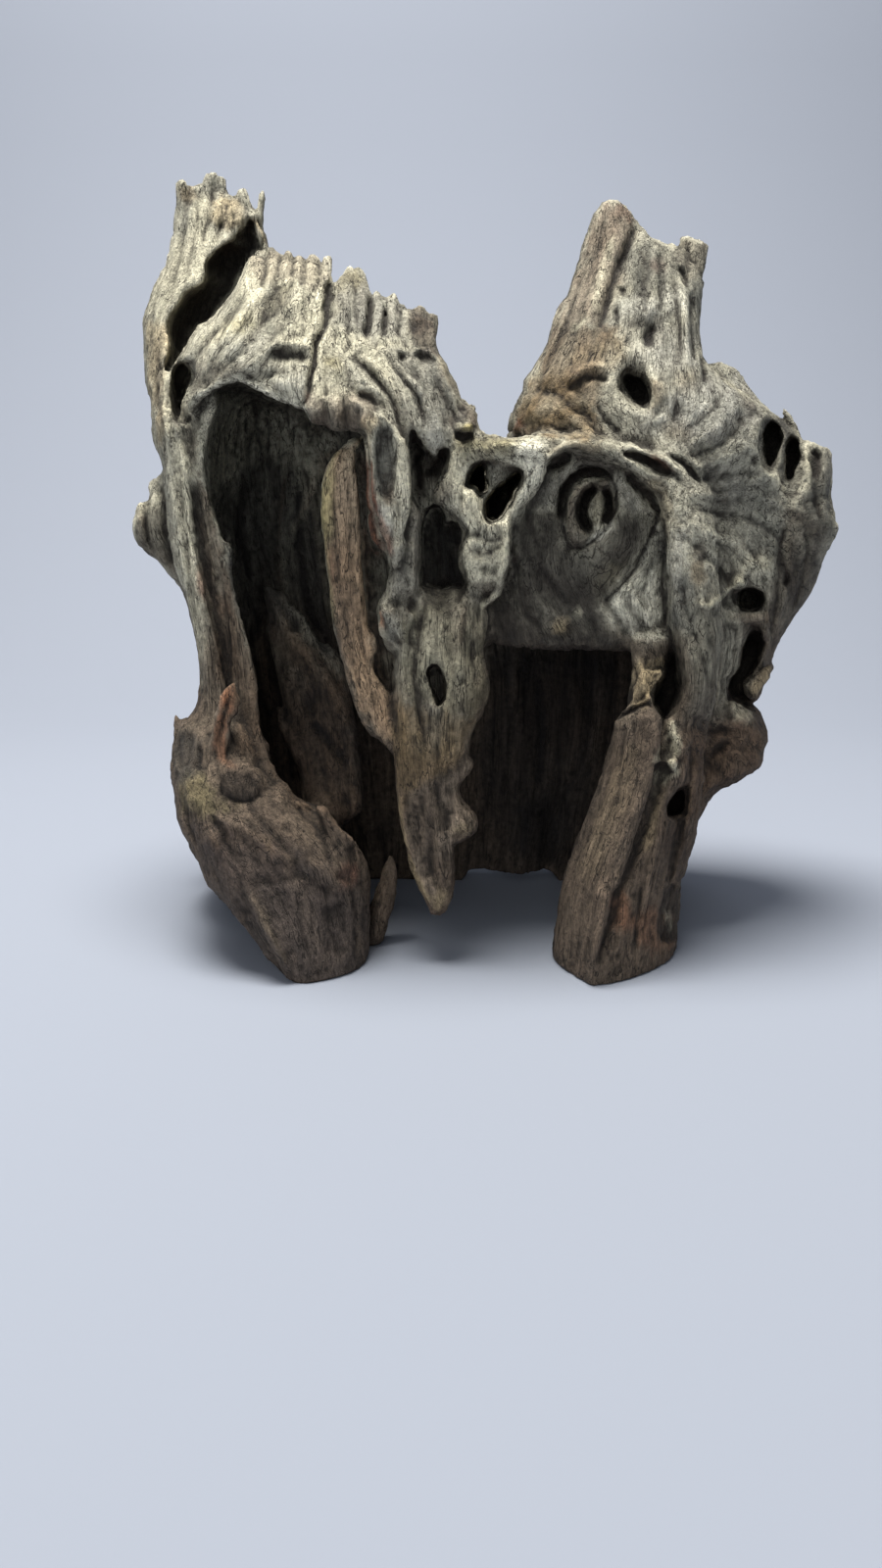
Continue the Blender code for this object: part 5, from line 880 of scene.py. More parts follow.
    (2.4, 9, [(585, 690), (590, 740), (578, 800)]),
    (2.2, 8, [(610, 680), (612, 730), (602, 780)]),
    (-3.0, 12, [(556, 825), (560, 850), (556, 880)]),
    (2.4, 6, [(650, 670), (656, 690), (666, 722)]),
    (2.4, 7, [(668, 724), (686, 744), (700, 770), (694, 800)]),
    (-2.4, 4, [(668, 780), (676, 785), (686, 789)]),
]

# ---- knobs and dimples: (height in mm, x, y, half width, half height, turn) ------------------------------------------
SPOTS = [
    (3.0, 474, 436, 8, 6, 10), (2.4, 482, 424, 7, 14, 0), (-2.0, 422, 383, 5, 4, 0), (-1.6, 410, 365, 6, 6, 0),
    (-2.6, 635, 297, 6, 6, 0), (-2.4, 629, 320, 4, 10, 0), (-2.0, 719, 385, 5, 8, 0), (2.0, 568, 640, 12, 8, 0),
    (-2.2, 471, 695, 5, 5, 0), (0.8, 244, 798, 26, 18, 0), (2.8, 216, 858, 12, 15, 0),
    (2.2, 288, 810, 11, 16, 0), (2.0, 716, 563, 8, 10, 0), (-2.6, 770, 470, 4, 8, 0), (-2.8, 803, 592, 5, 9, 0),
    (-2.6, 768, 642, 10, 9, 0), (2.2, 760, 740, 16, 14, 0), (-1.6, 456, 509, 5, 9, 0), (2.0, 300, 300, 16, 24, 10),
    (1.6, 240, 345, 16, 22, 30), (1.8, 630, 245, 12, 20, 0), (1.8, 600, 320, 16, 28, 10), (1.6, 700, 330, 10, 26, 0),
    (1.8, 745, 405, 18, 12, 30), (-1.6, 690, 420, 12, 12, 0), (1.8, 560, 430, 20, 9, 15), (-1.6, 680, 600, 10, 24, 0),
    (2.2, 475, 838, 10, 12, 0), (-1.8, 352, 894, 12, 10, 0), (3.0, 296, 690, 10, 20, 20), (-3.4, 318, 716, 11, 20, 10),
    (3.0, 342, 772, 12, 20, 0), (-3.4, 306, 788, 12, 18, 0), (2.8, 280, 748, 10, 22, 10), (-3.0, 262, 640, 8, 22, 10),
    (2.8, 330, 820, 12, 14, 0), (-3.0, 352, 824, 8, 18, 0), (2.6, 236, 560, 8, 26, 5), (-3.2, 300, 640, 10, 16, 20),
    (-2.6, 803, 592, 4, 6, 0), (2.4, 654, 700, 7, 10, 20), (-2.2, 668, 690, 5, 6, 0), (2.2, 700, 760, 6, 14, 10),
]

# ---- which way the grain runs on the front: curves on the sighting grid ---------------------------------------------
GRAIN = [
    [(190, 190), (184, 240), (170, 290), (156, 340), (155, 400), (166, 450)], [(215, 185), (210, 230), (200, 280), (186, 300)],
    [(245, 200), (238, 230)], [(266, 205), (262, 240)],
    [(262, 262), (250, 295), (222, 335), (196, 385), (190, 430)], [(290, 262), (278, 305), (250, 350), (222, 388)],
    [(312, 266), (305, 310), (290, 350), (262, 392)], [(330, 266), (326, 310), (314, 350), (304, 400)],
    [(350, 285), (346, 320), (340, 360), (334, 430)], [(366, 280), (366, 320), (360, 350), (366, 380), (382, 420)],
    [(385, 305), (384, 335), (392, 370), (412, 400), (424, 440)], [(402, 305), (404, 335), (420, 365), (440, 395), (452, 440)],
    [(430, 320), (436, 350), (450, 380), (466, 410), (474, 445)],
    [(196, 405), (220, 396), (250, 392), (290, 408)], [(480, 450), (520, 458), (560, 456), (600, 452)],
    [(180, 450), (188, 520), (198, 590), (208, 660), (212, 720), (214, 780)], [(210, 500), (226, 570), (246, 650), (258, 720), (264, 790)],
    [(150, 495), (144, 525), (150, 555), (172, 580)],
    [(185, 780), (198, 840), (222, 895), (256, 950), (290, 995)], [(240, 790), (262, 840), (290, 880), (310, 930), (320, 990)],
    [(300, 820), (330, 860), (346, 900), (350, 980)], [(372, 880), (370, 930), (368, 980)], [(398, 880), (392, 920), (384, 950)],
    [(348, 462), (346, 520), (350, 580), (362, 650), (378, 710), (396, 755)],
    [(392, 430), (396, 480), (398, 540), (398, 590), (404, 650)], [(424, 450), (424, 520), (424, 590), (416, 650)],
    [(460, 450), (456, 490), (448, 530)], [(490, 490), (494, 540), (492, 600)],
    [(412, 640), (410, 700), (412, 760), (420, 830), (436, 900), (448, 925)], [(450, 620), (446, 680), (446, 740), (448, 800), (452, 880), (452, 920)],
    [(490, 620), (490, 680), (478, 740), (470, 790), (476, 830)],
    [(528, 470), (524, 520), (520, 560), (510, 600)], [(545, 500), (545, 560), (562, 610), (590, 636)],
    [(570, 490), (566, 540), (580, 590), (620, 630)], [(640, 490), (660, 520), (655, 570), (625, 600)], [(590, 560), (610, 575), (640, 560)],
    [(625, 210), (616, 260), (602, 310), (580, 360), (552, 400), (526, 440)], [(604, 240), (590, 290), (570, 340), (545, 385)],
    [(650, 230), (638, 280), (628, 330), (614, 380), (590, 420)], [(665, 250), (664, 300), (662, 350), (666, 400), (680, 440)],
    [(690, 250), (690, 300), (696, 350), (706, 400), (700, 440)], [(712, 255), (710, 310), (712, 360), (722, 400)],
    [(560, 410), (600, 424), (640, 446), (690, 474)], [(540, 440), (600, 446), (650, 462), (700, 492)],
    [(690, 470), (730, 440), (764, 405)], [(700, 480), (745, 466), (790, 440)], [(702, 494), (750, 490), (800, 492), (840, 470)],
    [(702, 508), (750, 516), (800, 536), (840, 540)], [(700, 522), (745, 550), (780, 590), (796, 640)],
    [(698, 540), (724, 585), (745, 640), (742, 690)], [(694, 560), (708, 620), (720, 680), (722, 740)],
    [(690, 580), (694, 650), (700, 710), (696, 780), (680, 850), (660, 920), (650, 975)],
    [(712, 740), (745, 745), (775, 760)], [(700, 760), (722, 790), (716, 830)], [(706, 800), (698, 860), (682, 930), (676, 970)],
    [(650, 735), (636, 790), (612, 850), (590, 910), (582, 975)],
    [(240, 440), (236, 520), (248, 600), (266, 680), (280, 760), (300, 840)], [(300, 440), (300, 540), (320, 640), (346, 720), (362, 800)],
    [(520, 660), (526, 740), (530, 820)], [(590, 660), (588, 740), (576, 820)], [(640, 670), (650, 700), (640, 760)],
]

# how softly each limb in front joins the rest, in metres
SOFT = {"strap": 0.0015, "tusk": 0.0025, "foot_right": 0.0012, "splinter_foot": 0.0015, "strand_inside": 0.004,
        "lug_right": 0.002, "spur_left": 0.002, "tooth_block": 0.0015, "wall_left": 0.002, "shield": 0.008, "ridge_right": 0.005}

# ---- how the front is weathered, and where the hollows are painted darker as shade: (kind, strength, x, y, half width, half height, turn) ---
PATCHES = [
    ("smooth", 0.7, 585, 570, 95, 95, 0), ("smooth", 0.35, 430, 690, 50, 80, 0), ("smooth", 0.55, 770, 520, 62, 105, 0), ("smooth", 0.4, 615, 860, 50, 150, 15),
    ("smooth", 0.4, 540, 465, 50, 24, 0), ("smooth", 1.0, 190, 290, 40, 90, 15), ("smooth", 0.9, 275, 320, 70, 50, -20),
    ("smooth", 0.7, 660, 320, 70, 100, 0), ("smooth", 0.6, 700, 440, 80, 60, 0), ("smooth", 0.5, 380, 390, 60, 50, 30),
    ("smooth", 0.4, 300, 900, 80, 70, 0), ("smooth", 0.5, 715, 680, 30, 80, 0),
    ("inside", 1.0, 275, 560, 62, 150, 0), ("inside", 1.0, 320, 740, 70, 120, -20), ("inside", 1.0, 330, 600, 40, 130, -10),
    ("inside", 1.0, 550, 780, 90, 130, 0), ("inside", 0.9, 600, 700, 45, 60, 0),
    ("brown", 0.9, 350, 600, 40, 150, -10), ("brown", 0.9, 225, 680, 30, 80, 0), ("brown", 0.5, 376, 545, 16, 90, 0),
    ("bleach", 0.9, 440, 670, 60, 70, 0), ("bleach", 0.6, 445, 740, 45, 40, 0), ("bleach", 0.9, 590, 570, 100, 90, 0),
    ("bleach", 0.9, 720, 640, 60, 110, 0), ("bleach", 0.5, 185, 620, 16, 120, 0),
]
# stains drawn as lines, and painted shade drawn along cracks, creases and grooves: (kind, strength, half width, points)
STROKES = [
    ("deep_shade", 0.9, 3.2, [(335, 288), (334, 310), (333, 330), (328, 340), (322, 350), (321, 370), (317, 385), (315, 400), (312, 412)]),
    ("shade", 0.5, 4.0, [(280, 363), (298, 365), (312, 362)]), ("red", 0.6, 2.6, [(311, 400), (314, 406), (312, 412)]),
    ("deep_shade", 0.85, 2.2, [(672, 519), (668, 535), (664, 545), (657, 565), (650, 580), (640, 592), (628, 603), (614, 617)]),
    ("deep_shade", 0.5, 2.0, [(676, 525), (677, 560), (676, 600), (676, 640)]),
    ("deep_shade", 0.85, 3.0, [(573, 520), (574, 508), (580, 495), (590, 485), (600, 481), (613, 484)]),
    ("deep_shade", 0.85, 2.2, [(573, 520), (575, 545), (580, 557), (592, 556), (605, 545), (618, 532)]),
    ("deep_shade", 0.6, 1.8, [(621, 495), (622, 510), (620, 526)]),
    ("deep_shade", 0.7, 2.4, [(636, 462), (660, 468), (682, 478)]), ("deep_shade", 0.6, 2.2, [(680, 465), (700, 475), (712, 490)]),
    ("rust", 0.6, 2.6, [(665, 466), (674, 471), (682, 478)]),
    ("lichen", 0.6, 5, [(328, 480), (327, 520), (333, 580), (340, 640)]),
    ("cream", 0.8, 3, [(600, 322), (592, 331), (583, 340)]), ("cream", 0.6, 6, [(626, 240), (620, 262), (612, 292), (605, 318)]),
    ("shade", 0.85, 3.4, [(647, 230), (641, 250), (632, 270), (624, 298), (619, 316), (612, 334)]),
    ("deep_shade", 0.8, 2.0, [(716, 366), (718, 378), (720, 390)]), ("deep_shade", 0.7, 2.6, [(800, 582), (803, 590), (803, 598)]),
    ("umber_and_shade", 0.7, 2.4, [(800, 540), (798, 558), (800, 576)]), ("deep_shade", 0.85, 2.6, [(226, 806), (236, 814), (250, 817), (264, 811)]),
    ("deep_shade", 0.85, 3.0, [(203, 766), (203, 784)]), ("deep_shade", 0.8, 2.6, [(628, 734), (640, 727), (655, 720), (672, 715)]),
    ("deep_shade", 0.7, 1.8, [(573, 530), (572, 512), (577, 495), (588, 484), (601, 480), (613, 481), (623, 489), (629, 502), (629, 516)]),
    ("rust", 0.5, 1.6, [(372, 470), (374, 500), (376, 520)]), ("red", 0.8, 2.0, [(376, 470), (379, 500), (386, 522), (396, 540)]),
    ("umber_and_shade", 0.8, 1.6, [(374, 522), (382, 530), (379, 540)]), ("umber_and_shade", 0.8, 1.6, [(386, 532), (382, 546), (390, 552)]),
    ("rust", 0.6, 1.6, [(378, 534), (384, 542), (380, 554)]), ("rust", 0.6, 1.6, [(388, 544), (394, 552), (390, 562)]),
    ("umber_and_shade", 0.7, 2.0, [(237, 702), (230, 726), (222, 762)]), ("umber_and_shade", 0.6, 1.6, [(242, 704), (236, 726), (232, 748)]),
    ("deep_shade", 0.7, 3.0, [(244, 722), (240, 738), (236, 756)]),
    ("deep_shade", 0.6, 1.8, [(655, 250), (650, 290), (648, 325)]), ("deep_shade", 0.6, 1.8, [(666, 262), (661, 295), (657, 325)]),
    ("deep_shade", 0.6, 1.8, [(682, 275), (674, 300), (668, 325)]), ("deep_shade", 0.7, 2.4, [(668, 246), (686, 260), (700, 278)]),
    ("deep_shade", 0.8, 3.4, [(632, 296), (635, 297), (638, 298)]), ("deep_shade", 0.6, 2.4, [(630, 312), (629, 322), (630, 331)]),
    ("umber_and_shade", 0.6, 2.0, [(697, 335), (692, 355), (690, 376)]), ("umber_and_shade", 0.7, 3, [(580, 378), (590, 382), (600, 389)]),
    ("umber_and_shade", 0.7, 2, [(612, 415), (620, 428), (635, 440)]), ("red", 0.6, 2, [(524, 428), (530, 432), (536, 441)]),
    ("umber_and_shade", 0.7, 2.0, [(357, 360), (375, 375), (392, 395), (400, 405), (410, 425), (417, 445)]),
    ("umber_and_shade", 0.5, 1.8, [(366, 360), (384, 376), (400, 395), (408, 407), (418, 428), (424, 445)]),
    ("umber_and_shade", 0.8, 2, [(322, 416), (323, 440)]), ("umber_and_shade", 0.8, 2, [(333, 416), (333, 440)]), ("umber_and_shade", 0.8, 2, [(346, 416), (345, 440)]),
    ("deep_shade", 0.8, 2.6, [(421, 364), (430, 359), (443, 368), (437, 373)]), ("deep_shade", 0.7, 3, [(444, 352), (448, 357), (449, 362)]),
    ("umber_and_shade", 0.7, 3, [(450, 395), (451, 405)]), ("umber_and_shade", 0.7, 3.4, [(456, 420), (461, 430), (464, 440)]),
    ("tan", 0.7, 3, [(258, 222), (266, 233), (273, 247)]), ("deep_shade", 0.8, 4, [(271, 243), (275, 250), (276, 257)]),
    ("deep_shade", 0.6, 2, [(226, 183), (228, 189), (228, 195)]), ("cream", 0.8, 3, [(209, 200), (207, 212), (205, 222)]),
    ("umber_and_shade", 0.35, 2, [(342, 466), (344, 500), (345, 560)]), ("umber_and_shade", 0.35, 2, [(352, 462), (353, 500), (355, 560)]),
    ("umber_and_shade", 0.6, 3, [(364, 462), (366, 500), (367, 560)]), ("deep_shade", 0.8, 3, [(400, 540), (406, 560), (415, 580)]),
    ("cream", 0.7, 3, [(406, 465), (415, 480), (419, 500), (416, 535)]), ("umber_and_shade", 0.7, 3, [(386, 622), (404, 624), (424, 623)]),
    ("rust", 0.7, 3, [(382, 619), (386, 628), (388, 640)]), ("umber_and_shade", 0.4, 2, [(480, 560), (494, 566), (510, 559)]),
    ("deep_shade", 0.8, 3, [(472, 604), (490, 612), (512, 613)]), ("umber_and_shade", 0.7, 4, [(474, 622), (473, 638), (470, 655)]),
    ("deep_shade", 0.6, 4, [(448, 715), (438, 735), (430, 765)]), ("deep_shade", 0.6, 3, [(467, 695), (474, 695)]),
    ("deep_shade", 0.5, 4, [(440, 815), (436, 850), (436, 880), (444, 902)]),
    ("umber_and_shade", 0.7, 4, [(296, 470), (286, 520), (284, 570), (290, 620)]), ("brown", 0.6, 3, [(322, 490), (312, 515), (298, 545)]),
    ("umber_and_shade", 0.7, 5, [(198, 420), (199, 450), (197, 478)]), ("umber_and_shade", 0.7, 3, [(144, 526), (150, 536), (154, 550)]),
    ("umber_and_shade", 0.7, 4, [(723, 776), (734, 764), (746, 754)]),
    ("deep_shade", 0.7, 3, [(668, 778), (678, 782), (688, 788)]), ("deep_shade", 0.5, 4, [(662, 805), (645, 840), (632, 872), (622, 900)]),
    ("tan", 0.5, 6, [(676, 795), (668, 830), (658, 870)]), ("deep_shade", 0.5, 2.4, [(738, 486), (752, 500), (766, 530), (780, 560)]),
    ("umber_and_shade", 0.5, 2.4, [(728, 492), (742, 512), (754, 545), (764, 572)]), ("cream", 0.7, 4, [(824, 452), (826, 480), (822, 504)]),
    ("cream", 0.7, 4, [(846, 522), (854, 530), (856, 540)]), ("cream", 0.6, 3, [(786, 484), (794, 490), (800, 500)]),
    ("deep_shade", 0.6, 5, [(762, 606), (766, 614), (764, 622)]), ("cream", 0.5, 3, [(680, 930), (684, 940), (686, 950)]),
    ("umber_and_shade", 0.3, 5, [(245, 902), (280, 899), (315, 899), (345, 914)]), ("cream", 0.6, 3, [(465, 900), (505, 900), (545, 898)]),
    ("umber_and_shade", 0.6, 3, [(716, 641), (714, 670), (716, 700)]), ("umber_and_shade", 0.5, 3, [(728, 640), (730, 680), (726, 720)]),
]
# the colours of the stains and of the painted light, as display values: the two darkest are painted shade in cracks,
# holes and hollows, the dark brown umber is a brown stain and also painted shade in creases and under ledges, and the
# brightest is pale wood and also a painted highlight on lit tops and edges
STAINS = {
    "tan": (192, 170, 130), "cream": (224, 216, 186), "ochre": (128, 108, 78), "slate": (110, 110, 102), "umber_and_shade": (72, 58, 47),
    "lichen": (170, 158, 110), "olive": (124, 117, 92), "pale_and_highlight": (240, 234, 210), "dusk": (68, 62, 62), "moss": (122, 114, 90), "white": (210, 206, 190), "red": (118, 64, 44), "rust": (160, 108, 76), "clay": (172, 143, 112), "taupe": (140, 125, 107),
    "brown": (104, 84, 66), "grey": (148, 144, 132), "shade": (52, 47, 42), "deep_shade": (30, 31, 35),
}


# ---- laying out ---------------------------------------------------------------------------------------------------
def sight(gx, gy, depth):
    """The point at this depth (before the shift) that is seen at this place of the sighting grid."""
    u = (np.asarray(gx, float) - GRID_CENTRE[0]) / GRID_FOCAL
    v = (GRID_CENTRE[1] - np.asarray(gy, float)) / GRID_FOCAL
    c, s = math.cos(SIGHT_PITCH), math.sin(SIGHT_PITCH)
    dy, dz = c + v * s, -s + v * c
    t = (np.asarray(depth, float) + SIGHT_BACK) / dy
    return np.stack([u * t + SHIFT[0], np.asarray(depth, float) + 0 * t + SHIFT[1], SIGHT_HEIGHT + t * dz], -1)


def project(p):
    """Grid x, grid y and distance along the line of sight of points."""
    rel = p - EYE
    t = rel @ FORWARD
    return GRID_CENTRE[0] + GRID_FOCAL * rel[..., 0] / t, GRID_CENTRE[1] - GRID_FOCAL * (rel @ UPWARD) / t, t


def smooth_rows(rows, steps):
    """Rows interpolated by a cubic through every station, spaced by how far apart the stations lie."""
    rows = np.asarray(rows, float)
    mid = (rows[:, 0:2] + rows[:, 2:4]) / 2
    t = np.concatenate([[0], np.cumsum(np.maximum(np.linalg.norm(np.diff(mid, axis=0), axis=1), 1e-6))])
    slope = np.diff(rows, axis=0) / np.diff(t)[:, None]
    tangent = np.zeros_like(rows)
    tangent[0], tangent[-1] = slope[0], slope[-1]
    for i in range(1, len(rows) - 1):
        a, b = t[i] - t[i - 1], t[i + 1] - t[i]
        tangent[i] = (slope[i - 1] * b + slope[i] * a) / (a + b)
    out = []
    for i in range(len(rows) - 1):
        h = t[i + 1] - t[i]
        for k in range(steps):
            x = k / steps
            out.append((2 * x**3 - 3 * x**2 + 1) * rows[i] + (x**3 - 2 * x**2 + x) * h * tangent[i]
                       + (3 * x**2 - 2 * x**3) * rows[i + 1] + (x**3 - x**2) * h * tangent[i + 1])
    out.append(rows[-1])
    return np.array(out)


def limb(power, stations, sides=28, steps=5):
    """The closed rings of a limb: super-ellipses between the left and right edges, domed at both ends."""
    rows = smooth_rows(stations, steps)
    left = sight(rows[:, 0], rows[:, 1], rows[:, 4] - rows[:, 6])
    right = sight(rows[:, 2], rows[:, 3], rows[:, 4] + rows[:, 6])
    centre = (left + right) / 2
    across = (right - left) / 2
    ray = centre - EYE
    ray /= np.linalg.norm(ray, axis=1)[:, None]
    thick = np.maximum(rows[:, 5], 0.0012)
    angle = np.linspace(0, 2 * math.pi, sides, endpoint=False)
    c, s = np.cos(angle), np.sin(angle)
    c = np.sign(c) * np.abs(c) ** (2 / power)
    s = np.sign(s) * np.abs(s) ** (2 / power)

    def ring(i, size, push):
        along = centre[min(i + 1, len(centre) - 1)] - centre[max(i - 1, 0)]
        along /= max(np.linalg.norm(along), 1e-9)
        return (centre[i] + along * push)[None] + size * (c[:, None] * across[i] + s[:, None] * ray[i] * thick[i])

    rings = [ring(i, 1.0, 0.0) for i in range(len(rows))]
    first = 0.7 * min(np.linalg.norm(across[0]), thick[0])
    last = 0.7 * min(np.linalg.norm(across[-1]), thick[-1])
    head = [ring(0, math.cos(a), -first * math.sin(a)) for a in (1.35, 0.9, 0.45)]
    tail = [ring(len(rows) - 1, math.cos(a), last * math.sin(a)) for a in (0.45, 0.9, 1.35)]
    return np.array(head + rings + tail)


def tooth(x0, x1, yb, xt, yt, depth, thick):
    ym = 0.45 * yt + 0.55 * yb
    xm = 0.5 * xt + 0.25 * (x0 + x1)
    half = (x1 - x0) / 2
    return limb(2.4, [(x0, yb, x1, yb, depth, thick, 0), (xm - 0.86 * half, ym, xm + 0.86 * half, ym, depth, thick * 0.9, 0),
                      (xt - 0.66 * half - 1, yt, xt + 0.66 * half + 1, yt, depth, thick * 0.7, 0)], 16, 3)


def foot_rings(x0, y0, a0, b0, x1, y1, a1, b1, top):
    rings = []
    for k in range(9):
        f = k / 8
        z = -0.02 + f * (top + 0.02)
        g = f * f * (3 - 2 * f)
        cx, cy, a, b = (p + (q - p) * g for p, q in ((x0, x1), (y0, y1), (a0, a1), (b0, b1)))
        rings.append([(cx + SHIFT[0] + a * math.cos(t), cy + SHIFT[1] + b * math.sin(t), z)
                      for t in np.linspace(0, 2 * math.pi, 24, endpoint=False)])
    return np.array(rings)


def ring_outline(outline, count=72, rough=1.0):
    """An outline resampled to evenly spaced, slightly ragged points, always turning the same way."""
    p = np.asarray(outline, float)
    p = np.concatenate([p, p[:1]])
    run = np.concatenate([[0], np.cumsum(np.linalg.norm(np.diff(p, axis=0), axis=1))])
    at = np.linspace(0, run[-1], count, endpoint=False)
    p = np.stack([np.interp(at, run, p[:, 0]), np.interp(at, run, p[:, 1])], 1)
    place = np.stack([p[:, 0], p[:, 1], 0 * p[:, 0]], 1)
    p = p + rough * np.stack([noise(place / 6.0, 91), noise(place / 6.0, 92)], 1)
    if (p[:, 0] * np.roll(p[:, 1], -1) - p[:, 1] * np.roll(p[:, 0], -1)).sum() < 0:
        p = p[::-1]
    return p


def cut_rings(front, back, outline):
    p = ring_outline(outline)
    middle = p.mean(0)
    rings = []
    for k in range(9):
        size = 1.0 if k < 7 else (0.9, 0.6)[k - 7]
        q = middle + (p - middle) * size
        rings.append(sight(q[:, 0], q[:, 1], np.full(len(q), front + (back - front) * k / 8)))
    return np.array(rings)


def plate_rings(depth, thick, outline):
    p = ring_outline(outline)
    middle = p.mean(0)
    rings = []
    for along, size in ((-1.0, 0.55), (-0.9, 0.82), (-0.5, 0.97), (0.0, 1.0), (0.6, 0.97), (1.0, 0.7)):
        q = middle + (p - middle) * size
        rings.append(sight(q[:, 0], q[:, 1], np.full(len(q), depth + thick * along)))
    return np.array(rings)


# ---- the volume ---------------------------------------------------------------------------------------------------
LOW = np.floor(np.array([-0.190, -0.112, -0.0100]) / VOXEL).astype(int)
HIGH = np.ceil(np.array([0.190, 0.112, 0.3800]) / VOXEL).astype(int)
SIZE = HIGH - LOW + 1
XFORM = openvdb.createLinearTransform(voxelSize=VOXEL)


def distances(rings):
    """Distance to a closed skin of rings, in a box of voxels round it: (low index, values)."""
    n, m = len(rings), len(rings[0])
    points = np.concatenate([np.asarray(rings, np.float32).reshape(-1, 3),
                             np.asarray([rings[0].mean(0), rings[-1].mean(0)], np.float32)])
    i, j = np.arange(m), (np.arange(m) + 1) % m
    quads = np.concatenate([np.stack([k * m + i, k * m + j, (k + 1) * m + j, (k + 1) * m + i], 1) for k in range(n - 1)])
    tris = np.concatenate([np.stack([np.full(m, n * m), j, i], 1),
                           np.stack([np.full(m, n * m + 1), (n - 1) * m + i, (n - 1) * m + j], 1)])
    grid = openvdb.FloatGrid.createLevelSetFromPolygons(points, triangles=tris.astype(np.uint32), quads=quads.astype(np.uint32),
                                                        transform=XFORM, halfWidth=float(BAND))
    lo, hi = (np.array(v) for v in grid.evalActiveVoxelBoundingBox())
    lo, hi = np.maximum(lo, LOW), np.minimum(hi, HIGH)
    if (hi < lo).any():
        return None
    values = np.empty(tuple(hi - lo + 1), np.float32)
    grid.copyToArray(values, ijk=tuple(int(v) for v in lo))
    return lo, values


def window(lo, values):
    a = lo - LOW
    return tuple(slice(int(p), int(p) + int(q)) for p, q in zip(a, values.shape))


def join(field, part, soft):
    """Adds a part to a field, rounding the joint over the length soft."""
    if part is None:
        return
    w = window(*part)
    a, b = field[w], part[1]
    low = np.minimum(a, b)
    if soft > 0:
        h = np.maximum(soft - np.abs(a - b), 0) / soft
        h[(a > FAR * 0.97) | (b > FAR * 0.97)] = 0
        low -= h * h * (soft / 4)
    field[w] = low


def carve(field, part, soft):
    """Takes a part out of a field, rounding the rim over the length soft."""
    if part is None:
        return
    w = window(*part)
    a, b = field[w], -part[1]
    high = np.maximum(a, b)
    if soft > 0:
        h = np.maximum(soft - np.abs(a - b), 0) / soft
        h[(b < -FAR * 0.97) | (a < -FAR * 0.97)] = 0
        high += h * h * (soft / 4)
    field[w] = high


# ---- lattice noise ------------------------------------------------------------------------------------------------
_random = np.random.default_rng(11)
_GRAD = _random.normal(size=(1024, 3)).astype(np.float32)
_GRAD /= np.linalg.norm(_GRAD, axis=1)[:, None]
_PERM = _random.permutation(1024).astype(np.int32)


def noise(p, seed=0):
    """Smooth lattice noise between about -1 and 1 with a wavelength of 1."""
    p = np.asarray(p, np.float32) + np.float32(37.7 * seed)
    cell = np.floor(p)
    f = (p - cell).astype(np.float32)
    cell = cell.astype(np.int32)
    u = f * f * f * (f * (f * 6 - 15) + 10)
    out = np.zeros(len(p), np.float32)
    for dz in (0, 1):
        hz = _PERM[(cell[:, 2] + dz) & 1023]
        for dy in (0, 1):
            hy = _PERM[(cell[:, 1] + dy + hz) & 1023]
            wyz = (u[:, 1] if dy else 1 - u[:, 1]) * (u[:, 2] if dz else 1 - u[:, 2])
            for dx in (0, 1):
                g = _GRAD[_PERM[(cell[:, 0] + dx + hy) & 1023]]
                dot = g[:, 0] * (f[:, 0] - dx) + g[:, 1] * (f[:, 1] - dy) + g[:, 2] * (f[:, 2] - dz)
                out += dot * wyz * (u[:, 0] if dx else 1 - u[:, 0])
    return out * 1.7


def step(a, b, x):
    """Smooth step from 0 at a to 1 at b (a may be above b)."""
    t = np.clip((np.asarray(x, np.float32) - a) / (b - a), 0, 1)
    return t * t * (3 - 2 * t)


# ---- drawing on the sighting grid ---------------------------------------------------------------------------------
def dense(points, gap=3.0):
    """A smooth curve through points, with a point about every gap."""
    p = np.asarray(points, float)
    if len(p) == 2:
        n = max(int(np.linalg.norm(p[1] - p[0]) / gap), 1)
        return p[0] + (p[1] - p[0]) * np.linspace(0, 1, n + 1)[:, None]
    q = np.concatenate([[2 * p[0] - p[1]], p, [2 * p[-1] - p[-2]]])
    out = []
    for i in range(1, len(q) - 2):
        n = max(int(np.linalg.norm(q[i + 1] - q[i]) / gap), 1)
        t = np.arange(n)[:, None] / n
        a, b, c, d = q[i - 1], q[i], q[i + 1], q[i + 2]
        out.append(0.5 * (2 * b + (c - a) * t + (2 * a - 5 * b + 4 * c - d) * t**2 + (3 * b - a - 3 * c + d) * t**3))
    out.append(p[-1:])
    return np.concatenate(out)


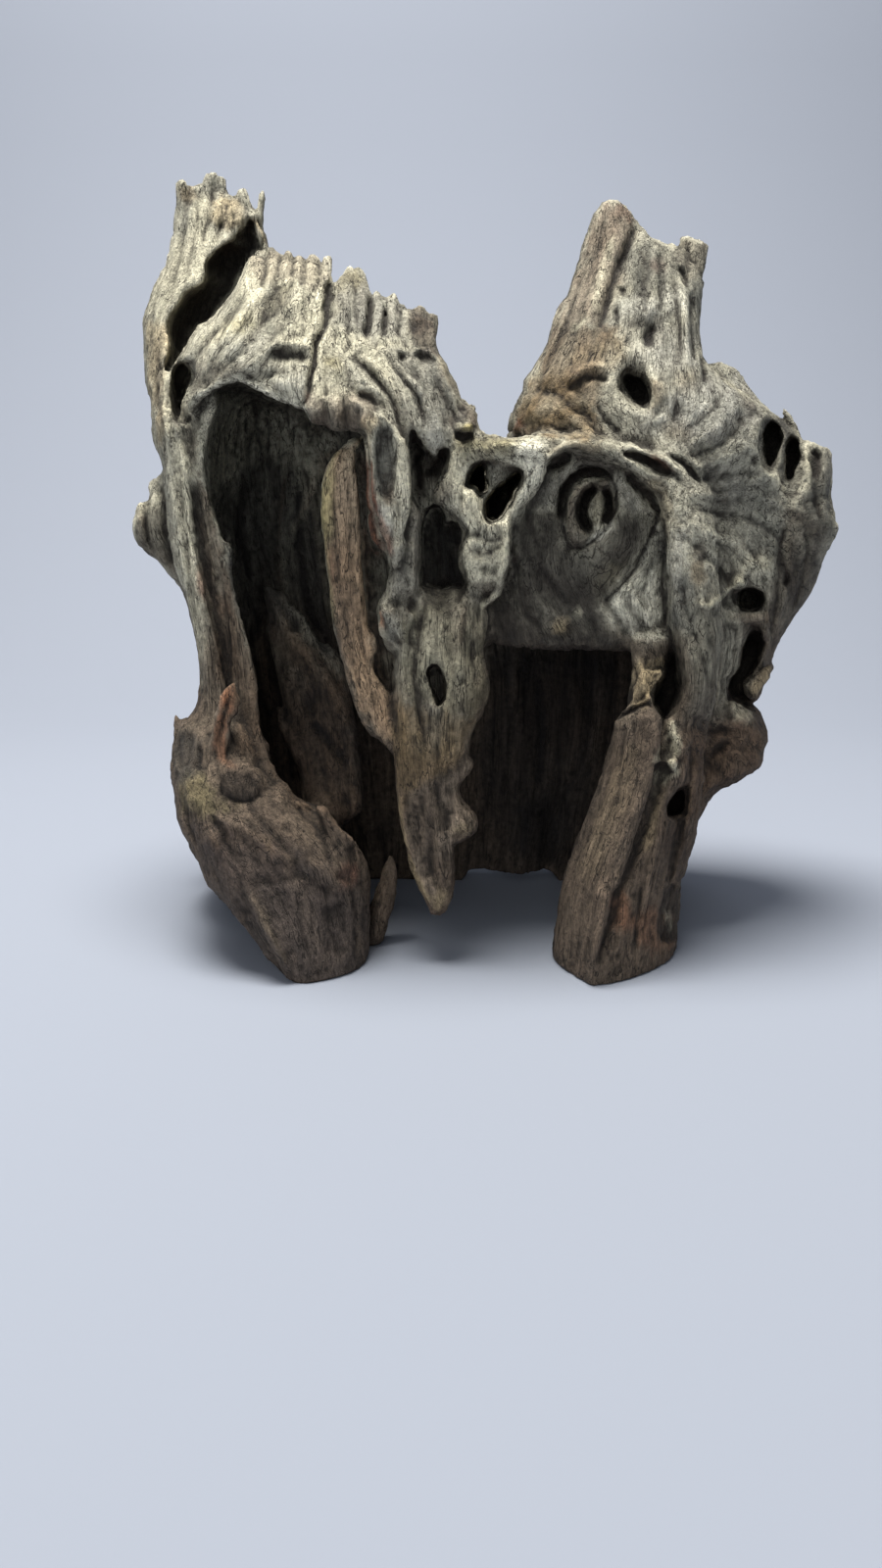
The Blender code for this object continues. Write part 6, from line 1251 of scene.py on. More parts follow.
def brush(points, reach, closed=False):
    """Distance to a curve, and the share of its length passed, in the grid window round it: (window, distance, share)."""
    p = dense(points)
    if closed:
        p = np.concatenate([p, p[:1]])
    x0, y0 = np.floor(p.min(0) - reach).astype(int)
    x1, y1 = np.ceil(p.max(0) + reach).astype(int)
    x0, y0, x1, y1 = max(x0, 0), max(y0, 0), min(x1, GRID_W - 1), min(y1, GRID_H - 1)
    if x1 <= x0 or y1 <= y0:
        return None
    best = np.full((y1 - y0 + 1, x1 - x0 + 1), 1e9, np.float32)
    share = np.zeros_like(best)
    seg = np.linalg.norm(np.diff(p, axis=0), axis=1)
    run = np.concatenate([[0], np.cumsum(seg)])
    for i in range(len(p) - 1):
        a, d, n = p[i], p[i + 1] - p[i], seg[i]
        if n < 1e-6:
            continue
        lo = np.floor(np.minimum(a, a + d) - reach).astype(int)
        hi = np.ceil(np.maximum(a, a + d) + reach).astype(int)
        lx, ly, hx, hy = max(lo[0], x0), max(lo[1], y0), min(hi[0], x1), min(hi[1], y1)
        if hx < lx or hy < ly:
            continue
        gx = np.arange(lx, hx + 1, dtype=np.float32)[None, :] - a[0]
        gy = np.arange(ly, hy + 1, dtype=np.float32)[:, None] - a[1]
        t = np.clip((gx * d[0] + gy * d[1]) / (n * n), 0, 1)
        dist = np.sqrt((gx - t * d[0]) ** 2 + (gy - t * d[1]) ** 2)
        w = (slice(ly - y0, hy - y0 + 1), slice(lx - x0, hx - x0 + 1))
        closer = dist < best[w]
        best[w] = np.where(closer, dist, best[w])
        share[w] = np.where(closer, (run[i] + t * n) / run[-1], share[w])
    return (slice(y0, y1 + 1), slice(x0, x1 + 1)), best, share, run[-1]


def draw(sheet, points, half, amount, ends=0.22, sharp=2.0, mode="add"):
    """Draws a tapering line: amount in its middle, falling to nothing at half its width times 1."""
    got = brush(points, half * 1.05 + 2)
    if got is None:
        return
    w, dist, share, length = got
    taper = np.ones_like(share)
    if ends > 0:
        taper = np.clip(np.minimum(share, 1 - share) / ends, 0, 1)
        taper = np.sqrt(taper * (2 - taper))
    width = np.maximum(half * (0.35 + 0.65 * taper), 1.0)
    line = np.clip(1 - (dist / width) ** sharp, 0, 1) * (0.25 + 0.75 * taper)
    if mode == "add":
        sheet[w] += amount * line
    else:
        sheet[w] = np.maximum(sheet[w], amount * line)


def spot(sheet, x, y, rx, ry, angle, amount, edge=2.0, mode="add"):
    """Draws an oval: amount in the middle, falling to nothing at its edge."""
    r = max(rx, ry) * 1.05 + 1
    x0, x1, y0, y1 = max(int(x - r), 0), min(int(x + r) + 1, GRID_W - 1), max(int(y - r), 0), min(int(y + r) + 1, GRID_H - 1)
    gx = np.arange(x0, x1 + 1, dtype=np.float32)[None, :] - x
    gy = np.arange(y0, y1 + 1, dtype=np.float32)[:, None] - y
    c, s = math.cos(math.radians(angle)), math.sin(math.radians(angle))
    d = np.sqrt(((gx * c + gy * s) / rx) ** 2 + ((-gx * s + gy * c) / ry) ** 2)
    v = np.clip(1 - d**edge, 0, 1)
    w = (slice(y0, y1 + 1), slice(x0, x1 + 1))
    if mode == "add":
        sheet[w] += amount * v
    else:
        sheet[w] = np.maximum(sheet[w], amount * v)


def region(polygon, reach=30.0):
    """Signed distance inside a closed outline, above 0 inside, in the window that holds it: (window, distance)."""
    p = np.asarray(polygon, float)
    x0, y0 = np.maximum(np.floor(p.min(0) - reach), 0).astype(int)
    x1, y1 = np.minimum(np.ceil(p.max(0) + reach), (GRID_W - 1, GRID_H - 1)).astype(int)
    sheet = np.full((y1 - y0 + 1, x1 - x0 + 1), reach, np.float32)
    inside = np.zeros(sheet.shape, bool)
    q = np.concatenate([p, p[:1]])
    for a, b in zip(q[:-1], q[1:]):
        d = b - a
        n = np.linalg.norm(d)
        if n < 1e-6:
            continue
        lo = np.maximum(np.floor(np.minimum(a, b) - reach), (x0, y0)).astype(int)
        hi = np.minimum(np.ceil(np.maximum(a, b) + reach), (x1, y1)).astype(int)
        if (hi < lo).any():
            continue
        gx = np.arange(lo[0], hi[0] + 1, dtype=np.float32)[None, :] - a[0]
        gy = np.arange(lo[1], hi[1] + 1, dtype=np.float32)[:, None] - a[1]
        t = np.clip((gx * d[0] + gy * d[1]) / (n * n), 0, 1)
        dist = np.sqrt((gx - t * d[0]) ** 2 + (gy - t * d[1]) ** 2)
        w = (slice(lo[1] - y0, hi[1] - y0 + 1), slice(lo[0] - x0, hi[0] - x0 + 1))
        sheet[w] = np.minimum(sheet[w], dist)
    xs = np.arange(x0, x1 + 1)
    a, b = q[:-1], q[1:]
    for y in range(max(int(p[:, 1].min()), y0), min(int(p[:, 1].max()) + 2, y1 + 1)):
        yy = y + 1e-3
        crosses = (a[:, 1] > yy) != (b[:, 1] > yy)
        if crosses.any():
            x = a[crosses, 0] + (yy - a[crosses, 1]) / (b[crosses, 1] - a[crosses, 1]) * (b[crosses, 0] - a[crosses, 0])
            inside[y - y0] = (np.searchsorted(np.sort(x), xs) % 2) == 1
    return (slice(y0, y1 + 1), slice(x0, x1 + 1)), np.where(inside, sheet, -sheet)


def area(polygon):
    """Signed distance inside a closed outline on the whole grid, in grid units, capped at 30."""
    sheet = np.full((GRID_H, GRID_W), -30.0, np.float32)
    w, inside = region(polygon)
    sheet[w] = inside
    return sheet


def sample(sheet, gx, gy):
    """Values of a sheet at grid places."""
    x = np.clip(gx, 0, GRID_W - 1.001)
    y = np.clip(gy, 0, GRID_H - 1.001)
    ix, iy = x.astype(np.int32), y.astype(np.int32)
    fx, fy = (x - ix).astype(np.float32), (y - iy).astype(np.float32)
    return ((sheet[iy, ix] * (1 - fx) + sheet[iy, ix + 1] * fx) * (1 - fy)
            + (sheet[iy + 1, ix] * (1 - fx) + sheet[iy + 1, ix + 1] * fx) * fy)


def seen_depth(field, gap=2):
    """How far along each line of sight the first wood lies, on the whole grid."""
    xs = np.arange(100, GRID_W, gap)
    ys = np.arange(150, GRID_H, gap)
    gx, gy = (v.ravel() for v in np.meshgrid(xs, ys))
    u, v = (gx - GRID_CENTRE[0]) / GRID_FOCAL, (GRID_CENTRE[1] - gy) / GRID_FOCAL
    c, s = math.cos(SIGHT_PITCH), math.sin(SIGHT_PITCH)
    ray = np.stack([u, c + v * s, -s + v * c], 1)
    length = np.linalg.norm(ray, axis=1)
    t = np.full(len(ray), 0.44)
    found = np.full(len(ray), 9.0)
    alive = np.arange(len(ray))
    for _ in range(260):
        i = np.round((EYE + ray[alive] * t[alive, None]) / VOXEL).astype(int) - LOW
        ok = ((i >= 0) & (i < SIZE)).all(1)
        i = np.clip(i, 0, SIZE - 1)
        d = np.where(ok, field[i[:, 0], i[:, 1], i[:, 2]], FAR * 0.8)
        hit = d < 0.0003
        found[alive[hit]] = t[alive[hit]]
        t[alive] += np.maximum(d, 0.0006) / length[alive]
        alive = alive[~hit & (t[alive] < 0.80)]
        if not len(alive):
            break
    small = found.reshape(len(ys), len(xs)).astype(np.float32)
    full = np.full((GRID_H, GRID_W), 9.0, np.float32)
    iy = np.clip((np.arange(GRID_H) - ys[0] + gap // 2) // gap, 0, len(ys) - 1)
    ix = np.clip((np.arange(GRID_W) - xs[0] + gap // 2) // gap, 0, len(xs) - 1)
    full[:] = small[iy[:, None], ix[None, :]]
    return full


def near_voxels(field, reach):
    """Indices and places of the voxels near the wood's surface."""
    index = np.nonzero(np.abs(field) < reach)
    place = np.stack([(index[k] + LOW[k]) * VOXEL for k in range(3)], 1)
    return index, place


# ---- the surface --------------------------------------------------------------------------------------------------
def surface(field):
    """Quads on the field's zero level, only the largest connected skin."""
    grid = openvdb.FloatGrid(float(FAR))
    grid.transform = XFORM
    grid.copyFromArray(field, ijk=tuple(int(v) for v in LOW))
    points, quads = grid.convertToQuads(isovalue=0.0)
    points, quads = points.astype(np.float64), quads.astype(np.int64)
    label = np.arange(len(points))
    edges = np.concatenate([quads[:, [0, 1]], quads[:, [1, 2]], quads[:, [2, 3]]])
    while True:
        a, b = label[edges[:, 0]], label[edges[:, 1]]
        low, high = np.minimum(a, b), np.maximum(a, b)
        open_ = low != high
        if not open_.any():
            break
        np.minimum.at(label, high[open_], low[open_])
        while True:
            deeper = label[label]
            if (deeper == label).all():
                break
            label = deeper
    keep = label == np.bincount(label).argmax()
    quads = quads[keep[quads[:, 0]]]
    used = np.zeros(len(points), bool)
    used[quads.ravel()] = True
    index = np.cumsum(used) - 1
    points, quads = points[used], index[quads]
    a = points[quads]
    volume = np.einsum("ij,ij->i", a[:, 0], np.cross(a[:, 1], a[:, 2]) + np.cross(a[:, 2], a[:, 3])).sum() / 6
    if volume < 0:
        quads = quads[:, ::-1]
    return points, quads


class Skin:
    """A quad surface with what the shaping needs: neighbours, normals, smoothing."""

    def __init__(self, points, quads):
        self.p, self.quads, self.n = points, quads, len(points)
        e = np.concatenate([quads[:, [0, 1]], quads[:, [1, 2]], quads[:, [2, 3]], quads[:, [3, 0]]])
        e.sort(axis=1)
        key = np.unique(e[:, 0] * self.n + e[:, 1])
        self.edges = np.stack([key // self.n, key % self.n], 1)
        src = np.concatenate([self.edges[:, 0], self.edges[:, 1]])
        dst = np.concatenate([self.edges[:, 1], self.edges[:, 0]])
        order = np.argsort(src, kind="stable")
        src, dst = src[order], dst[order]
        self.count = np.bincount(src, minlength=self.n)
        start = np.concatenate([[0], np.cumsum(self.count)[:-1]])
        self.width = int(self.count.max())
        self.table = np.repeat(np.arange(self.n, dtype=np.int32)[:, None], self.width, 1)
        self.table[src, np.arange(len(src)) - start[src]] = dst
        self.pad = (self.width - self.count).astype(np.float32)

    def around(self, x):
        """Sum of the neighbours' values."""
        out = x[self.table[:, 0]].copy()
        for k in range(1, self.width):
            out += x[self.table[:, k]]
        return out - x * (self.pad[:, None] if x.ndim > 1 else self.pad)

    def mean(self, x, rounds=1, keep=0.0):
        x = x.astype(np.float32)
        count = (self.count[:, None] if x.ndim > 1 else self.count).astype(np.float32)
        for _ in range(rounds):
            x = keep * x + (1 - keep) * self.around(x) / count
        return x

    def normals(self):
        q = self.p[self.quads]
        face = np.cross(q[:, 2] - q[:, 0], q[:, 3] - q[:, 1])
        out = np.zeros((self.n, 3))
        for k in range(3):
            for c in range(4):
                out[:, k] += np.bincount(self.quads[:, c], weights=face[:, k], minlength=self.n)
        return out / np.maximum(np.linalg.norm(out, axis=1), 1e-20)[:, None]


def grain_frame(skin, normal, gx, gy, seen, directions):
    """Places along which nothing changes with the grain: 3 numbers a vertex, steady along the fibres."""
    # the way the fibres run, as an axis: on the front from the drawn curves, elsewhere up the stump with a slow swirl
    p = skin.p
    axis = np.stack([0.30 * noise(p / 0.11, 3) + 0.12 * noise(p / 0.035, 4),
                     0.30 * noise(p / 0.11, 5) + 0.12 * noise(p / 0.035, 6), np.ones(skin.n)], 1)
    axis -= normal * (axis * normal).sum(1)[:, None]
    ray = p - EYE
    ray /= np.linalg.norm(ray, axis=1)[:, None]
    dx, dy = sample(directions[0], gx, gy), sample(directions[1], gx, gy)
    turn = 0.5 * np.arctan2(dy, dx)
    across = np.stack([np.cos(turn), -np.sin(turn) * UPWARD[1], -np.sin(turn) * UPWARD[2]], 1)
    drawn = np.cross(normal, np.cross(ray, across))
    size = np.linalg.norm(drawn, axis=1)
    drawn /= np.maximum(size, 1e-6)[:, None]
    axis /= np.maximum(np.linalg.norm(axis, axis=1), 1e-3)[:, None]
    w = (seen * np.clip(size * 3, 0, 1))[:, None]
    pairs = ((0, 0), (0, 1), (0, 2), (1, 1), (1, 2), (2, 2))
    tensor = np.stack([(1 - w[:, 0]) * axis[:, a] * axis[:, b] * 0.5 + w[:, 0] * drawn[:, a] * drawn[:, b] for a, b in pairs], 1)
    tensor = skin.mean(tensor, 8, 0.2)
    tensor /= (tensor[:, 0] + tensor[:, 3] + tensor[:, 5] + 1e-6)[:, None]
    full = np.empty((skin.n, 3, 3), np.float32)
    for k, (a, b) in enumerate(pairs):
        full[:, a, b] = full[:, b, a] = tensor[:, k]
    # places stretched along the fibres: solve for the shift that takes the length out of them, first on coarse cells
    cell = np.floor(p / 0.0034).astype(np.int64)
    cell -= cell.min(0)
    span = cell.max(0) + 1
    _, inv = np.unique((cell[:, 0] * span[1] + cell[:, 1]) * span[2] + cell[:, 2], return_inverse=True)
    m = int(inv.max()) + 1
    members = np.bincount(inv, minlength=m).astype(np.float64)
    centre = np.stack([np.bincount(inv, weights=p[:, k], minlength=m) / members for k in range(3)], 1)
    cells = np.stack([np.bincount(inv, weights=tensor[:, k], minlength=m) / members for k in range(6)], 1)
    coarse = np.empty((m, 3, 3))
    for k, (a, b) in enumerate(pairs):
        coarse[:, a, b] = coarse[:, b, a] = cells[:, k]
    ea, eb = inv[skin.edges[:, 0]], inv[skin.edges[:, 1]]
    other = ea != eb
    key, weight = np.unique(np.minimum(ea, eb)[other] * m + np.maximum(ea, eb)[other], return_counts=True)
    ea, eb, weight = key // m, key % m, weight.astype(np.float64)
    want = -0.94 * np.einsum("eij,ej->ei", 0.5 * (coarse[ea] + coarse[eb]), centre[eb] - centre[ea]) * weight[:, None]
    diagonal = np.maximum(np.bincount(ea, weights=weight, minlength=m) + np.bincount(eb, weights=weight, minlength=m), 1.0)

    def apply(v):
        out = np.empty_like(v)
        for k in range(3):
            flow = weight * (v[ea, k] - v[eb, k])
            out[:, k] = np.bincount(ea, weights=flow, minlength=m) - np.bincount(eb, weights=flow, minlength=m)
        return out

    right = np.stack([np.bincount(eb, weights=want[:, k], minlength=m) - np.bincount(ea, weights=want[:, k], minlength=m)
                      for k in range(3)], 1)
    x = np.zeros((m, 3))
    x[:, 2] = -0.94 * centre[:, 2]
    x = descend(x, right, apply, diagonal[:, None], 260)
    x = x[inv] - 0.94 * np.einsum("eij,ej->ei", full.astype(np.float64), p - centre[inv])
    # then a few rounds on the surface itself
    e0, e1 = skin.edges[:, 0], skin.edges[:, 1]
    along = 0.5 * (full[e0] + full[e1])
    want = -0.94 * np.einsum("eij,ej->ei", along, (p[e1] - p[e0]).astype(np.float32))
    right = np.zeros((skin.n, 3), np.float32)
    for k in range(3):
        right[:, k] = np.bincount(e1, weights=want[:, k], minlength=skin.n) - np.bincount(e0, weights=want[:, k], minlength=skin.n)
    count = skin.count[:, None].astype(np.float32)
    x = descend(x.astype(np.float32), right, lambda v: count * v - skin.around(v), count, 14)
    return (p + x).astype(np.float32)


def descend(x, right, apply, diagonal, rounds):
    """Conjugate gradients, each column on its own."""
    r = right - apply(x)
    z = r / diagonal
    d = z.copy()
    rz = (r * z).sum(0)
    for _ in range(rounds):
        ad = apply(d)
        alpha = rz / np.maximum((d * ad).sum(0), 1e-24)
        x = x + alpha * d
        r = r - alpha * ad
        z = r / diagonal
        new = (r * z).sum(0)
        d = z + (new / np.maximum(rz, 1e-24)) * d
        rz = new
    return x


def furrows(q, wave, seed, narrow):
    """Narrow valleys that follow the grain: 1 in the valley, 0 elsewhere."""
    v = noise(q / wave, seed)
    return np.exp(-(v / narrow) ** 2)


# ---- colours ------------------------------------------------------------------------------------------------------
def light(*rgb):
    """Linear colour from display values."""
    c = np.array(rgb, float) / 255
    return np.where(c <= 0.04045, c / 12.92, ((c + 0.055) / 1.055) ** 2.4)


def mix(a, b, f):
    f = np.clip(f, 0, 1)[:, None]
    return a * (1 - f) + b * f


# ---- building -----------------------------------------------------------------------------------------------------
def build_field():
    wood = np.full(tuple(SIZE), FAR, np.float32)
    for power, stations in TRUNK.values():
        join(wood, distances(limb(power, stations)), 0.006)
    for foot in BACK_FEET:
        join(wood, distances(foot_rings(*foot)), 0.006)
    hollow = np.full(tuple(SIZE), FAR, np.float32)
    for power, stations in HOLLOW.values():
        join(hollow, distances(limb(power, stations)), 0.004)
    h = np.maximum(0.003 - np.abs(wood + hollow), 0) / 0.003
    h[(hollow > FAR * 0.97) | (wood < -FAR * 0.97)] = 0
    wood = np.maximum(wood, -hollow) + h * h * (0.003 / 4)
    del hollow
    say("trunk")
    for name, (power, stations) in FRONT.items():
        join(wood, distances(limb(power, stations)), SOFT.get(name, 0.0035))
    for t in TEETH:
        join(wood, distances(tooth(*t)), 0.0015)
    say("front")
    face = seen_depth(wood)
    for behind, thick, soft, outline in PLATES:
        w, inside = region(outline, 1.0)
        there = face[w][(inside > 0) & (face[w] < 0.75)]
        if len(there):
            way = math.cos(SIGHT_PITCH) + (GRID_CENTRE[1] - np.mean(outline, 0)[1]) / GRID_FOCAL * math.sin(SIGHT_PITCH)
            join(wood, distances(plate_rings(float(np.percentile(there, 35)) * way - SIGHT_BACK + behind, thick, outline)), soft)
    for front, back, outline in CUTS:
        carve(wood, distances(cut_rings(front, back, outline)), 0.0014)
    (cx, cy, cz), (sx, sy, sz) = BACK_GAP
    corner = np.array([(cx - sx / 2, cx + sx / 2), (cy - sy / 2, cy + sy / 2)])
    gap = []
    for k in np.linspace(-0.5, 0.5, 9):
        s = math.sqrt(max(1 - (2 * k) ** 6, 0.02))
        a = np.linspace(0, 2 * math.pi, 24, endpoint=False)
        gap.append(np.stack([np.full(24, cx + k * sx) + SHIFT[0], cy + SHIFT[1] + 0.5 * sy * np.cos(a),
                             cz + 0.5 * sz * s * np.sign(np.sin(a)) * np.abs(np.sin(a)) ** 0.6], 1))
    carve(wood, distances(np.array(gap)), 0.002)
    say("holes")
    return wood


def press(wood):
    """Trims the wood to its outline and presses the drawn lines into the side that faces the sighting point."""
    depth = seen_depth(wood)
    say("seen depth")
    relief = np.zeros((GRID_H, GRID_W), np.float32)
    for height, half, points in LINES:
        draw(relief, points, half, height)
    for height, x, y, rx, ry, turn in SPOTS:
        spot(relief, x, y, rx, ry, turn, height)
    for height, edge, outline in AREAS:
        w, inside = region(outline, edge + 2.0)
        relief[w] += height * step(-0.35 * edge, 0.65 * edge, inside)
    for front, back, outline in CUTS:
        w, inside = region(outline, 9.0)
        relief[w] -= 1.4 * step(-7.0, 1.0, inside)
    outline = area(OUTLINE)
    say("sheets")
    index, place = near_voxels(wood, FAR * 0.985)
    gx, gy, t = project(place)
    front = step(0.011, 0.005, t - sample(depth, gx, gy))
    value = wood[index] - 0.001 * sample(relief, gx, gy) * front
    edge = sample(outline, gx, gy) * (t / GRID_FOCAL).astype(np.float32)
    h = np.maximum(0.002 - np.abs(value + edge), 0) / 0.002
    h[edge > 0.012] = 0
    value = np.maximum(value, -edge) + h * h * 0.0005
    wood[index] = value
    say("pressed", len(value))
    z = ((np.arange(SIZE[2]) + LOW[2]) * VOXEL).astype(np.float32)
    np.maximum(wood, -z[None, None, :], out=wood)
    return wood


def paint_sheets():
    """How the front is weathered, with sheets of painted shade along pressed-in lines and round the holes and of
    painted highlight along raised lines, and its stains, painted shade and painted highlights laid over each other:
    (sheets, cover, red, green, blue).
    """
    sheets = {}
    for kind, strength, x, y, rx, ry, turn in PATCHES:
        sheet = sheets.setdefault(kind, np.zeros((GRID_H, GRID_W), np.float32))
        spot(sheet, x, y, rx, ry, turn, strength, 2.0, "max")
    sheets["groove"], sheets["raised"] = (np.zeros((GRID_H, GRID_W), np.float32) for _ in range(2))
    # pressed-in lines get painted shade, raised lines a painted highlight
    for height, half, points in LINES:
        draw(sheets["groove" if height < 0 else "raised"], points, 0.75 * half, min(abs(height) / 2.5, 1.0), mode="max")
    # a dark rim of painted shade round every hole
    for front, back, outline in CUTS:
        w, inside = region(outline, 9.0)
        sheets["groove"][w] = np.maximum(sheets["groove"][w], 0.9 * step(-6.0, 1.5, inside))
    xs, ys = (v.ravel().astype(np.float32) for v in np.meshgrid(np.arange(GRID_W), np.arange(GRID_H)))
    place = np.stack([xs, ys, 0 * xs], 1)
    ragged = (0.6 * noise(place / 9.0, 81) + 0.5 * noise(place / 3.8, 82)).reshape(GRID_H, GRID_W)
    stain = np.zeros((4, GRID_H, GRID_W), np.float32)

    def lay(kind, w, cover):
        colour = (1.0, *light(*STAINS[kind]))
        for k in range(4):
            stain[k][w] = stain[k][w] * (1 - cover) + colour[k] * cover

    for kind, strength, edge, outline in TONES:
        w, inside = region(outline, edge * 1.5 + 2.0)
        lay(kind, w, strength * step(-0.5 * edge, 0.5 * edge, inside + 0.9 * edge * ragged[w]))
    for kind, strength, half, points in STROKES:
        sheet = np.zeros((GRID_H, GRID_W), np.float32)
        draw(sheet, points, half, strength, mode="max")
        lay(kind, (slice(None), slice(None)), sheet)
    return sheets, stain


def directions():
    """The grain's way over the grid, as the cosine and sine of twice its angle, spread out from the drawn curves."""
    pts, way = [], []
    for curve in GRAIN:
        d = dense(curve, 8.0)
        pts.append((d[:-1] + d[1:]) / 2)
        v = np.diff(d, axis=0)
        a = 2 * np.arctan2(v[:, 1], v[:, 0])
        way.append(np.stack([np.cos(a), np.sin(a)], 1))
    pts, way = np.concatenate(pts), np.concatenate(way)
    xs, ys = np.arange(96, GRID_W, 6), np.arange(150, GRID_H, 6)
    gx, gy = (v.ravel().astype(np.float32) for v in np.meshgrid(xs, ys))
    w = 1.0 / (((gx[:, None] - pts[:, 0]) ** 2 + (gy[:, None] - pts[:, 1]) ** 2 + 30.0) ** 1.6)
    f = (w @ way) / w.sum(1, keepdims=True)
    f = f.reshape(len(ys), len(xs), 2)
    out = []
    ix = np.clip((np.arange(GRID_W) - xs[0]) / 6, 0, len(xs) - 1.001)
    iy = np.clip((np.arange(GRID_H) - ys[0]) / 6, 0, len(ys) - 1.001)
    jx, jy = ix.astype(int), iy.astype(int)
    fx, fy = (ix - jx)[None, :], (iy - jy)[:, None]
    for k in range(2):
        a = f[:, :, k]
        out.append(((a[jy][:, jx] * (1 - fx) + a[jy][:, jx + 1] * fx) * (1 - fy)
                    + (a[jy + 1][:, jx] * (1 - fx) + a[jy + 1][:, jx + 1] * fx) * fy).astype(np.float32))
    return out


def wood_mesh():
    wood = press(build_field())
    depth = seen_depth(wood)
    skin = Skin(*surface(wood))
    say("surface", skin.n, "vertices", skin.width)
    del wood
    flat = skin.p[:, 2] < 0.0004
    skin.p = skin.mean(skin.p, 2, 0.5).astype(np.float64)
    normal = skin.normals()
    gx, gy, t = project(skin.p)
    seen = step(0.007, 0.003, t - sample(depth, gx, gy)) * step(-0.15, 0.05, -((skin.p - EYE) / t[:, None] * normal).sum(1))
    seen = skin.mean(seen, 3)
    q = grain_frame(skin, normal, gx, gy, seen, directions())
    say("grain")

    p = skin.p
    sheets, stain = paint_sheets()
    spread = skin.mean(normal, 10)
    spread /= np.maximum(np.linalg.norm(spread, axis=1), 1e-6)[:, None]
    # outside and inside, from how open the place is to the outside of the stump
    middle = np.array([-0.005, 0.012, 0.0])
    outward = ((p - middle) * normal)[:, :2].sum(1)
    smooth_zone = sample(sheets["smooth"], gx, gy) * seen
    big = (1.1 * noise(p / 0.034, 21) + 0.6 * noise(p / 0.017, 22))
    furrow = furrows(q, 0.0105, 31, 0.10)
    furrow2 = furrows(q, 0.0060, 32, 0.11)
    furrow3 = furrows(q, 0.0038, 33, 0.13)
    ridge = 0.55 * noise(q / 0.0125, 34) + 0.30 * noise(q / 0.0062, 35) + 0.16 * noise(q / 0.0034, 36)
    back = 1 - seen
    gate = step(-0.35, 0.35, noise(p / 0.030, 37))
    pits = np.clip(noise(p / 0.0045, 38) - 0.25, 0, 1)
    depth_mm = (0.55 * big * (0.45 + 0.55 * back) + (0.42 + 1.5 * back) * ridge
                - (0.65 + 1.2 * back) * furrow * gate - (0.52 + 0.3 * back) * furrow2 * (1 - 0.4 * gate) - 0.38 * furrow3
                - 1.10 * pits + 0.32 * noise(p / 0.0030, 39))
    depth_mm *= 1 - 0.60 * smooth_zone
    depth_mm = np.where(flat, 0.0, depth_mm)
    calm = skin.mean(flat.astype(np.float32), 4)
    depth_mm *= 1 - np.clip(calm * 2, 0, 1)
    skin.p = p + 0.001 * depth_mm[:, None] * spread
    skin.p[:, 2] = np.maximum(skin.p[:, 2], 0.0)
    skin.p[flat, 2] = 0.0

    # how much a place stands out from or lies below what is round it
    normal = skin.normals()
    soft1 = skin.mean(skin.p, 6)
    soft2 = skin.mean(soft1, 30)
    fine = ((skin.p - soft1) * normal).sum(1) / 0.0005
    broad = ((skin.p - soft2) * normal).sum(1) / 0.0018
    pit = np.clip(-fine, 0, 1) * 0.6 + np.clip(-broad, 0, 1) * 0.6
    crest = np.clip(fine, 0, 1) * 0.5 + np.clip(broad, 0, 1) * 0.5
    say("shaped")

    z = p[:, 2]
    wander = noise(p / 0.05, 41) + 0.5 * noise(q / 0.012, 42)
    silver, grey, olive = light(208, 202, 178), light(150, 146, 130), light(130, 122, 98)
    brown, dark = light(96, 79, 65), light(40, 35, 31)
    tint = mix(np.repeat(silver[None], skin.n, 0), grey[None], 0.45 + 0.5 * noise(p / 0.028, 43) + 0.35 * noise(q / 0.009, 44))
    tint = mix(tint, olive[None], 0.35 * step(0.1, 0.7, noise(p / 0.045, 45)))
    browned = step(0.205, 0.105, z + 0.026 * wander) * 0.92
    inside = step(0.35, 0.75, sample(sheets["inside"], gx, gy)) * seen
    browned = np.maximum(browned, sample(sheets["brown"], gx, gy) * seen)
    browned *= 1 - sample(sheets["bleach"], gx, gy) * seen
    tint = mix(tint, brown[None], browned)
    cover, *stained = (sample(v, gx, gy) for v in stain)
    keep = np.clip(seen * (0.88 + 0.35 * noise(q / 0.006, 47)), 0, 1) * np.clip(cover, 1e-4, 1)
    tint = mix(tint, np.stack(stained, 1) / np.maximum(cover, 1e-4)[:, None], keep)
    # painted shade along pressed-in lines and round the holes
    tint = mix(tint, dark[None], 0.55 * sample(sheets["groove"], gx, gy) * seen)
    # painted highlight along raised lines
    tint *= (1 + 0.25 * sample(sheets["raised"], gx, gy) * seen)[:, None]
    # hollows of the surface darker, partly dirt in the grooves and partly painted shade; crests lighter, partly wear
    # and partly painted highlight
    tint = mix(tint, dark[None], np.clip(1.1 * pit, 0, 0.9))
    tint *= (1 + 0.30 * crest)[:, None]
    # the hollows painted darker and bluer: painted shade
    tint = mix(tint, light(40, 41, 45)[None], inside * 0.56 * (1 - 0.8 * keep))
    hidden = step(0.010, -0.020, outward) * (1 - seen) * 0.7
    tint = mix(tint, light(40, 36, 34)[None], hidden)
    tint = mix(tint, light(62, 48, 40)[None], np.where(normal[:, 2] < -0.6, 0.5, 0.0))

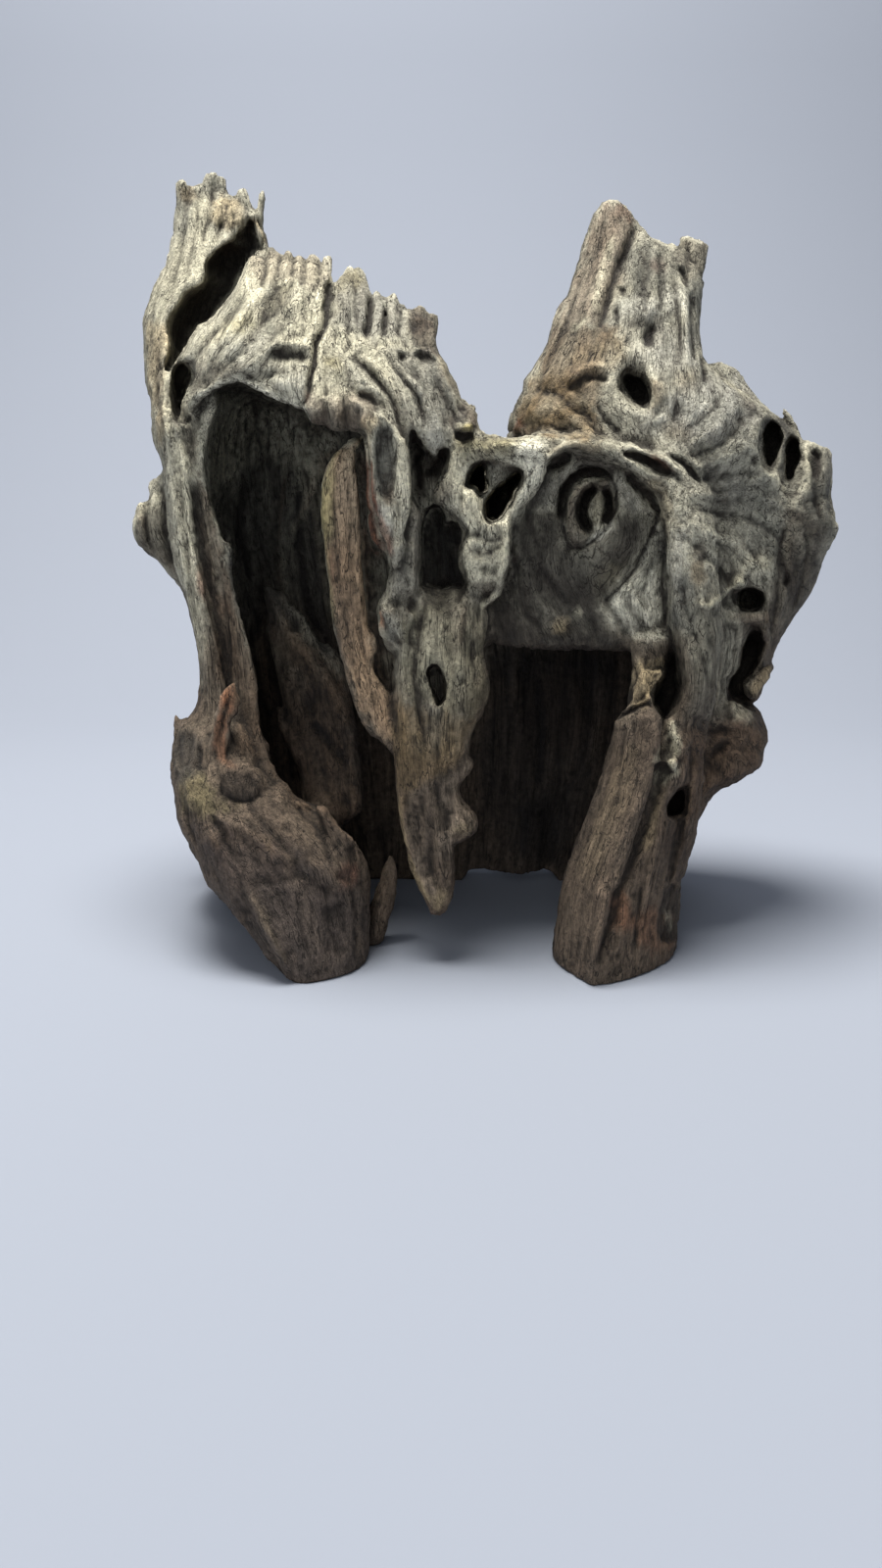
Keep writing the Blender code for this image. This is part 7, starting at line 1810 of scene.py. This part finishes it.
    mesh = bpy.data.meshes.new("wood_skin")
    mesh.vertices.add(skin.n)
    mesh.vertices.foreach_set("co", (skin.p * 1000).astype(np.float32).ravel())
    m = len(skin.quads)
    mesh.loops.add(m * 4)
    mesh.loops.foreach_set("vertex_index", skin.quads.astype(np.int32).ravel())
    mesh.polygons.add(m)
    mesh.polygons.foreach_set("loop_start", np.arange(0, m * 4, 4, dtype=np.int32))
    mesh.update(calc_edges=True)
    grain = mesh.attributes.new("grain", "FLOAT_VECTOR", "POINT")
    grain.data.foreach_set("vector", (q * 1000).astype(np.float32).ravel())
    colour = mesh.attributes.new("tint", "FLOAT_COLOR", "POINT")
    colour.data.foreach_set("color", np.concatenate([tint, np.ones((skin.n, 1))], 1).astype(np.float32).ravel())
    for name, v in (("pit", pit), ("crest", crest), ("smoothness", smooth_zone), ("browned", browned)):
        a = mesh.attributes.new(name, "FLOAT", "POINT")
        a.data.foreach_set("value", np.clip(v, 0, 1).astype(np.float32))
    obj = bpy.data.objects.new("driftwood_body", mesh)
    bpy.context.scene.collection.objects.link(obj)
    group = obj.vertex_groups.new(name="thin")
    level = np.clip((1 - seen * (1 - 0.5 * inside)) * 4, 0, 4).round().astype(int)
    for k in range(5):
        group.add(np.nonzero(level == k)[0].tolist(), 0.2 + 0.2 * k, "REPLACE")
    say("mesh made")
    thin = obj.modifiers.new("Thin", "DECIMATE")
    thin.ratio = FACE_BUDGET / (2.0 * m)
    thin.vertex_group = "thin"
    thin.vertex_group_factor = 0.004
    thin.use_collapse_triangulate = True
    final = bpy.data.meshes.new_from_object(obj.evaluated_get(bpy.context.evaluated_depsgraph_get()))
    bpy.data.objects.remove(obj)
    bpy.data.meshes.remove(mesh)
    co = np.empty(len(final.vertices) * 3, np.float32)
    final.vertices.foreach_get("co", co)
    co = (co.reshape(-1, 3) / 1000).astype(np.float32)
    co[:, 2] = np.maximum(co[:, 2], 0)
    final.vertices.foreach_set("co", co.ravel())
    final.update()
    say("thinned", len(final.polygons), "faces", co.min(0), co.max(0))
    return final


# ---- material -----------------------------------------------------------------------------------------------------
def wood_material():
    material = bpy.data.materials.new("weathered_wood")
    material.use_nodes = True
    tree = material.node_tree
    nodes, links = tree.nodes, tree.links
    shader = nodes["Principled BSDF"]

    def node(kind, **values):
        n = nodes.new(kind)
        for key, value in values.items():
            if key in n.inputs:
                n.inputs[key].default_value = value
            else:
                setattr(n, key, value)
        return n

    def attribute(name, socket):
        n = nodes.new("ShaderNodeAttribute")
        n.attribute_name = name
        return n.outputs[socket]

    def maths(operation, a, b=None, c=None, clamp=False):
        n = nodes.new("ShaderNodeMath")
        n.operation, n.use_clamp = operation, clamp
        for k, v in enumerate((a, b, c)):
            if v is None:
                continue
            if isinstance(v, (int, float)):
                n.inputs[k].default_value = v
            else:
                links.new(v, n.inputs[k])
        return n.outputs[0]

    def noise_node(vector, scale, detail, rough, offset=0.0):
        shift = nodes.new("ShaderNodeVectorMath")
        shift.operation = "ADD"
        shift.inputs[1].default_value = (offset, offset * 0.7, offset * 1.3)
        links.new(vector, shift.inputs[0])
        n = nodes.new("ShaderNodeTexNoise")
        n.inputs["Scale"].default_value = scale
        n.inputs["Detail"].default_value = detail
        n.inputs["Roughness"].default_value = rough
        links.new(shift.outputs[0], n.inputs["Vector"])
        return n.outputs["Fac"]

    def span(value, a, b, c=0.0, d=1.0):
        n = nodes.new("ShaderNodeMapRange")
        n.interpolation_type = "SMOOTHSTEP"
        for k, v in (("From Min", a), ("From Max", b), ("To Min", c), ("To Max", d)):
            n.inputs[k].default_value = v
        links.new(value, n.inputs["Value"])
        return n.outputs["Result"]

    def blend_colour(kind, fac, a, b):
        n = nodes.new("ShaderNodeMix")
        n.data_type, n.blend_type = "RGBA", kind
        n.clamp_factor = True
        for key, v in (("Factor_Float", fac), ("A_Color", a), ("B_Color", b)):
            socket = next(s for s in n.inputs if s.identifier == key)
            if isinstance(v, (int, float)):
                socket.default_value = v
            elif isinstance(v, tuple):
                socket.default_value = v
            else:
                links.new(v, socket)
        return next(s for s in n.outputs if s.identifier == "Result_Color")

    grain = attribute("grain", "Vector")      # millimetres, steady along the fibres
    tint = attribute("tint", "Color")
    pit = attribute("pit", "Fac")
    crest = attribute("crest", "Fac")
    calm = attribute("smoothness", "Fac")
    place = nodes.new("ShaderNodeTexCoord").outputs["Object"]

    fibre = noise_node(grain, 0.55, 4.0, 0.62, 0.0)          # streaks about 2 mm apart
    thread = noise_node(grain, 1.9, 3.0, 0.6, 13.0)          # fine threads about half a millimetre apart
    broad = noise_node(grain, 0.16, 2.0, 0.5, 31.0)          # wide bands
    mottle = noise_node(place, 160.0, 5.0, 0.62, 5.0)        # weathering that crosses the grain
    speck = noise_node(place, 900.0, 2.0, 0.55, 9.0)
    grit = noise_node(place, 480.0, 3.0, 0.68, 17.0)         # the rough, eaten face of old wood

    streak = maths("ABSOLUTE", maths("SUBTRACT", noise_node(grain, 0.36, 2.0, 0.5, 47.0), 0.5))
    check = span(streak, 0.0, 0.022, 1.0, 0.0)               # hair cracks that run with the grain
    check = maths("MULTIPLY", check, span(noise_node(place, 60.0, 2.0, 0.5, 3.0), 0.37, 0.54))
    streak2 = maths("ABSOLUTE", maths("SUBTRACT", noise_node(grain, 0.8, 1.0, 0.5, 71.0), 0.5))
    check2 = span(streak2, 0.0, 0.03, 1.0, 0.0)

    value = maths("ADD", 0.22, maths("MULTIPLY", fibre, 1.40))
    value = maths("ADD", value, maths("MULTIPLY", maths("SUBTRACT", thread, 0.5), 1.0))
    value = maths("ADD", value, maths("MULTIPLY", maths("SUBTRACT", broad, 0.5), 0.45))
    value = maths("ADD", value, maths("MULTIPLY", maths("SUBTRACT", mottle, 0.5), 0.85))
    value = maths("ADD", value, maths("MULTIPLY", maths("SUBTRACT", speck, 0.5), 0.35))
    value = maths("ADD", value, maths("MULTIPLY", maths("SUBTRACT", grit, 0.5), 1.25))
    value = maths("MAXIMUM", value, 0.10)
    grey = nodes.new("ShaderNodeCombineColor")
    for k in range(3):
        links.new(value, grey.inputs[k])
    colour = blend_colour("MULTIPLY", 0.88, tint, grey.outputs[0])
    cloud = span(noise_node(place, 210.0, 3.0, 0.55, 21.0), 0.50, 0.66, 0.0, 0.42)   # greyer patches of a few millimetres
    colour = blend_colour("MULTIPLY", cloud, colour, (0.50, 0.52, 0.50, 1.0))
    pore = span(noise_node(place, 620.0, 2.0, 0.5, 33.0), 0.62, 0.70, 0.0, 0.55)     # dark pores
    colour = blend_colour("MIX", pore, colour, (0.045, 0.036, 0.028, 1.0))
    colour = blend_colour("MIX", maths("MULTIPLY", check, 0.85), colour, (0.030, 0.025, 0.020, 1.0))
    colour = blend_colour("MIX", maths("MULTIPLY", check2, 0.45), colour, (0.060, 0.048, 0.036, 1.0))
    links.new(colour, shader.inputs["Base Color"])

    rough = maths("ADD", 0.74, maths("MULTIPLY", fibre, 0.22), clamp=True)
    links.new(rough, shader.inputs["Roughness"])
    shader.inputs["Metallic"].default_value = 0.0
    shader.inputs["Specular IOR Level"].default_value = 0.28

    height = maths("MULTIPLY", fibre, 0.55)
    height = maths("ADD", height, maths("MULTIPLY", thread, 0.28))
    height = maths("ADD", height, maths("MULTIPLY", mottle, 0.30))
    height = maths("ADD", height, maths("MULTIPLY", speck, 0.10))
    height = maths("ADD", height, maths("MULTIPLY", grit, 0.42))
    height = maths("SUBTRACT", height, maths("MULTIPLY", check, 0.55))
    height = maths("SUBTRACT", height, maths("MULTIPLY", check2, 0.16))
    bump = nodes.new("ShaderNodeBump")
    bump.inputs["Strength"].default_value = 0.85
    bump.inputs["Distance"].default_value = 0.0021
    links.new(height, bump.inputs["Height"])
    links.new(bump.outputs["Normal"], shader.inputs["Normal"])
    return material


# ---- stage --------------------------------------------------------------------------------------------------------
def plain_material(name, colour, rough):
    material = bpy.data.materials.new(name)
    material.use_nodes = True
    shader = material.node_tree.nodes["Principled BSDF"]
    shader.inputs["Base Color"].default_value = (*colour, 1.0)
    shader.inputs["Roughness"].default_value = rough
    shader.inputs["Specular IOR Level"].default_value = 0.2
    return material


def make_stage():
    """A pale sheet that lies under the stump and sweeps up behind it."""
    profile = [(-3.0, 0.0), (0.55, 0.0)]
    for k in range(1, 13):
        a = math.radians(90 * k / 12)
        profile.append((0.55 + 0.9 * math.sin(a), 0.9 - 0.9 * math.cos(a)))
    profile += [(1.45, 4.0)]
    bm = bmesh.new()
    rows = []
    for y, z in profile:
        rows.append([bm.verts.new((x, y, z)) for x in (-4.0, 4.0)])
    for a, b in zip(rows, rows[1:]):
        bm.faces.new((a[0], a[1], b[1], b[0]))
    mesh = bpy.data.meshes.new("stage_sheet")
    bm.to_mesh(mesh)
    bm.free()
    for f in mesh.polygons:
        f.use_smooth = True
    obj = bpy.data.objects.new("stage_sheet", mesh)
    bpy.context.scene.collection.objects.link(obj)
    mesh.materials.append(plain_material("stage_paper", (0.325, 0.350, 0.405), 0.9))


def lamp(name, place, aim, size, power, colour):
    data = bpy.data.lights.new(name, "AREA")
    data.shape = "DISK"
    data.size = size
    data.energy = power
    data.color = colour
    obj = bpy.data.objects.new(name, data)
    bpy.context.scene.collection.objects.link(obj)
    obj.location = place
    d = np.array(place, float) - np.array(aim, float)
    obj.rotation_euler = (math.atan2(math.hypot(d[0], d[1]), d[2]), 0.0, math.atan2(d[0], -d[1]))
    return obj


def make_lights_and_camera():
    scene = bpy.context.scene
    camera = bpy.data.cameras.new("camera")
    camera.sensor_width = 36.0
    camera.sensor_fit = "AUTO"
    camera.lens = GRID_FOCAL / 1600.0 * 36.0
    camera.clip_start = 0.05
    obj = bpy.data.objects.new("camera", camera)
    scene.collection.objects.link(obj)
    obj.location = EYE
    obj.rotation_euler = (math.radians(90) - SIGHT_PITCH, 0.0, 0.0)
    scene.camera = obj
    lamp("key", (-0.18, -0.12, 1.9), (0.0, 0.0, 0.2), 0.95, 50.0, (1.0, 0.985, 0.95))
    lamp("front", (-0.5, -1.7, 0.8), (0.0, 0.0, 0.2), 1.4, 7.5, (0.93, 0.96, 1.0))
    lamp("sheet", (-0.45, 0.2, 2.2), (-0.1, 1.6, 0.8), 1.3, 25.0, (1.0, 0.98, 0.95))
    world = bpy.data.worlds.new("world")
    world.use_nodes = True
    back = world.node_tree.nodes["Background"]
    back.inputs["Color"].default_value = (0.85, 0.90, 1.0, 1.0)
    back.inputs["Strength"].default_value = 0.23
    scene.world = world
    scene.view_settings.view_transform = "Standard"
    scene.view_settings.look = "None"
    scene.view_settings.exposure = 0.0
    scene.view_settings.gamma = 1.0


mesh = wood_mesh()
mesh.name = "driftwood_visual"
body = bpy.data.objects.new("driftwood_visual", mesh)
bpy.context.scene.collection.objects.link(body)
mesh.materials.clear()
mesh.materials.append(wood_material())
mesh.polygons.foreach_set("use_smooth", np.ones(len(mesh.polygons), bool))
mesh.polygons.foreach_set("material_index", np.zeros(len(mesh.polygons), np.int32))
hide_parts("driftwood")
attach(body, "root")
make_stage()
make_lights_and_camera()
say("scene built")

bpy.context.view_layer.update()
